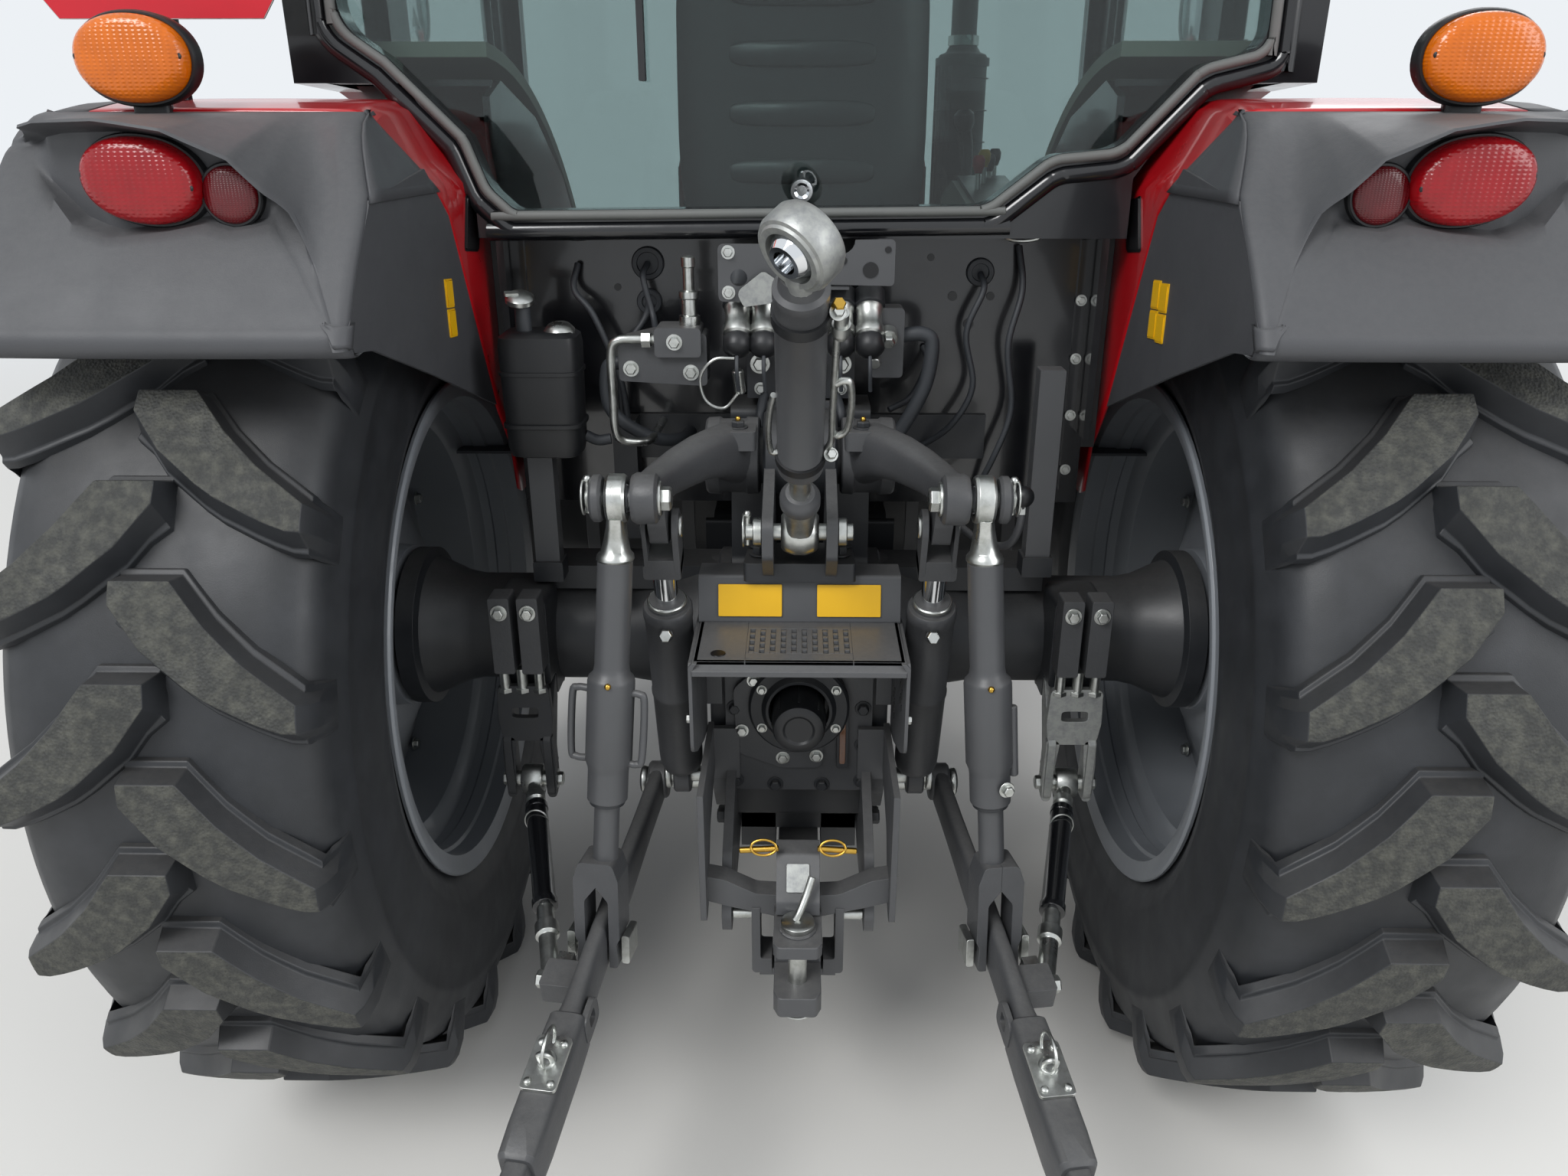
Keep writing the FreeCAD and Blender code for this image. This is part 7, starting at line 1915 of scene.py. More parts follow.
@dataclass
class Drawbar:
    """The drawbar in its hanger, with the flag-handled pin."""

    # Where the pin stands behind the axle, and the bar's underside and top
    pin_at: float = -524.0
    bar: Pair = (381.0, 417.0)

    def build(self) -> None:
        """Makes the hanger, the bar and the pin."""
        form = Form()
        coat = Coat.PLATE_PAINT
        for _, s in SIDES:
            low, high = span(s, 107, 123)
            form.prism([(-205, 505), (-62, 505), (-62, 456, 10), (-205, 434, 10), (-436, 434, 20), (-446, 470, 12),
                        (-400, 560, 30), (-330, 600, 40), (-252, 640), (-252, 600)], low, high, coat, SIDE)
            low, high = span(s, 143, 153)
            form.prism([(-252, 724), (-252, 640, 20), (-380, 600, 60), (-440, 500, 10), (-462, 490, 6),
                        (-484, 494, 6), (-486, 724)], low, high, coat, SIDE)
            form.block(tuple(span(s, 100, 146)), (-262, -250), (620, 716), coat)
            form.prism([(s * 146, 558, 4), (s * 146, 512, 8), (s * 104, 500, 20), (s * 30, 482), (s * 30, 524),
                        (s * 66, 526, 30), (s * 116, 552, 20)], 420, 456, coat, REAR)
            for y, z in ((-300, 570), (-275, 560), (-140, 484)):
                form.bolt((s * 123, y, z), (s, 0, 0), 22, Coat.DARK_PAINT, 12)
            form.prism([(s * 41.5, 372), (s * 74, 372, 8), (s * 74, 500), (s * 60, 500), (s * 60, 400, 6),
                        (s * 41.5, 400)], 402, 458, coat, REAR)
            form.block(tuple(span(s, 42, 108)), (-118, -64), (384, 500), Coat.DARK_PAINT)
            form.rod((s * 60, -430, 470), (s * 106, -430, 470), 9, Coat.ZINC)
        form.block((-62, 62), (-456, -404), (366, 379), coat)
        form.block((-110, 110), (-118, -64), (424, 500), Coat.DARK_PAINT)
        form.prism([(-408, 600, 8), (-446, 596, 10), (-496, 540, 12), (-500, 520), (-404, 470)], -34, 34, coat, SIDE)
        for _, s in SIDES:
            loop = [(s * (54 + 20 * math.cos(t)), -456 + 5 * math.sin(t), 614 + 11 * math.sin(t)) for t in
                    turns(12)]
            form.tube(loop, 2.2, Coat.BRASS, 8, 3, ring=True)
            form.rod((s * 30, -452, 610), (s * 92, -452, 606), 5, Coat.BRASS, 12)
        form.prism(panel((-18, 18), (-22, 22), 3), 0, 1.6, Coat.MATT_ZINC,
                   Matrix.Translation((0, -472.5, 569)) @ Matrix.Rotation(math.radians(-42), 4, "X") @ REAR)
        form.piece("drawbar_hanger", "chassis", ("drawbar_hanger",), bevel=1.6, angle=38)

        form = Form()
        form.prism([(-37, -60), (-37, -552), (-29, -569, 8), (29, -569, 8), (37, -552), (37, -60)], *self.bar, coat)
        form.prism([(-37, -560), (-29, -571, 8), (29, -571, 8), (37, -560), (37, -470), (-37, -470)], 493, 515, coat)
        form.prism(panel((-462, -486), (417, 515)), -37, 37, coat, SIDE)
        form.lathe([(0, 16), (0, 27), (3, 30), (6, 27), (6, 16)], coat, axes((0, self.pin_at, 513), (0, 0, 1)), 36)
        form.piece("drawbar", "chassis", ("drawbar",), bevel=2.2, angle=38)

        form = Form()
        form.rod((0, self.pin_at, 350), (0, self.pin_at, 530), 14.6, Coat.ZINC, 32)
        form.lathe([(0, 24), (3, 26), (9, 26), (12, 20)], Coat.ZINC, axes((0, self.pin_at, 519), (0, 0, 1)), 36)
        form.tube([(-4, self.pin_at, 530), (2, -520, 540), (12, -506, 560), (22, -492, 586)], 6.2, Coat.ZINC, 14)
        ring = [(24 * math.cos(t), self.pin_at + 25 * math.sin(t), 357 - 4 * math.sin(t)) for t in
                turns(12)]
        form.tube(ring, 2.2, Coat.ZINC, 8, 4, ring=True)
        form.piece("hitch_pin", "chassis", ("hitch_pin",), bevel=0.6, angle=38)


@dataclass
class Valves:
    """The couplers on their plate, the valve bodies, the pipes, and the oil reservoir beside them."""

    # Where the couplers hang across, the plate's front and back, the back panel's face, and the reservoir's middle
    # and half size as seen from above
    couplers_at: Sequence[float] = (-100.0, -58.0, 62.0, 108.0)
    plate: Pair = (144.0, 150.0)
    wall: float = 57.0
    tank: Pair = (-419.0, -108.0)
    tank_half: Pair = (61.0, 44.0)

    def couplers(self, form: Form) -> None:
        """Hangs the four couplers under the plate.

        Args:
            form: The valves' form.
        """
        for x in self.couplers_at:
            top = Vector((x, -110, 1392))
            way = Vector((0, -0.62, -0.78)).normalized()
            low = top + way * 66
            form.lathe([(0, 24), (2, 25), (26, 25), (28, 22)], Coat.DARK_PAINT, axes(top - way * 26, way), 24)
            form.rod(top - way * 60, top - way * 20, 17, Coat.SEAL)
            form.lathe([(0, 18), (0, 21), (8, 22), (12, 20), (34, 20), (38, 22.5), (50, 22.5), (54, 19), (54, 12)],
                       Coat.ZINC, axes(top, way), 32)
            form.lathe([(0, 20), (4, 22.5), (22, 22.5), (28, 18), (34, 8)], Coat.BLACK_PLASTIC,
                       axes(low - way * 12, way), 28)
            form.tube([low + way * 20, low + way * 30 + Vector((0, -4, -14)), low + way * 26 + Vector((2, 4, -52))],
                      3.2, Coat.SEAL, 8)
        loop = [(-104, -166, 1320), (-136, -168, 1318), (-158, -166, 1290), (-150, -164, 1252), (-122, -162, 1240),
                (-100, -160, 1262)]
        form.tube(loop, 2.6, Coat.ZINC, 8, 6)
        form.rod((-100, -158, 1300), (-96, -150, 1262), 9, Coat.ZINC)
        form.lathe([(0, 12), (4, 15), (16, 15), (20, 11), (34, 8)], Coat.ZINC,
                   axes((102, -196, 1196), (0.1, -0.4, -0.9)), 24)
        form.tube([(103, -205, 1170), (112, -214, 1148), (140, -210, 1140), (168, -196, 1146)], 4, Coat.SEAL, 10)

    def blocks(self, form: Form) -> None:
        """Adds the valve bodies, their fittings, pipes and hoses.

        Args:
            form: The valves' form.
        """
        dark, zinc = Coat.CAST_PAINT, Coat.ZINC
        form.block((-88, 88), (-88, -12), (1240, 1384), Coat.DARK_PAINT)
        for x in (-66, -22, 22, 66):
            form.rod((x, -88, 1300), (x, -104, 1300), 14, dark)
            form.bolt((x, -104, 1300), (0, -1, 0), 20, zinc, 10)
            form.bolt((x, -88, 1256), (0, -1, 0), 13, zinc, 7)
        form.prism(panel((112, 164), (1280, 1390), 8), 66, 116, dark, REAR)
        form.rod((138, -116, 1352), (138, -136, 1344), 15, zinc)
        form.bolt((138, -134, 1345), (0, -0.9, -0.4), 18, zinc, 12)
        form.rod((118, -118, 1310), (118, -130, 1304), 10, zinc)
        form.tube([(164, -92, 1344), (196, -92, 1346), (212, -92, 1330), (206, -90, 1270), (186, -86, 1220),
                   (164, -80, 1180)], 12, Coat.SEAL, 14)
        form.tube([(-60, -84, 1246), (-66, -108, 1216), (-60, -112, 1190)], 8, Coat.SEAL, 12)
        form.tube([(58, -84, 1246), (66, -112, 1220), (60, -112, 1190)], 8, Coat.SEAL, 12)

    def stand(self, form: Form) -> None:
        """Adds the plate, the upright bars, and the grommets, eyes and cables of the back panel.

        Args:
            form: The valves' form.
        """
        plate = Coat.PLATE_PAINT
        cut = [(58 - 24 * math.cos(t), 1496 - 22 * math.sin(t)) for t in (math.pi * k / 10 for k in range(11))]
        right = [(34, 1496)] + cut[1:-1] + [(82, 1496), (143, 1497, 8), (143, 1428, 8), (-40, 1432), (-40, 1490)]
        form.prism(right, *self.plate, plate, REAR)
        pierced(form, [(-128, 1404, 10), (-62, 1404, 8), (-40, 1432), (-40, 1490), (-128, 1490, 10)],
                [(-96 + x, 1440 + z) for x, z in oval(13, 13, 20)], *self.plate, plate, REAR)
        # Flat black discs: painted shade standing for the holes in the plate
        for x, z, r in ((106, 1452, 12), (16, 1450, 10), (64, 1466, 6), (132, 1482, 5)):
            form.lathe([(0, r), (1.2, r)], Coat.BLACK_FILM_AND_HOLE_SHADE, axes((x, -150.4, z), (0, -1, 0)), 22)
        for x, z in ((-112, 1478), (-112, 1418), (30, 1482)):
            form.bolt((x, -150, z), (0, -1, 0), 13, Coat.ZINC, 7)
        form.block((-60, 74), (-146, -12), (1422, 1427), plate)
        form.prism([(-100, 1420, 16), (-58, 1452, 10), (-40, 1440, 6), (-44, 1404, 8), (-88, 1398, 8)], 158, 164,
                   Coat.MATT_ZINC, REAR)
        for x, low, high in ((-440, 915, 1150), (412, 928, 1288)):
            form.prism(panel((x - 21, x + 21), (low, high), 3), 56, 92, plate, REAR)
            form.prism(panel((x - 26, x + 26), (low, low + 36), 3), 52, 98,
                       Coat.DARK_PAINT, REAR)
        form.block((-330, -288), (0, 57), (962, 1180), Coat.DARK_PAINT)
        form.block((-330, 330), (50, 57), (1100, 1180), Coat.DARK_PAINT)
        form.block((-40, 40), (-10, 52), (1172, 1238), Coat.DARK_PAINT)
        form.block((-462, 434), (-52, 40), (884, 928), Coat.DARK_PAINT)
        for x, z, r in ((305, 1426, 22), (-262, 1440, 26), (-262, 1376, 20)):
            form.lathe([(0, r), (3, r + 2), (6, r), (6, r - 7), (2, r - 8)], Coat.SEAL,
                       axes((x, self.wall, z), (0, -1, 0)), 32)
        # Flat black discs: painted shade standing for the holes in the back panel
        for x, z, r in ((260, 1386, 8), (325, 1386, 7), (290, 1339, 9), (-316, 1400, 6), (220, 1450, 6)):
            form.lathe([(0, r), (1.5, r)], Coat.BLACK_FILM_AND_HOLE_SHADE, axes((x, 57.5, z), (0, -1, 0)), 20)
        for x, z in ((-374, 1490), (366, 1488)):
            hook = [(x + 30 * math.cos(t), 20 - 6 * math.sin(t), z + 8 * math.sin(t)) for t in
                    turns(12)]
            form.tube(hook, 3.4, Coat.ZINC, 8, 3, ring=True)
            form.rod((x, self.wall, z), (x, 24, z + 2), 7, Coat.BLACK_PLASTIC, 12)
        cables = (((305, 50, 1424), (306, 14, 1400), (280, 6, 1330), (296, 4, 1240), (262, 10, 1170), (214, 44, 1124),
                   (206, 62, 1112)),
                  ((366, 46, 1470), (372, 20, 1400), (352, 4, 1310), (366, 8, 1200), (340, 10, 1110), (318, 40, 1046),
                   (314, 62, 1034)),
                  ((-262, 50, 1440), (-266, 18, 1420), (-250, 4, 1360), (-240, -40, 1330)),
                  ((-380, 46, 1440), (-384, 20, 1400), (-350, 0, 1360), (-310, -10, 1260), (-300, 4, 1170),
                   (-296, 62, 1120)),
                  ((-262, 50, 1376), (-268, 24, 1350), (-306, 6, 1290), (-312, 6, 1190), (-310, 62, 1130)),
                  ((214, 50, 1300), (216, 10, 1280), (190, -20, 1230), (150, -40, 1210)))
        for line in cables:
            form.tube(line, 5.5, Coat.SEAL, 10, 6)
        for x, low, high in ((-480, 1040, 1480), (480, 1040, 1480)):
            form.prism(panel((x - 8, x + 8), (low, high), 3), -64, -52, Coat.BLACK_ENAMEL, REAR)
            for z in range(low + 40, high, 100):
                form.bolt((x, 52, z), (0, -1, 0), 12, Coat.ZINC, 5)
        form.ball((347, -250, 1122), 17, Coat.BLACK_PLASTIC, 24)
        form.tube([(347, -250, 1110), (345, -246, 1070), (332, -226, 1034), (300, -180, 1022), (270, -120, 1030)],
                  6.5, Coat.PLATE_PAINT, 14)
        form.lathe([(0, 9), (12, 9)], Coat.ZINC, axes((346, -249, 1094), (0, 0.1, 1)), 6)

    def side_valve(self, form: Form) -> None:
        """Adds the valve between the reservoir and the couplers, with its steel pipe and its hose.

        Args:
            form: The reservoir's form.
        """
        zinc = Coat.ZINC
        form.prism([(-292, 1276, 8), (-150, 1268, 8), (-150, 1350, 8), (-220, 1356, 8), (-292, 1340, 12)], 64, 128,
                   Coat.CAST_PAINT, REAR)
        form.prism(panel((-232, -158), (1316, 1362), 8), 70, 140, Coat.PLATE_PAINT, REAR)
        for x, z in ((-200, 1340), (-272, 1296), (-176, 1290)):
            form.bolt((x, -128 - (12 if x == -200 else 0), z), (0, -1, 0), 16, zinc, 8)
        form.lathe([(0, 17), (14, 17), (16, 13), (40, 13), (42, 16), (52, 16), (54, 9), (88, 9), (90, 11), (104, 11),
                    (106, 7)], zinc, axes((-178, -104, 1362), (0, 0, 1)), 24)
        form.tube([(-226, -128, 1342), (-262, -136, 1344), (-290, -138, 1342), (-302, -136, 1322), (-303, -132, 1250),
                   (-303, -128, 1196), (-292, -120, 1176), (-264, -106, 1170), (-250, -76, 1169), (-246, 58, 1168)],
                  7, zinc, 14, 8)
        form.lathe([(0, 13), (14, 13)], zinc, axes((-252, -134, 1343), (1, 0, 0)), 6)
        form.rod((-238, -132, 1343), (-222, -128, 1342), 9, zinc)
        form.tube([(-292, -96, 1300), (-316, -92, 1290), (-318, -90, 1230), (-290, -80, 1192), (-240, -50, 1160),
                   (-206, 0, 1150), (-196, 58, 1148)], 11, Coat.SEAL, 14)

    def reservoir(self) -> None:
        """Makes the oil reservoir with its silver cap, and the valve beside it."""
        form = Form()
        self.side_valve(form)

        def ring(z: float, grow: float) -> list[Vector]:
            """One level section of the reservoir."""
            return [Vector((self.tank[0] + a, self.tank[1] + b, z)) for a, b in
                    oval(self.tank_half[0] + grow, self.tank_half[1] + grow, 40, 5.0)]

        form.skin([ring(z, grow) for z, grow in ((1150, -14), (1154, -4), (1170, 0), (1330, 3), (1346, 1),
                                                 (1353, -8))], Coat.BLACK_PLASTIC)
        for z in (1205, 1290):
            form.skin([ring(z + h, grow) for h, grow in ((-5, 0), (-3, 4.5), (3, 4.5), (5, 0))], Coat.BLACK_PLASTIC)
        form.lathe([(0, 13), (46, 12), (48, 9)], Coat.SEAL, axes((-444, -108, 1350), (0, 0, 1)), 28)
        cap = axes((-446, -110, 1396), (0.1, -0.35, 1))
        form.lathe([(0, 20), (3, 23), (10, 23), (15, 17), (16, 3)], Coat.ZINC, cap, 32)
        form.prism([(-24, -5, 3), (-2, -5), (-2, 5), (-24, 5, 3)], 14, 19, Coat.ZINC, cap)
        form.lathe([(0, 24), (6, 25), (14, 19), (18, 6)], Coat.ZINC, axes((-386, -112, 1348), (0, -0.3, 1)), 32)
        form.tube([(-360, -92, 1178), (-340, -88, 1168), (-318, -86, 1170)], 9, Coat.SEAL, 12)
        form.piece("reservoir", "chassis", ("reservoir",), bevel=1.0, angle=40)

    def build(self) -> None:
        """Makes the valves and the reservoir."""
        form = Form()
        self.couplers(form)
        self.blocks(form)
        self.stand(form)
        form.piece("hitch_valves", "chassis", ("hitch_valves",), bevel=1.0, angle=38)
        self.reservoir()
def inset(points: Sequence[Pair], by: float) -> list[Pair]:
    """Pulls an outline inward, or outward where the distance is negative.

    Args:
        points: The outline, in turn round its middle.
        by: How far in millimetres.

    Returns:
        The new outline.
    """
    count = len(points)
    turn = sum(points[k][0] * points[(k + 1) % count][1] - points[(k + 1) % count][0] * points[k][1]
               for k in range(count))
    hand = 1 if turn > 0 else -1
    made = []
    for k in range(count):
        before, here, after = (Vector(points[(k + n) % count][:2]) for n in (-1, 0, 1))
        first, second = (here - before).normalized(), (after - here).normalized()
        way = Vector((-(first + second).y, (first + second).x)).normalized() * hand
        spot = here + way * by / max(0.5, abs(way.dot(Vector((-first.y, first.x)))))
        made.append((spot.x, spot.y, *points[k][2:]))
    return made


@dataclass
class Cab:
    """What dresses the cab's frame: seals, hinges, handles, wiper, lamps and the roof's shell."""

    # Corners of the rear window's opening as (right, height, radius), and of a door's pane as (ahead, height, radius)
    rear_window: Sequence[Point] = ((-682, 2350, 60), (-700, 1800, 70), (-630, 1752, 50), (-520, 1642, 50),
                                    (-492, 1566, 60), (-455, 1532, 30), (290, 1540, 60), (387, 1615, 60),
                                    (490, 1625, 60), (600, 1742, 60), (696, 1765, 40), (682, 2350, 60))
    door_pane: Sequence[tuple[float, ...]] = ((406, 2290, 40), (1092, 2290, 40), (1144, 1108, 50), (1020, 1108),
                                              (957, 1235), (809, 1468), (606, 1654), (406, 1790))

    def rear(self) -> None:
        """Adds the rear window's piping, pale grey as a painted highlight, its bead, its latch and its wiper."""
        form = Form()
        # The piping's pale grey colour is a painted highlight along the window's round seal
        for out, y, thick, coat in ((8, -54, 7.5, Coat.GREY_SEAL_AS_PAINTED_HIGHLIGHT), (32, -44, 15, Coat.BLACK_ENAMEL)):
            line = corner_arcs(inset(self.rear_window, -out))
            form.tube([(x, y, z) for x, z in line], thick, coat, 14, 2, ring=True)
        form.lathe([(0, 15), (8, 18), (12, 17), (12, 12), (4, 8)], Coat.CHROME, axes((0, -50, 1562), (0, -1, 0)), 36)
        form.rod((-250, -44, 2330), (-250, -66, 2330), 17, Coat.BLACK_PLASTIC)
        form.tube([(-250, -64, 2330), (-252, -72, 2240), (-240, -64, 1990)], 6, Coat.BLACK_PLASTIC, 12)
        form.prism(panel((-5, 5), (-270, 220), 2), 40, 58, Coat.BLACK_PLASTIC,
                   Matrix.Translation((-244, 0, 1990)) @ REAR)
        for x in (-560, 560):
            form.block((x - 34, x + 34), (-62, -40), (2352, 2392), Coat.BLACK_PLASTIC)
            form.rod((x - 40, -66, 2384), (x + 40, -66, 2384), 10, Coat.BLACK_PLASTIC)
        form.rod((-60, 1256, 1690), (-60, 1274, 1690), 16, Coat.BLACK_PLASTIC)
        form.tube([(-60, 1270, 1690), (-120, 1274, 1800), (-200, 1268, 1960)], 6, Coat.BLACK_PLASTIC, 12)
        form.tube([(-306, 1262, 1790), (-206, 1263, 1960), (-106, 1262, 2130)], 6, Coat.SEAL, 12)
        form.piece("window_trim", "chassis", bevel=1.0, angle=40)

    def doors(self) -> None:
        """Adds each door's seal, handle, lock and hinge caps."""
        for hand, s in SIDES:
            form = Form()
            line = corner_arcs(inset(self.door_pane, -4))
            form.tube([(s * 777, y, z) for y, z in line], 6, Coat.SEAL, 10, 3, ring=True)
            form.prism(panel((1132, 1172), (1420, 1530), 12), *span(s, 770, 786),
                       Coat.BLACK_PLASTIC, SIDE)
            form.tube([(s * 784, 1130, 1506), (s * 806, 1134, 1502), (s * 806, 1174, 1498), (s * 786, 1182, 1494)], 8,
                      Coat.BLACK_PLASTIC, 14)
            form.rod((s * 786, 1150, 1446), (s * 793, 1150, 1446), 12, Coat.ZINC)
            for z in (1800, 2120):
                form.prism([(332, z - 30, 10), (430, z - 22, 10), (430, z + 22, 10), (332, z + 30, 10)],
                           *span(s, 783, 793), Coat.BLACK_PLASTIC, SIDE)
                form.rod((s * 792, 350, z - 34), (s * 792, 350, z + 34), 11, Coat.BLACK_PLASTIC)
                for y in (382, 412):
                    form.bolt((s * 793, y, z), (s, 0, 0), 13, Coat.ZINC, 4)
            form.tube([(s * 742, 1150, 1300), (s * 700, 1146, 1320), (s * 700, 1140, 1700), (s * 742, 1136, 1720)],
                      13, Coat.BLACK_PLASTIC, 14)
            form.piece(f"door_trim_{hand}", f"door_{hand}", bevel=1.0, angle=40)

    def shell(self) -> None:
        """Makes the roof's shell with its crown, gutter, lamps and rear panel."""
        low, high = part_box("roof")
        y0, y1 = (low[1] - at(0, 0, 0).y) / MM, (high[1] - at(0, 0, 0).y) / MM
        middle, deep = (y0 + y1) / 2, (y1 - y0) / 2
        form = Form()
        rings = []
        for z, in_side, in_end in ((2420, 6, 8), (2428, 0, 0), (2492, 0, 0), (2530, 6, 10), (2562, 30, 44),
                                   (2584, 84, 120), (2595, 190, 250), (2600, 420, 460)):
            rings.append([Vector((a, middle + b, z)) for a, b in oval(820 - in_side, deep - in_end, 96, 7.0)])
        form.skin(rings, Coat.RED_ENAMEL)
        form.recoat(lambda c, n: c.z < 2446 or n.z < -0.5, Coat.BLACK_PLASTIC)
        gutter = [Vector((a, middle + b, 2450)) for a, b in oval(820.5, deep + 0.5, 72, 7.0)]
        form.tube(gutter, 5, Coat.BLACK_PLASTIC, 8, 1, ring=True)
        for x in (-600, 600):
            for end, y in ((-1, y0), (1, y1)):
                form.prism(panel((x - 82, x + 82), (-42, 42), 16), -26, -4,
                           Coat.BLACK_PLASTIC, axes((0, y, 2492), (0, end, 0)))
        for s in (-1, 1):
            for k in range(5):
                form.block(tuple(span(s, 200, 470)), (y0 - 1, y0 + 20), (2462 + 13 * k, 2468 + 13 * k),
                           Coat.BLACK_PLASTIC)
            form.prism([(middle - deep * 0.62, 0), (middle + deep * 0.62, 0), (middle + deep * 0.6, 6),
                        (middle - deep * 0.6, 6)], *span(s, 300, 340), Coat.RED_ENAMEL,
                       Matrix.Translation((0, 0, 2592)) @ SIDE)
        form.piece("roof", "chassis", ("roof",), bevel=1.6, angle=44)
        form = Form()
        for x in (-600, 600):
            for end, y in ((-1, y0), (1, y1)):
                place = Matrix.Translation((x, y + end * -3, 2492)) @ (REAR if end < 0
                                                                       else Matrix.Rotation(math.pi, 4, "Z") @ REAR)
                form.prism(panel((-74, 74), (-34, 34), 12), -6, 2, Coat.CLEAR_LENS, place)
                for a in (-38, 38):
                    form.lathe([(0, 12), (-18, 12), (-10, 27), (-1, 30)], Coat.CHROME,
                               place @ Matrix.Translation((a, 0, 0)), 28)
        form.piece("work_lamps", "chassis", bevel=0.8, angle=40)

    def build(self) -> None:
        """Makes all that dresses the cab."""
        self.rear()
        self.doors()
        self.shell()


@dataclass
class Cushion:
    """A padded pad: a soft block that is blown up, then piped along its seam."""

    name: str
    # Its middle, its half width, depth and thickness, how far it leans back in degrees, how square it is, the most
    # that its cover may bulge, and where lines are sewn across it
    middle: Point
    half: Point
    lean: float = 0.0
    power: float = 5.0
    bulge: float = 24.0
    channels: Sequence[float] = ()
    # The cloth run: the grid that the cover is made on, the filling's pressure, the frames, the half width of the
    # strip that a seam holds down, and the distance between stitches
    grid: float = 10.5
    pressure: float = 4.0
    frames: int = 20
    seam_half: float = 7.0
    stitch: float = 16.0

    def place(self) -> Matrix:
        """Gives the pad's frame: x across, y deep, z along its thickness."""
        return Matrix.Translation(self.middle) @ Matrix.Rotation(math.radians(self.lean), 4, "X")

    def start(self) -> bpy.types.Object:
        """Makes the slack pad, slightly smaller than its space.

        Returns:
            The pad.
        """
        form = Form()
        wide, deep, thick = self.half
        rings = []
        for share, grow in ((-1, -26), (-0.86, -9), (-0.4, 0), (0.4, 0), (0.86, -9), (1, -26)):
            rings.append([self.place() @ Vector((a, b, thick * share)) for a, b in
                          oval(wide + grow, deep + grow, 64, self.power)])
        form.skin(rings, Coat.SEAT_CLOTH)
        return form.piece(self.name, "chassis", angle=60)

    def inflate(self, pad: bpy.types.Object) -> None:
        """Blows the pad up with a short cloth run and caps how far each point moves.

        Args:
            pad: The slack pad.
        """
        remesh = pad.modifiers.new("voxels", "REMESH")
        remesh.mode = "VOXEL"
        remesh.voxel_size = self.grid * MM
        self.apply(pad, remesh)
        start = [v.co.copy() for v in pad.data.vertices]
        pins = pad.vertex_groups.new(name="sewn")
        back = self.place().inverted()
        for k, spot in enumerate(start):
            here = back @ ((spot - at(0, 0, 0)) / MM)
            sewn = any(abs(here.x - x) < self.seam_half for x in self.channels) and here.z > 0
            pins.add([k], 1.0 if sewn or here.z < -self.half[2] * 0.9 else 0.0, "REPLACE")
        cloth = pad.modifiers.new("filling", "CLOTH")
        cloth.settings.use_pressure = True
        cloth.settings.uniform_pressure_force = self.pressure
        cloth.settings.effector_weights.gravity = 0.0
        cloth.settings.vertex_group_mass = "sewn"
        cloth.settings.quality = 4
        cloth.point_cache.frame_start, cloth.point_cache.frame_end = 1, self.frames
        for step in range(1, self.frames + 1):
            bpy.context.scene.frame_set(step)
        self.apply(pad, cloth)
        cap = self.bulge * MM
        for point, was in zip(pad.data.vertices, start):
            moved = point.co - was
            if moved.length > cap:
                point.co = was + moved.normalized() * cap
        bpy.context.scene.frame_set(1)
        smooth = pad.modifiers.new("round", "SUBSURF")
        smooth.levels = 1
        self.apply(pad, smooth)
        for face in pad.data.polygons:
            face.use_smooth = True

    @staticmethod
    def apply(pad: bpy.types.Object, modifier: bpy.types.Modifier) -> None:
        """Makes a modifier's result the pad's own mesh.

        Args:
            pad: The pad.
            modifier: The modifier to use up.
        """
        graph = bpy.context.evaluated_depsgraph_get()
        made = bpy.data.meshes.new_from_object(pad.evaluated_get(graph))
        pad.modifiers.remove(modifier)
        pad.data = made

    def seams(self) -> None:
        """Lays the piping round the pad and a stitched line along each sewn channel."""
        form = Form()
        wide, deep, thick = self.half
        edge = [self.place() @ Vector((a, b, thick * 0.62)) for a, b in oval(wide + self.bulge * 0.22,
                                                                             deep + self.bulge * 0.22, 48,
                                                                             self.power)]
        form.tube(edge, 3.4, Coat.SEAL, 8, 1, ring=True)
        for x in self.channels:
            for k in range(int(deep * 2 / self.stitch) - 5):
                y = -deep + 44 + self.stitch * k
                form.tube([self.place() @ Vector((x, y, thick + 1)), self.place() @ Vector((x, y + 9, thick + 1))],
                          1.3, Coat.SEAL, 6, 1)
        form.piece(f"{self.name}_seams", "chassis", angle=60)

    def build(self) -> bpy.types.Object:
        """Returns:
            The pad.
        """
        pad = self.start()
        self.inflate(pad)
        self.seams()
        return pad


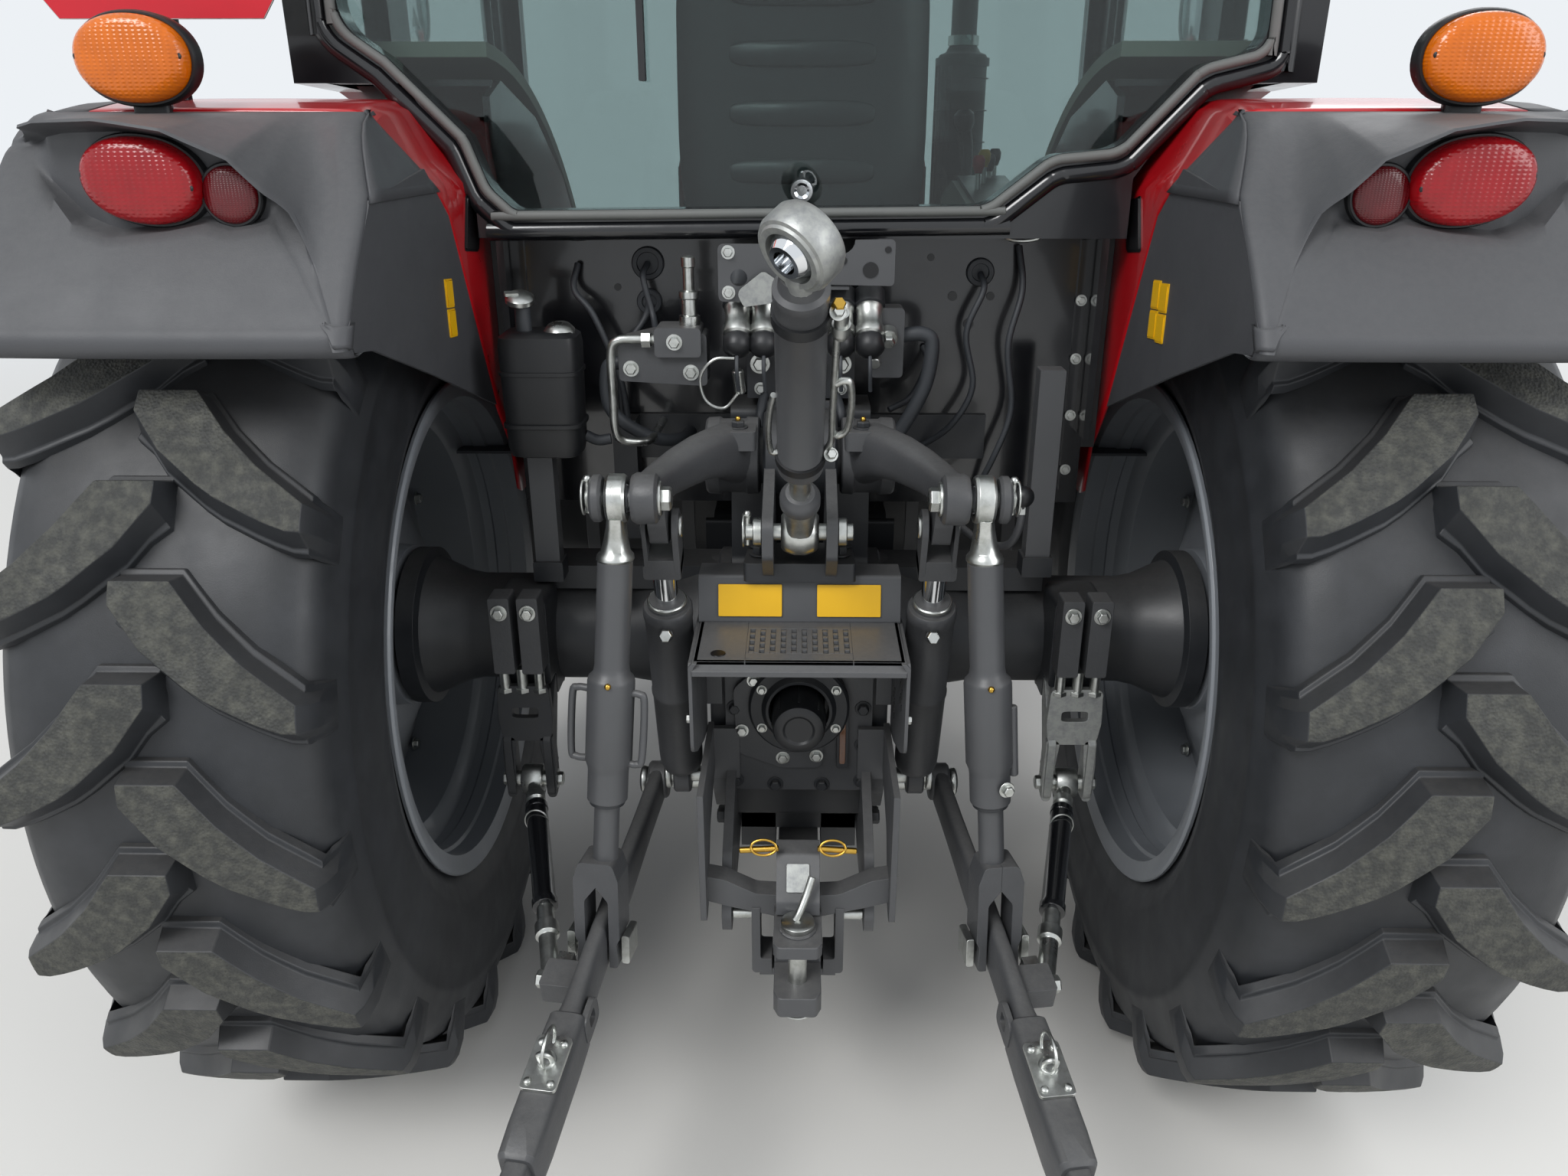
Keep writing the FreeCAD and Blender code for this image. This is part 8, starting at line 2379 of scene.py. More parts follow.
@dataclass
class Interior:
    """What shows through the glass: the seat, the consoles, the dash and the steering wheel."""

    # Where the seat's lines are sewn, the steering wheel's radius, and how far it leans back in degrees
    channels: Pair = (-92.0, 92.0)
    wheel_radius: float = 181.0
    wheel_lean: float = 28.0

    def seat(self) -> None:
        """Builds the suspension, the shell, the pads and the belt."""
        form = Form()
        form.block((-170, 170), (220, 540), (1040, 1062), Coat.BLACK_PLASTIC)
        for k in range(7):
            z = 1070 + 24 * k
            rings = [[Vector((a, 380 + b, z + h)) for a, b in oval(168 - g, 160 - g, 32, 5)]
                     for h, g in ((0, 12), (10, 0), (20, 12))]
            form.skin(rings, Coat.SEAL)
        form.block((-186, 186), (205, 560), (1240, 1300), Coat.BLACK_PLASTIC)
        form.prism([(152, 1300, 20), (150, 1340, 10), (640, 1352, 10), (640, 1320, 20), (560, 1296, 20)], -236, 236,
                   Coat.BLACK_PLASTIC, SIDE)
        shell = Matrix.Translation((0, 178, 1726)) @ Matrix.Rotation(math.radians(84), 4, "X")
        form.skin([[shell @ Vector((a, b, z)) for a, b in oval(206 + g, 300 + g, 64, 4.0)] for z, g in
                   ((38, -12), (44, 0), (60, 2), (74, -16), (86, -50), (92, -100))], Coat.BLACK_PLASTIC)
        for b in (-150, -60, 30, 120):
            form.skin([[shell @ Vector((a, b + c, z)) for a, c in oval(120 + g, 20 + g, 32, 4.0)] for z, g in
                       ((84, 0), (96, 0), (99, -4))], Coat.BLACK_PLASTIC)
        for _, s in SIDES:
            form.rod((s * 58, 124, 2030), (s * 58, 120, 2110), 7, Coat.CHROME)
            form.lathe([(0, 26), (8, 30), (26, 30), (32, 24)], Coat.BLACK_PLASTIC,
                       axes((s * 190, 240, 1316), (s, 0, 0)), 24)
        form.prism(panel((-14, 14), (-30, 30), 4), 0, 16, Coat.RED_CAP,
                   Matrix.Translation((262, 250, 1400)) @ SIDE)
        form.tube([(262, 250, 1320), (264, 250, 1370)], 8, Coat.BLACK_PLASTIC, 10)
        form.piece("seat_base", "chassis", ("seat",), bevel=1.6, angle=42)
        Cushion("seat_cushion", (0, 394, 1394), (218, 214, 38), 2, channels=self.channels).build()
        Cushion("seat_back", (0, 178, 1742), (196, 268, 44), 84, 4.0, channels=self.channels).build()
        Cushion("seat_head_rest", (0, 134, 2130), (106, 54, 34), 84, 3.4, 14).build()

    def consoles(self) -> None:
        """Builds both consoles with their levers, knobs and arm rest."""
        form = Form()
        beige, black = Coat.BEIGE_TRIM, Coat.BLACK_PLASTIC
        right = [(184, 1044), (180, 1492, 30), (620, 1552, 40), (796, 1514, 30), (796, 1384, 40), (622, 1044)]
        form.prism(right, 318, 442, beige, SIDE)
        form.prism([(200, 1490, 8), (196, 1502, 8), (618, 1562, 20), (780, 1522, 10), (776, 1508, 8),
                    (616, 1544, 20)], 330, 430, black, SIDE)
        for k, (y, coat) in enumerate(((470, Coat.RED_CAP), (530, Coat.YELLOW_FILM), (590, black), (650, black))):
            top = 1602 + 10 * (k % 2)
            form.rod((352 + 20 * k, y, 1530), (352 + 20 * k, y + 6, top - 22), 5, Coat.ZINC, 12)
            form.lathe([(-26, 7), (-12, 12), (0, 13), (8, 9)], coat, axes((352 + 20 * k, y + 6, top - 6),
                                                                          (0, 0.1, 1)), 20)
        form.tube([(362, 714, 1540), (362, 724, 1620), (352, 716, 1664)], 11, black, 14)
        form.lathe([(-24, 14), (-8, 22), (10, 22), (20, 12)], black, axes((350, 714, 1672), (-0.1, 0, 1)), 24)
        for y in (250, 300, 350):
            form.lathe([(0, 17), (12, 16), (14, 12)], black, axes((404, y, 1500 + (y - 180) * 0.14), (0, -0.13, 1)),
                       24)
        left = [(184, 1044), (182, 1340, 60), (250, 1398, 40), (520, 1398, 50), (558, 1340, 40), (556, 1044)]
        form.prism(left, -462, -338, beige, SIDE)
        form.prism([(300, 1400, 10), (300, 1444, 18), (540, 1452, 20), (560, 1420, 16), (520, 1396)], -440, -362,
                   black, SIDE)
        for low, high in ((-728, -500), (500, 728)):
            arc = [(math.radians(88 - 3.4 * k), 969) for k in range(19)]
            arc += [(t, 992) for t, _ in reversed(arc)]
            form.prism([(r * math.cos(t), 789 + r * math.sin(t)) for t, r in arc], low, high, beige, SIDE)
        form.piece("consoles", "chassis", ("consoles",), bevel=3.0, angle=40)

    def dash(self) -> None:
        """Builds the steering column's cowl with its instrument panel and pedals."""
        form = Form()
        black = Coat.BLACK_PLASTIC
        form.prism([(1002, 1044), (1002, 1446, 60), (1056, 1560, 40), (1040, 1590, 14), (1090, 1634, 30),
                    (1186, 1604, 40), (1206, 1400, 80), (1206, 1044)], -116, 116, black, SIDE)
        place = axes((0, 1068, 1616), (0, -0.66, 0.75), (0, 0.75, 0.66))
        form.prism([(-104, -52, 20), (104, -52, 20), (104, 52, 30), (-104, 52, 30)], -16, 4, black, place)
        for a, r in ((-58, 34), (58, 34), (0, 20)):
            form.lathe([(4, r), (7, r), (7, r - 3), (5, r - 3)], Coat.ZINC, place @ Matrix.Translation((a, 0, 0)), 32,
                       closed=True)
        for x, wide in ((-96, 60), (100, 60), (180, 50)):
            form.prism([(x - wide / 2, 1092, 8), (x + wide / 2, 1092, 8), (x + wide / 2, 1160, 10),
                        (x - wide / 2, 1160, 10)], -1010, -998, black, REAR)
            form.rod((x, 1008, 1120), (x, 1080, 1190), 7, black, 12)
        form.block((-700, 700), (290, 1230), (1040, 1046), Coat.SEAL)
        form.piece("dash", "chassis", ("dash",), bevel=2.0, angle=40)
        form = Form()
        low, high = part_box("steering_wheel")
        centre = (Vector(low) + Vector(high)) / 2
        middle = Vector((centre.x / MM, (centre.y - at(0, 0, 0).y) / MM, centre.z / MM))
        lean = math.radians(self.wheel_lean)
        wheel = axes(middle, (0, -math.sin(lean), math.cos(lean)), (0, 1, 0.5))
        form.tube([wheel @ Vector((self.wheel_radius * math.cos(t), self.wheel_radius * math.sin(t), 12))
                   for t in turns(48)], 13.5, Coat.BLACK_PLASTIC, 16, 1, ring=True)
        for k in range(3):
            t = math.pi * (0.5 + k * 2 / 3)
            form.tube([wheel @ Vector((r * math.cos(t), r * math.sin(t), h))
                       for r, h in ((44, -6), (110, 0), (176, 11))], 10, Coat.BLACK_PLASTIC, 12)
        form.lathe([(-40, 30), (-22, 34), (-10, 54), (6, 54), (14, 46), (15, 10)], Coat.BLACK_PLASTIC, wheel, 40)
        form.tube([wheel @ Vector((0, 0, -30)), wheel @ Vector((0, 4, -90)), wheel @ Vector((0, 8, -150))], 24,
                  Coat.BLACK_PLASTIC, 20, 2)
        form.piece("steering_wheel", "chassis", ("steering_wheel",), bevel=1.2, angle=44)

    def build(self) -> None:
        """Makes all that shows through the glass."""
        self.seat()
        self.consoles()
        self.dash()


@dataclass
class Outside:
    """The mirrors, the exhaust and the sign that hang on the cab."""

    # Where the exhaust stands as (right, ahead), and its guard's radius and number of bars
    pipe_at: Pair = (430.0, 1425.0)
    guard: float = 70.0
    bars: int = 30

    def mirrors(self) -> None:
        """Makes both mirrors on their arms."""
        form = Form()
        for _, s in SIDES:
            form.tube([(s * 780, 1238, 2130), (s * 860, 1238, 2132), (s * 940, 1234, 2126), (s * 992, 1222, 2100)], 9,
                      Coat.BLACK_PLASTIC, 14)
            form.block(tuple(span(s, 776, 800)), (1218, 1258), (2108, 2152), Coat.BLACK_PLASTIC)
            middle = Vector((s * 998, 1203, 1990))
            rings = []
            for y, g in ((-23, -5), (-20, 0), (-8, 0), (12, -10), (22, -34), (23, -60)):
                rings.append([middle + Vector((a, y, b)) for a, b in oval(67 + g * 0.8, 160 + g, 48, 4.0)])
            form.skin(rings, Coat.BLACK_PLASTIC)
            form.recoat(lambda c, n: n.y < -0.9 and c.y < 1182 and c.z < 2160, Coat.CHROME)
            form.rod((s * 992, 1216, 2010), (s * 992, 1232, 2110), 9, Coat.BLACK_PLASTIC)
        form.piece("mirrors", "chassis", ("mirrors",), bevel=1.0, angle=42)

    def exhaust(self) -> None:
        """Makes the silencer in its pierced guard and the pipe with its turned-out end."""
        form = Form()
        px, py = self.pipe_at
        pipe = axes((px, py, 0), (0, 0, 1))
        form.lathe([(940, 34), (1190, 34), (1216, 46), (1222, 62), (1232, 66), (1828, 66), (1838, 62), (1844, 46),
                    (1864, 34), (2470, 34), (2470, 31), (1900, 31)], Coat.HOT_STEEL, pipe, 40, caps=False)
        tip = [(px, py + bend, z) for bend, z in ((0, 2455), (0, 2490), (6, 2514), (15, 2532))]
        form.tube(tip, 33.5, Coat.HOT_STEEL, 32, 4)
        for z in (1240, 1820):
            form.lathe([(z - 10, 67), (z - 10, 72), (z + 10, 72), (z + 10, 67)], Coat.BLACK_PLASTIC, pipe, 40,
                       closed=True)
        for t in turns(self.bars):
            if math.cos(t - math.pi * 0.75) < -0.45:
                continue
            x, y = px + self.guard * math.cos(t), py + self.guard * math.sin(t)
            form.tube([(x, y, 1250), (x, y, 1530), (x, y, 1810)], 2.0, Coat.BLACK_PLASTIC, 6, 1)
        for z in range(1300, 1800, 80):
            ring = [(px + (self.guard + 1) * math.cos(t), py + (self.guard + 1) * math.sin(t), z) for t in turns(32)]
            form.tube(ring, 1.8, Coat.BLACK_PLASTIC, 6, 1, ring=True)
        form.lathe([(1860, 35), (1860, 41), (1884, 41), (1884, 35)], Coat.ZINC, pipe, 32, closed=True)
        form.piece("exhaust", "chassis", ("exhaust",), bevel=0.6, angle=40)

    def sign(self) -> None:
        """Makes the slow-moving sign: orange middle, dark red band, on its post."""
        form = Form()
        outer = [(-1053, 1822, 4), (-1032, 1793, 4), (-746, 1793, 4), (-725, 1822, 4), (-868, 2070, 4),
                 (-910, 2070, 4)]
        plain = [(x, z) for x, z, _ in outer]
        form.prism(outer, 198.6, 201.4, Coat.ZINC, REAR)
        form.prism(inset(plain, 1.0), 201.4, 202.0, Coat.SIGN_RED, REAR)
        form.prism(inset(plain, 44), 201.8, 202.4, Coat.SIGN_ORANGE, REAR)
        for z in (1856, 1900):
            form.bolt((-889, -202.2, z), (0, -1, 0), 13, Coat.ZINC, 5)
        form.prism(panel((-905, -875), (-196, -180), 3), 1690, 1940, Coat.BLACK_ENAMEL, PLAN)
        form.prism(panel((-912, -868), (-226, -150), 6), 1680, 1690, Coat.BLACK_ENAMEL, PLAN)
        form.piece("slow_sign", "chassis", ("slow_sign",), bevel=0.5, angle=40)

    def build(self) -> None:
        """Makes all three."""
        self.mirrors()
        self.exhaust()
        self.sign()
@dataclass
class Front:
    """The hood's details, the engine, the cooling pack, the front frame and axle, the boxes and the steps."""

    # The hood along its length as (ahead, half width, drop of the crown, rise of the lower edge, shoulder radius),
    # the crown's greatest height, and the lower edge's least
    sections: Sequence[tuple[float, ...]] = ((1302, 330, 0, 0, 70), (2084, 318, 44, 0, 80), (2700, 286, 128, 0, 90),
                                             (2920, 252, 190, 0, 95), (3010, 210, 290, 10, 90),
                                             (3040, 180, 350, 40, 60))
    top: float = 1640.0
    low: float = 1000.0

    def half_at(self, y: float) -> float:
        """Reads the hood's half width at a place along it."""
        return between([(w.x, w.y) for w in smooth_path([(y, half, 0) for y, half, *_ in self.sections], 8)], y)

    def arch(self, y: float, half: float, top: float, low: float, radius: float) -> list[Vector]:
        """Draws one section of the hood, from its left edge over the top to its right edge.

        Args:
            y: Where the section is.
            half: Its half width.
            top: Its highest point.
            low: Its lower edge.
            radius: The rounding of its shoulders.

        Returns:
            The section's points.
        """
        side = [(half - 5 * (1 - u) ** 2, low + (top - radius - 14 - low) * u) for u in spread(0, 1, 6)]
        arc = [(half - radius + radius * math.cos(t), top - 14 - radius + radius * math.sin(t)) for t in
               (math.pi / 2 * k / 9 for k in range(1, 9))]
        flat = half - radius
        crown = [(flat * u, top - 14 * u * u - (4 if u > 0.62 else 0)) for u in (1, 0.84, 0.66, 0.6, 0.45, 0.3, 0.15)]
        right = side + arc + crown
        return [Vector((-x, y, z)) for x, z in right] + [Vector((0, y, top))] + [Vector((x, y, z))
                                                                                 for x, z in reversed(right)]

    def hood(self) -> None:
        """Builds the hood's smooth shell with its nose, its seams, vents and grille, and the headlamps."""
        form = Form()
        widths = smooth_path([(y, half, drop) for y, half, drop, _, _ in self.sections], 8)
        edges = smooth_path([(y, rise, radius) for y, _, _, rise, radius in self.sections], 8)
        rings = [self.arch(min(w.x, 3040), min(w.y, 330), self.top - max(w.z, 0), self.low + max(e.y, 0), e.z)
                 for w, e in zip(widths, edges)]
        middle = Vector((0, 3040, 1165))
        rings += [[middle + (p - middle) * share for p in rings[-1]] for share in (0.96, 0.7, 0.4, 0.02)]
        form.skin(rings, Coat.RED_ENAMEL, caps=False, around=False)
        form.piece("hood", "hood", ("hood",), angle=28, sheet=5)

        form = Form()
        for _, s in SIDES:
            def strip(low: float, high: float, inward: float, out: float, y: Pair, coat: Coat) -> None:
                """Lays a band on the hood's side, following its taper.

                Args:
                    low: Its lower edge.
                    high: Its upper edge.
                    inward: How deep it starts in the hood.
                    out: How far it stands out.
                    y: Where it starts and ends along the hood.
                    coat: Its finish.
                """
                form.skin([[Vector((s * (self.half_at(at_y) + a), at_y, b))
                            for a, b in ((inward, low), (out, low), (out, high), (inward, high))]
                           for at_y in spread(*y, 9)], coat)
            # A flat black band behind the vent bars: painted shade of the opening behind them
            strip(1082, 1298, -3, 1.6, (2150, 2698), Coat.BLACK_FILM_AND_HOLE_SHADE)
            for z in range(1096, 1290, 17):
                strip(z, z + 7, 0, 8, (2158, 2690), Coat.BLACK_PLASTIC)
            for z in (1078, 1294):
                strip(z, z + 8, -3, 9, (2146, 2702), Coat.BLACK_PLASTIC)
            for y in (2146, 2330, 2516, 2694):
                strip(1080, 1300, -3, 9, (y, y + 8), Coat.BLACK_PLASTIC)
            strip(1004, 1022, -3, 2.5, (1306, 2900), Coat.BLACK_PLASTIC)
            form.tube([(s * 331, 1316, 1560), (s * 331.5, 1316, 1300), (s * 331, 1316, 1020)], 3, Coat.SEAL, 8, 3)
            form.tube([(s * (self.half_at(2060) + 0.6), 2060, z) for z in (1450, 1250, 1024)], 1.8, Coat.SEAL, 8, 3)
        grille = Matrix.Translation((0, 3041, 0)) @ Matrix.Rotation(math.pi, 4, "Z") @ REAR
        # A flat black panel behind the grille bars: painted shade of the opening
        form.prism([(-168, 1066, 22), (168, 1066, 22), (152, 1268, 22), (-152, 1268, 22)], -2, 1.5, Coat.BLACK_FILM_AND_HOLE_SHADE,
                   grille)
        for k in range(9):
            z = 1082 + 20.5 * k
            half = 160 - 1.2 * k
            form.prism(panel((-half, half), (z, z + 8), 3), 0, 7, Coat.BLACK_PLASTIC, grille)
        for x in (-60, 60):
            form.prism(panel((x - 4, x + 4), (1070, 1264)), 0, 6, Coat.BLACK_PLASTIC, grille)
        rim = corner_arcs([(-170, 1064, 24), (170, 1064, 24), (154, 1270, 24), (-154, 1270, 24)])
        form.tube([(x, 3042, z) for x, z in rim], 5, Coat.BLACK_PLASTIC, 10, 1, ring=True)
        form.piece("hood_grilles", "hood", ("hood_grilles",), bevel=0.8, angle=42)

        form = Form()
        for _, s in SIDES:
            low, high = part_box("headlamps")
            y = (high[1] - at(0, 0, 0).y) / MM
            place = Matrix.Translation((s * 120, y, 1345)) @ Matrix.Rotation(math.pi, 4, "Z") @ REAR
            form.prism(panel((-58, 58), (-38, 38), 16), -40, -26, Coat.BLACK_PLASTIC, place)
            for a in (-28, 28):
                form.lathe([(-26, 10), (-24, 20), (-10, 26), (-2, 27), (-2, 24), (-18, 12)], Coat.CHROME,
                           place @ Matrix.Translation((a, 0, 0)), 32)
            form.prism(panel((-60, 60), (-40, 40), 16), -5, 0, Coat.CLEAR_LENS, place)
        form.piece("headlamps", "hood", ("headlamps",), bevel=0.8, angle=40)

    def engine(self) -> None:
        """Builds the engine's block with its covers, filters, alternator, belt and pipes."""
        form = Form()
        grey, dark = Coat.CAST_PAINT, Coat.DARK_PAINT
        form.prism([(1292, 740, 20), (1292, 1010, 20), (1990, 1010, 20), (1990, 740, 20)], -170, 170, grey, SIDE)
        form.prism([(1300, 624, 30), (1300, 744), (1980, 744), (1980, 640, 40), (1760, 624, 30)], -140, 140, dark,
                   SIDE)
        form.prism([(1310, 1008), (1310, 1060, 10), (1960, 1060, 10), (1960, 1008)], -150, 150, grey, SIDE)
        form.prism([(1330, 1058), (1330, 1112, 24), (1940, 1112, 24), (1940, 1058)], -96, 96, dark, SIDE)
        for k in range(4):
            y = 1400 + 150 * k
            form.prism([(y - 54, 1060), (y - 54, 1122, 16), (y + 54, 1122, 16), (y + 54, 1060)], -88, 88, dark, SIDE)
            for s in (-1, 1):
                form.bolt((s * 62, y, 1122), (0, 0, 1), 17, Coat.ZINC, 8)
                form.prism(panel((y - 52, y + 52), (770, 960), 20),
                           *span(s, 168, 178), grey, SIDE)
                form.bolt((s * 178, y, 864), (s, 0, 0), 18, dark, 8)
            form.tube([(-118, y, 1062), (-164, y, 1050), (-188, y + 10, 1010), (-184, 1640, 960)], 4, Coat.ZINC, 8)
            form.tube([(140, y, 1040), (182, y, 1030), (190, y + 20, 1000)], 22, Coat.HOT_STEEL, 16)
        form.rod((184, 1380, 990), (184, 1900, 990), 26, Coat.HOT_STEEL)
        form.prism([(1560, 880, 14), (1560, 990, 14), (1790, 990, 14), (1790, 880, 14)], -204, -150, dark, SIDE)
        for y in (1420, 1500):
            form.lathe([(0, 30), (6, 38), (120, 38), (128, 34), (130, 12)], Coat.BLACK_PLASTIC if y > 1450
                       else Coat.MATT_ZINC, axes((-166, y, 900), (0, 0, -1)), 32)
        form.lathe([(-62, 40), (-54, 52), (44, 52), (54, 40), (56, 18), (74, 18), (76, 34), (96, 34), (98, 18)],
                   Coat.MATT_ZINC, axes((146, 1900, 1030), (0, 1, 0)), 36)
        for x, z, r in ((0, 720, 92), (0, 900, 70), (146, 1030, 36)):
            form.lathe([(1990, 20), (1990, r), (1994, r), (1997, r - 5), (2001, r - 5), (2004, r), (2008, r),
                        (2008, 20)], dark, Matrix.Translation((x, 0, z)) @ axes((0, 0, 0), (0, 1, 0)), 40)
        belt = [(x, 1999, z) for x, z in ((-88, 740), (-70, 906), (-30, 966), (60, 1000), (150, 1070), (182, 1030),
                                          (96, 720), (40, 640), (-40, 640))]
        form.tube(belt, 5, Coat.RUBBER, 8, 6, ring=True)
        form.tube([(-60, 1970, 1050), (-70, 2040, 1090), (-110, 2160, 1120), (-120, 2280, 1120)], 24, Coat.RUBBER, 18)
        form.tube([(100, 1960, 700), (150, 2060, 760), (160, 2180, 860), (150, 2290, 900)], 24, Coat.RUBBER, 18)
        form.piece("engine", "chassis", ("engine",), bevel=2.0, angle=38)

    def cooling(self) -> None:
        """Builds the radiator with its core, its fan shroud, the battery and the air filter."""
        form = Form()
        black = Coat.BLACK_PLASTIC
        form.prism([(2380, 884), (2380, 1232, 12), (2560, 1232, 12), (2560, 884)], -222, 222, black, SIDE)
        for k in range(40):
            x = -196 + 10 * k
            form.block((x, x + 3), (2556, 2566), (900, 1216), Coat.MATT_ZINC)
        for z in (894, 1216):
            form.block((-200, 200), (2556, 2570), (z - 10, z + 14), black)
        ring = [(2382 - 100, 190), (2382, 206), (2382, 186), (2382 - 96, 172)]
        form.lathe(ring, black, axes((0, 0, 1050), (0, 1, 0)), 48, closed=True)
        form.lathe([(2290, 24), (2290, 46), (2340, 46), (2346, 30)], black, axes((0, 0, 1050), (0, 1, 0)), 32)
        for k in range(7):
            t = 2 * math.pi * k / 7
            form.skin([[Vector((r * math.cos(t + w), 2316 + d, 1050 + r * math.sin(t + w)))
                        for w, d in ((-0.16, -16), (0.16, 14), (0.16, 18), (-0.16, -12))] for r in (40, 100, 165)],
                      black)
        form.prism([(2600, 884), (2600, 1060, 8), (2790, 1060, 8), (2790, 884)], -150, 150, black, SIDE)
        for x, coat in ((-100, Coat.RED_CAP), (100, black)):
            form.rod((x, 2660, 1060), (x, 2660, 1082), 12, coat)
        form.lathe([(-200, 60), (-190, 74), (190, 74), (200, 60)], black, axes((0, 2640, 1160), (1, 0, 0)), 40)
        form.piece("cooling_pack", "chassis", ("cooling_pack",), bevel=1.6, angle=38)

    def frame_and_axle(self) -> None:
        """Builds the cast front frame with its weight, the axle beam, the knuckles and the steering rod's ends."""
        form = Form()
        grey, dark = Coat.CAST_PAINT, Coat.DARK_PAINT
        for s in (-1, 1):
            form.prism([(2014, 690, 20), (2014, 876, 10), (2916, 876, 10), (2916, 700, 30), (2600, 688, 40)],
                       *span(s, 118, 150), dark, SIDE)
            form.prism([(2014, 842), (2014, 876, 6), (2916, 876, 6), (2916, 842)], *span(s, 100, 164), dark, SIDE)
            for y in (2050, 2110, 2560, 2680, 2800):
                form.bolt((s * 150, y, 776), (s, 0, 0), 24, Coat.ZINC, 12)
            form.prism([(2260, 690, 20), (2260, 640, 10), (2460, 640, 10), (2460, 690, 20)], *span(s, 60, 118), dark,
                       SIDE)
        form.block((-120, 120), (2030, 2900), (850, 872), dark)
        form.prism([(-226, 660, 50), (226, 660, 50), (226, 850, 40), (160, 894, 40), (-160, 894, 40),
                    (-226, 850, 40)], 0, 72, grey, Matrix.Translation((0, 2994, 0)) @ REAR)
        for s in (-1, 1):
            form.prism([(s * 60, 676, 20), (s * 212, 676, 30), (s * 212, 836, 24), (s * 150, 876, 24),
                        (s * 60, 876, 20)], 0, 16, grey, Matrix.Translation((0, 3010, 0)) @ REAR)
            form.bolt((s * 136, 3010, 776), (0, 1, 0), 30, Coat.ZINC, 10.1)
        for z in (716, 800):
            form.prism([(-44, 2990, 10), (44, 2990, 10), (40, 3022), (-40, 3022)], z, z + 20, dark)
        form.rod((0, 3002, 706), (0, 3002, 836), 13, Coat.ZINC)
        form.lathe([(0, 22), (6, 24), (10, 18)], Coat.ZINC, axes((0, 3002, 820), (0, 0, 1)), 28)
        form.piece("front_frame", "chassis", ("front_frame",), bevel=3.0, angle=38)
        form = Form()
        low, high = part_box("front_axle")
        z0, z1 = low[2] / MM, high[2] / MM
        zm = 560
        reach = min(-low[0], high[0]) / MM
        outline = [(-reach + 6, zm - 40, 30), (-reach + 6, zm + 44, 20), (-430, zm + 52, 40), (-150, zm + 66, 40),
                   (-120, zm + 118, 20), (120, zm + 118, 20), (150, zm + 66, 40), (430, zm + 52, 40),
                   (reach - 6, zm + 44, 20), (reach - 6, zm - 40, 30), (430, zm - 50, 40), (190, zm - 58, 40),
                   (90, zm - 96, 40), (-90, zm - 96, 40), (-190, zm - 58, 40), (-430, zm - 50, 40)]
        outline = [(a, max(z0 + 2, min(z1 - 2, b)), r) for a, b, r in outline]
        form.prism(outline, -2410, -2310, dark, REAR)
        form.lathe([(-78, 30), (-70, 66), (-40, 92), (40, 92), (62, 74), (72, 40), (74, 18)], dark,
                   axes((60, 2360, zm), (0, 1, 0)), 40)
        for k in range(8):
            t = math.pi * k / 4
            form.bolt((60 + 80 * math.cos(t), 2402, zm + 80 * math.sin(t)), (0, 1, 0), 14, Coat.ZINC, 7, washer=False)
        form.lathe([(-196, 22), (-196, 33), (-180, 34), (-176, 30), (176, 30), (180, 34), (196, 33), (196, 22)],
                   Coat.PLATE_PAINT, axes((0, 2225, 594), (1, 0, 0)), 36)
        for s in (-1, 1):
            form.prism([(2224, 580, 10), (2224, 612, 10), (2320, 622), (2320, 560)], *span(s, 120, 136), dark, SIDE)
            form.tube([(s * 150, 2224, 626), (s * 150, 2216, 650), (s * 110, 2260, 690), (s * 60, 2300, 700)], 7,
                      Coat.SEAL, 10)
            form.rod((s * 655, 2360, zm - 60), (s * 655, 2360, zm + 96), 20, Coat.ZINC)
        form.piece("front_axle", "chassis", ("front_axle",), bevel=3.0, angle=38)

    def boxes(self) -> None:
        """Builds the fuel tank and the battery box with their steps."""
        form = Form()
        for _, s in SIDES:
            top = 1180 if s > 0 else 1216
            rings = []
            for x, g in ((186, -14), (192, -4), (210, 0), (640, 0), (672, -5), (688, -24)):
                rings.append([Vector((s * x, 960 + (top - 960) / 2 + a, 770 + b)) for a, b in
                              oval((top - 960) / 2 + g, 206 + g, 56, 7.0)])
            form.skin(rings, Coat.BLACK_PLASTIC)
            for x in (300, 560):
                form.skin([[Vector((s * (x + h), 960 + (top - 960) / 2 + a, 770 + b))
                            for a, b in oval((top - 960) / 2 + g, 206 + g, 56, 7.0)]
                           for h, g in ((-18, -1), (-16, 3), (16, 3), (18, -1))], Coat.PLATE_PAINT)
            for z in (680, 770, 860):
                form.block(tuple(span(s, 684, 690)), (1000, top - 40), (z - 10, z + 10), Coat.BLACK_PLASTIC)
        form.lathe([(0, 40), (10, 44), (28, 44), (34, 34)], Coat.BLACK_PLASTIC, axes((-560, 1100, 962), (0, 0, 1)),
                   32)
        form.piece("side_boxes", "chassis", ("side_boxes",), bevel=2.0, angle=40)

    def steps(self) -> None:
        """Builds the ladders: side plates and pierced treads."""
        form = Form()
        coat = Coat.PLATE_PAINT
        for _, s in SIDES:
            for x in (505, 785):
                form.prism([(1244, 896, 10), (1240, 940, 10), (1262, 948, 10), (1352, 700, 20), (1354, 420, 16),
                            (1262, 418, 16), (1250, 700, 40)], *span(s, x - 4, x + 4), coat, SIDE)
            for z in (430, 690, 930):
                slotted(form, tuple(span(s, 508, 782)), (1246, 1350), z - 13, z - 9, coat, PLAN, 9, 2, (16, 38))
                for y in (1244, 1348):
                    form.block(tuple(span(s, 508, 782)), (y, y + 5), (z - 15, z + 14), coat)
                for k in range(10):
                    x = s * (514 + 29.5 * k)
                    form.block((x - 2, x + 2), (1250, 1347), (z - 10, z + 12), coat)
            form.block(tuple(span(s, 470, 520)), (1217, 1239), (902, 978), coat)
            for z in (915, 965):
                form.bolt((s * 495, 1239, z), (0, 1, 0), 18, Coat.ZINC, 9)
        form.piece("steps", "chassis", ("steps",), bevel=0.8, angle=38)

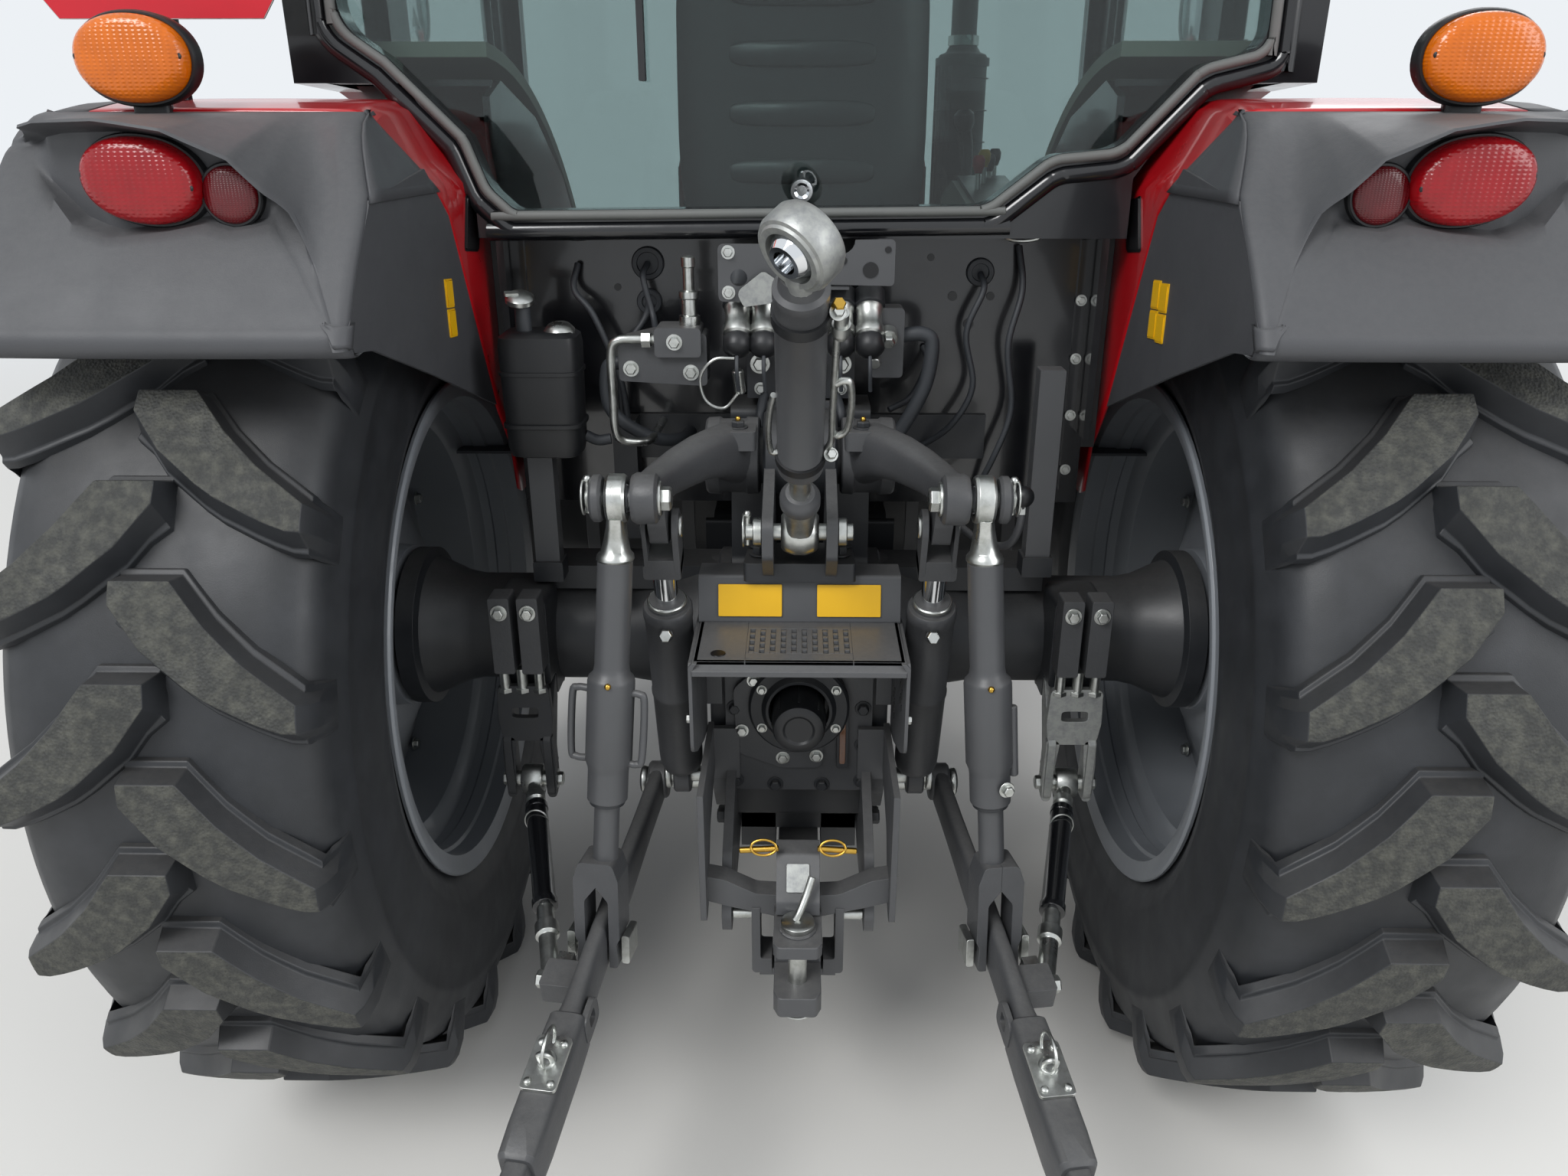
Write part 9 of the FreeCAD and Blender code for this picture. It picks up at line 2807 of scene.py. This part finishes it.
    def build(self) -> None:
        """Makes the whole front."""
        self.hood()
        self.engine()
        self.cooling()
        self.frame_and_axle()
        self.boxes()
        self.steps()


@dataclass(frozen=True)
class Carried:
    """The solids that keep their own shape and only get a finish."""

    COATS: ClassVar[dict[str, "Coat | Glazing"]] = {
        "amber_lamps": Coat.AMBER_LENS, "cab_frame": Coat.BLACK_ENAMEL, "cab_glass": GLASS,
        "cab_tub": Coat.BLACK_ENAMEL, "consoles": Coat.BEIGE_TRIM, "cooling_pack": Coat.BLACK_PLASTIC,
        "dash": Coat.BLACK_PLASTIC, "door_glass_left": GLASS, "door_glass_right": GLASS,
        "door_left": Coat.BLACK_ENAMEL, "door_right": Coat.BLACK_ENAMEL, "drawbar": Coat.PLATE_PAINT,
        "drawbar_hanger": Coat.PLATE_PAINT, "engine": Coat.DARK_PAINT, "exhaust": Coat.HOT_STEEL,
        "fender_caps": Coat.GRAINED_PLASTIC, "fender_left": Coat.RED_ENAMEL, "fender_right": Coat.RED_ENAMEL,
        "headlamps": Coat.CLEAR_LENS, "front_axle": Coat.DARK_PAINT,
        "front_frame": Coat.DARK_PAINT, "front_left_rim": Coat.RIM_PAINT, "front_right_rim": Coat.RIM_PAINT,
        "front_left_tyre": Coat.RUBBER, "front_right_tyre": Coat.RUBBER, "hitch_pin": Coat.ZINC,
        "hitch_valves": Coat.ZINC, "hood": Coat.RED_ENAMEL, "hood_grilles": Coat.BLACK_PLASTIC,
        "knuckle_left": Coat.DARK_PAINT, "knuckle_right": Coat.DARK_PAINT, "lift_arms": Coat.CAST_PAINT,
        "lift_barrel_left": Coat.PLATE_PAINT, "lift_barrel_right": Coat.PLATE_PAINT, "lift_ram_left": Coat.CAST_PAINT,
        "lift_ram_right": Coat.CAST_PAINT, "lift_rod_left": Coat.PLATE_PAINT, "lift_rod_right": Coat.PLATE_PAINT,
        "link_brackets": Coat.CAST_PAINT, "lower_link_left": Coat.CAST_PAINT, "lower_link_right": Coat.CAST_PAINT,
        "mirrors": Coat.BLACK_PLASTIC, "pto_guard": Coat.PLATE_PAINT, "pto_shaft": Coat.CHROME,
        "rear_left_rim": Coat.RIM_PAINT, "rear_right_rim": Coat.RIM_PAINT, "rear_left_tyre": Coat.RUBBER,
        "rear_right_tyre": Coat.RUBBER, "reservoir": Coat.BLACK_PLASTIC, "roof": Coat.RED_ENAMEL,
        "seat": Coat.SEAT_CLOTH, "side_boxes": Coat.BLACK_PLASTIC, "slow_sign": Coat.SIGN_RED,
        "steering_rod": Coat.CHROME, "steering_wheel": Coat.BLACK_PLASTIC, "steps": Coat.PLATE_PAINT,
        "tail_lamps": Coat.RED_LENS, "top_link_barrel": Coat.PLATE_PAINT, "top_link_rod": Coat.ZINC,
        "transmission": Coat.DARK_PAINT}

    def dress_all(self) -> None:
        """Gives every carried-over solid its finish."""
        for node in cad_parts:
            if node in self.COATS:
                dress(node, self.COATS[node])


@dataclass
class Studio:
    """The camera, the lamps, the sky and the pale floor."""

    # The camera's place in millimetres, its tilt and turn in degrees, and its lens; the lamps' watts; the colours of
    # the floor, the background and the light of the sky; where the floor fades into the background, in metres; the
    # sky's strength and half the floor's width
    camera_at: Point = (0.0, -1940.0, 1650.0)
    camera_down: float = 22.0
    camera_left: float = 0.85
    lens_mm: float = 26.0
    key_power: float = 1150.0
    fill_power: float = 360.0
    floor_colour: str = "D9D7D2"
    far_colour: str = "EDF1F5"
    sky_colour: str = "E9EEF5"
    fade: Pair = (4.0, 13.0)
    sky_power: float = 0.8
    floor_half: float = 40.0

    def lamp(self, name: str, where: Point, aim: Point, size: float, power: float) -> None:
        """Hangs one square lamp.

        Args:
            name: The lamp's name.
            where: Its place in metres.
            aim: What it points at.
            size: The length of its sides in metres.
            power: Its power in watts.
        """
        light = bpy.data.lights.new(name, "AREA")
        light.size = size
        light.energy = power
        made = bpy.data.objects.new(name, light)
        made.location = where
        made.rotation_euler = (Vector(aim) - Vector(where)).to_track_quat("-Z", "Y").to_euler()
        bpy.context.scene.collection.objects.link(made)

    def seen(self, tree: bpy.types.NodeTree) -> bpy.types.NodeSocket:
        """Tells the rays that show the background: straight ones, and those by way of glass or shine.

        Args:
            tree: The node tree to add to.

        Returns:
            The socket that is 1 for such a ray.
        """
        path = add_node(tree, "ShaderNodeLightPath")
        seen = add_node(tree, "ShaderNodeMath", {0: path.outputs["Is Camera Ray"],
                                                 1: path.outputs["Is Transmission Ray"]}, operation="MAXIMUM")
        seen = add_node(tree, "ShaderNodeMath", {0: seen.outputs["Value"], 1: path.outputs["Is Glossy Ray"]},
                        operation="MAXIMUM")
        return seen.outputs["Value"]

    def floor(self) -> None:
        """Lays the plain floor, which keeps the shadow and fades into the background far out."""
        mesh = bpy.data.meshes.new("floor")
        h = self.floor_half
        mesh.from_pydata([(-h, -h, 0), (h, -h, 0), (h, h, 0), (-h, h, 0)], [], [(0, 1, 2, 3)])
        made = bpy.data.objects.new("floor", mesh)
        paint = bpy.data.materials.new("floor, matt paint")
        paint.use_nodes = True
        shade = paint.node_tree.nodes["Principled BSDF"]
        shade.inputs["Base Color"].default_value = linear(self.floor_colour)
        shade.inputs["Roughness"].default_value = 0.9
        tree = paint.node_tree
        where = add_node(tree, "ShaderNodeTexCoord")
        away = add_node(tree, "ShaderNodeVectorMath", {0: where.outputs["Object"]}, operation="LENGTH")
        far = add_node(tree, "ShaderNodeMapRange", {"Value": away.outputs["Value"], "From Min": self.fade[0],
                                                    "From Max": self.fade[1]}, interpolation_type="SMOOTHSTEP")
        share = add_node(tree, "ShaderNodeMath", {0: far.outputs["Result"], 1: self.seen(tree)}, operation="MULTIPLY")
        pale = add_node(tree, "ShaderNodeEmission", {"Color": linear(self.far_colour), "Strength": 1.0})
        both = add_node(tree, "ShaderNodeMixShader", {0: share.outputs["Value"], 1: shade.outputs["BSDF"],
                                                      2: pale.outputs["Emission"]})
        tree.links.new(both.outputs["Shader"], tree.nodes["Material Output"].inputs["Surface"])
        mesh.materials.append(paint)
        bpy.context.scene.collection.objects.link(made)

    def sky(self) -> None:
        """A pale background, and a softer even light on the tractor."""
        world = bpy.data.worlds.new("studio")
        world.use_nodes = True
        tree = world.node_tree
        tree.nodes.clear()
        even = add_node(tree, "ShaderNodeBackground", {"Color": linear(self.sky_colour),
                                                             "Strength": self.sky_power})
        pale = add_node(tree, "ShaderNodeBackground", {"Color": linear(self.far_colour), "Strength": 1.0})
        both = add_node(tree, "ShaderNodeMixShader", {0: self.seen(tree), 1: even.outputs["Background"],
                                                      2: pale.outputs["Background"]})
        add_node(tree, "ShaderNodeOutputWorld", {"Surface": both.outputs["Shader"]})
        bpy.context.scene.world = world

    def camera(self) -> None:
        """Stands the camera where the photograph was taken, behind and above the drawbar."""
        lens = bpy.data.cameras.new("camera")
        lens.lens = self.lens_mm
        lens.sensor_width = 36.0
        lens.clip_start = 0.05
        made = bpy.data.objects.new("camera", lens)
        made.location = at(*self.camera_at)
        made.rotation_euler = (math.radians(90 - self.camera_down), 0, math.radians(self.camera_left))
        bpy.context.scene.collection.objects.link(made)
        bpy.context.scene.camera = made

    def build(self) -> None:
        """Sets the whole studio up."""
        bpy.context.scene.view_settings.view_transform = "Standard"
        self.floor()
        self.sky()
        self.camera()
        self.lamp("key", (-5.8, -9.4, 10.8), (0, -0.8, 0.8), 5.4, self.key_power)
        self.lamp("fill", (8.1, -6.3, 5.4), (0, -0.8, 0.8), 5.4, self.fill_power)
        self.lamp("front", (4.5, 10.8, 9.0), (0, 1.0, 1.0), 8.0, self.fill_power * 1.2)


def main() -> None:
    """Builds and dresses the tractor, sub-assembly by sub-assembly."""
    logging.basicConfig(level=logging.INFO, format="%(name)s %(message)s")
    Studio().build()
    Wheels().build()
    Fenders().build()
    Lamps().build()
    Hitch().build()
    for group in (Gearbox, LinkBrackets, ShaftGuard, Drawbar, Valves, Cab, Interior, Outside, Front):
        group().build()
    Carried().dress_all()


if __name__ == "__main__":
    main()
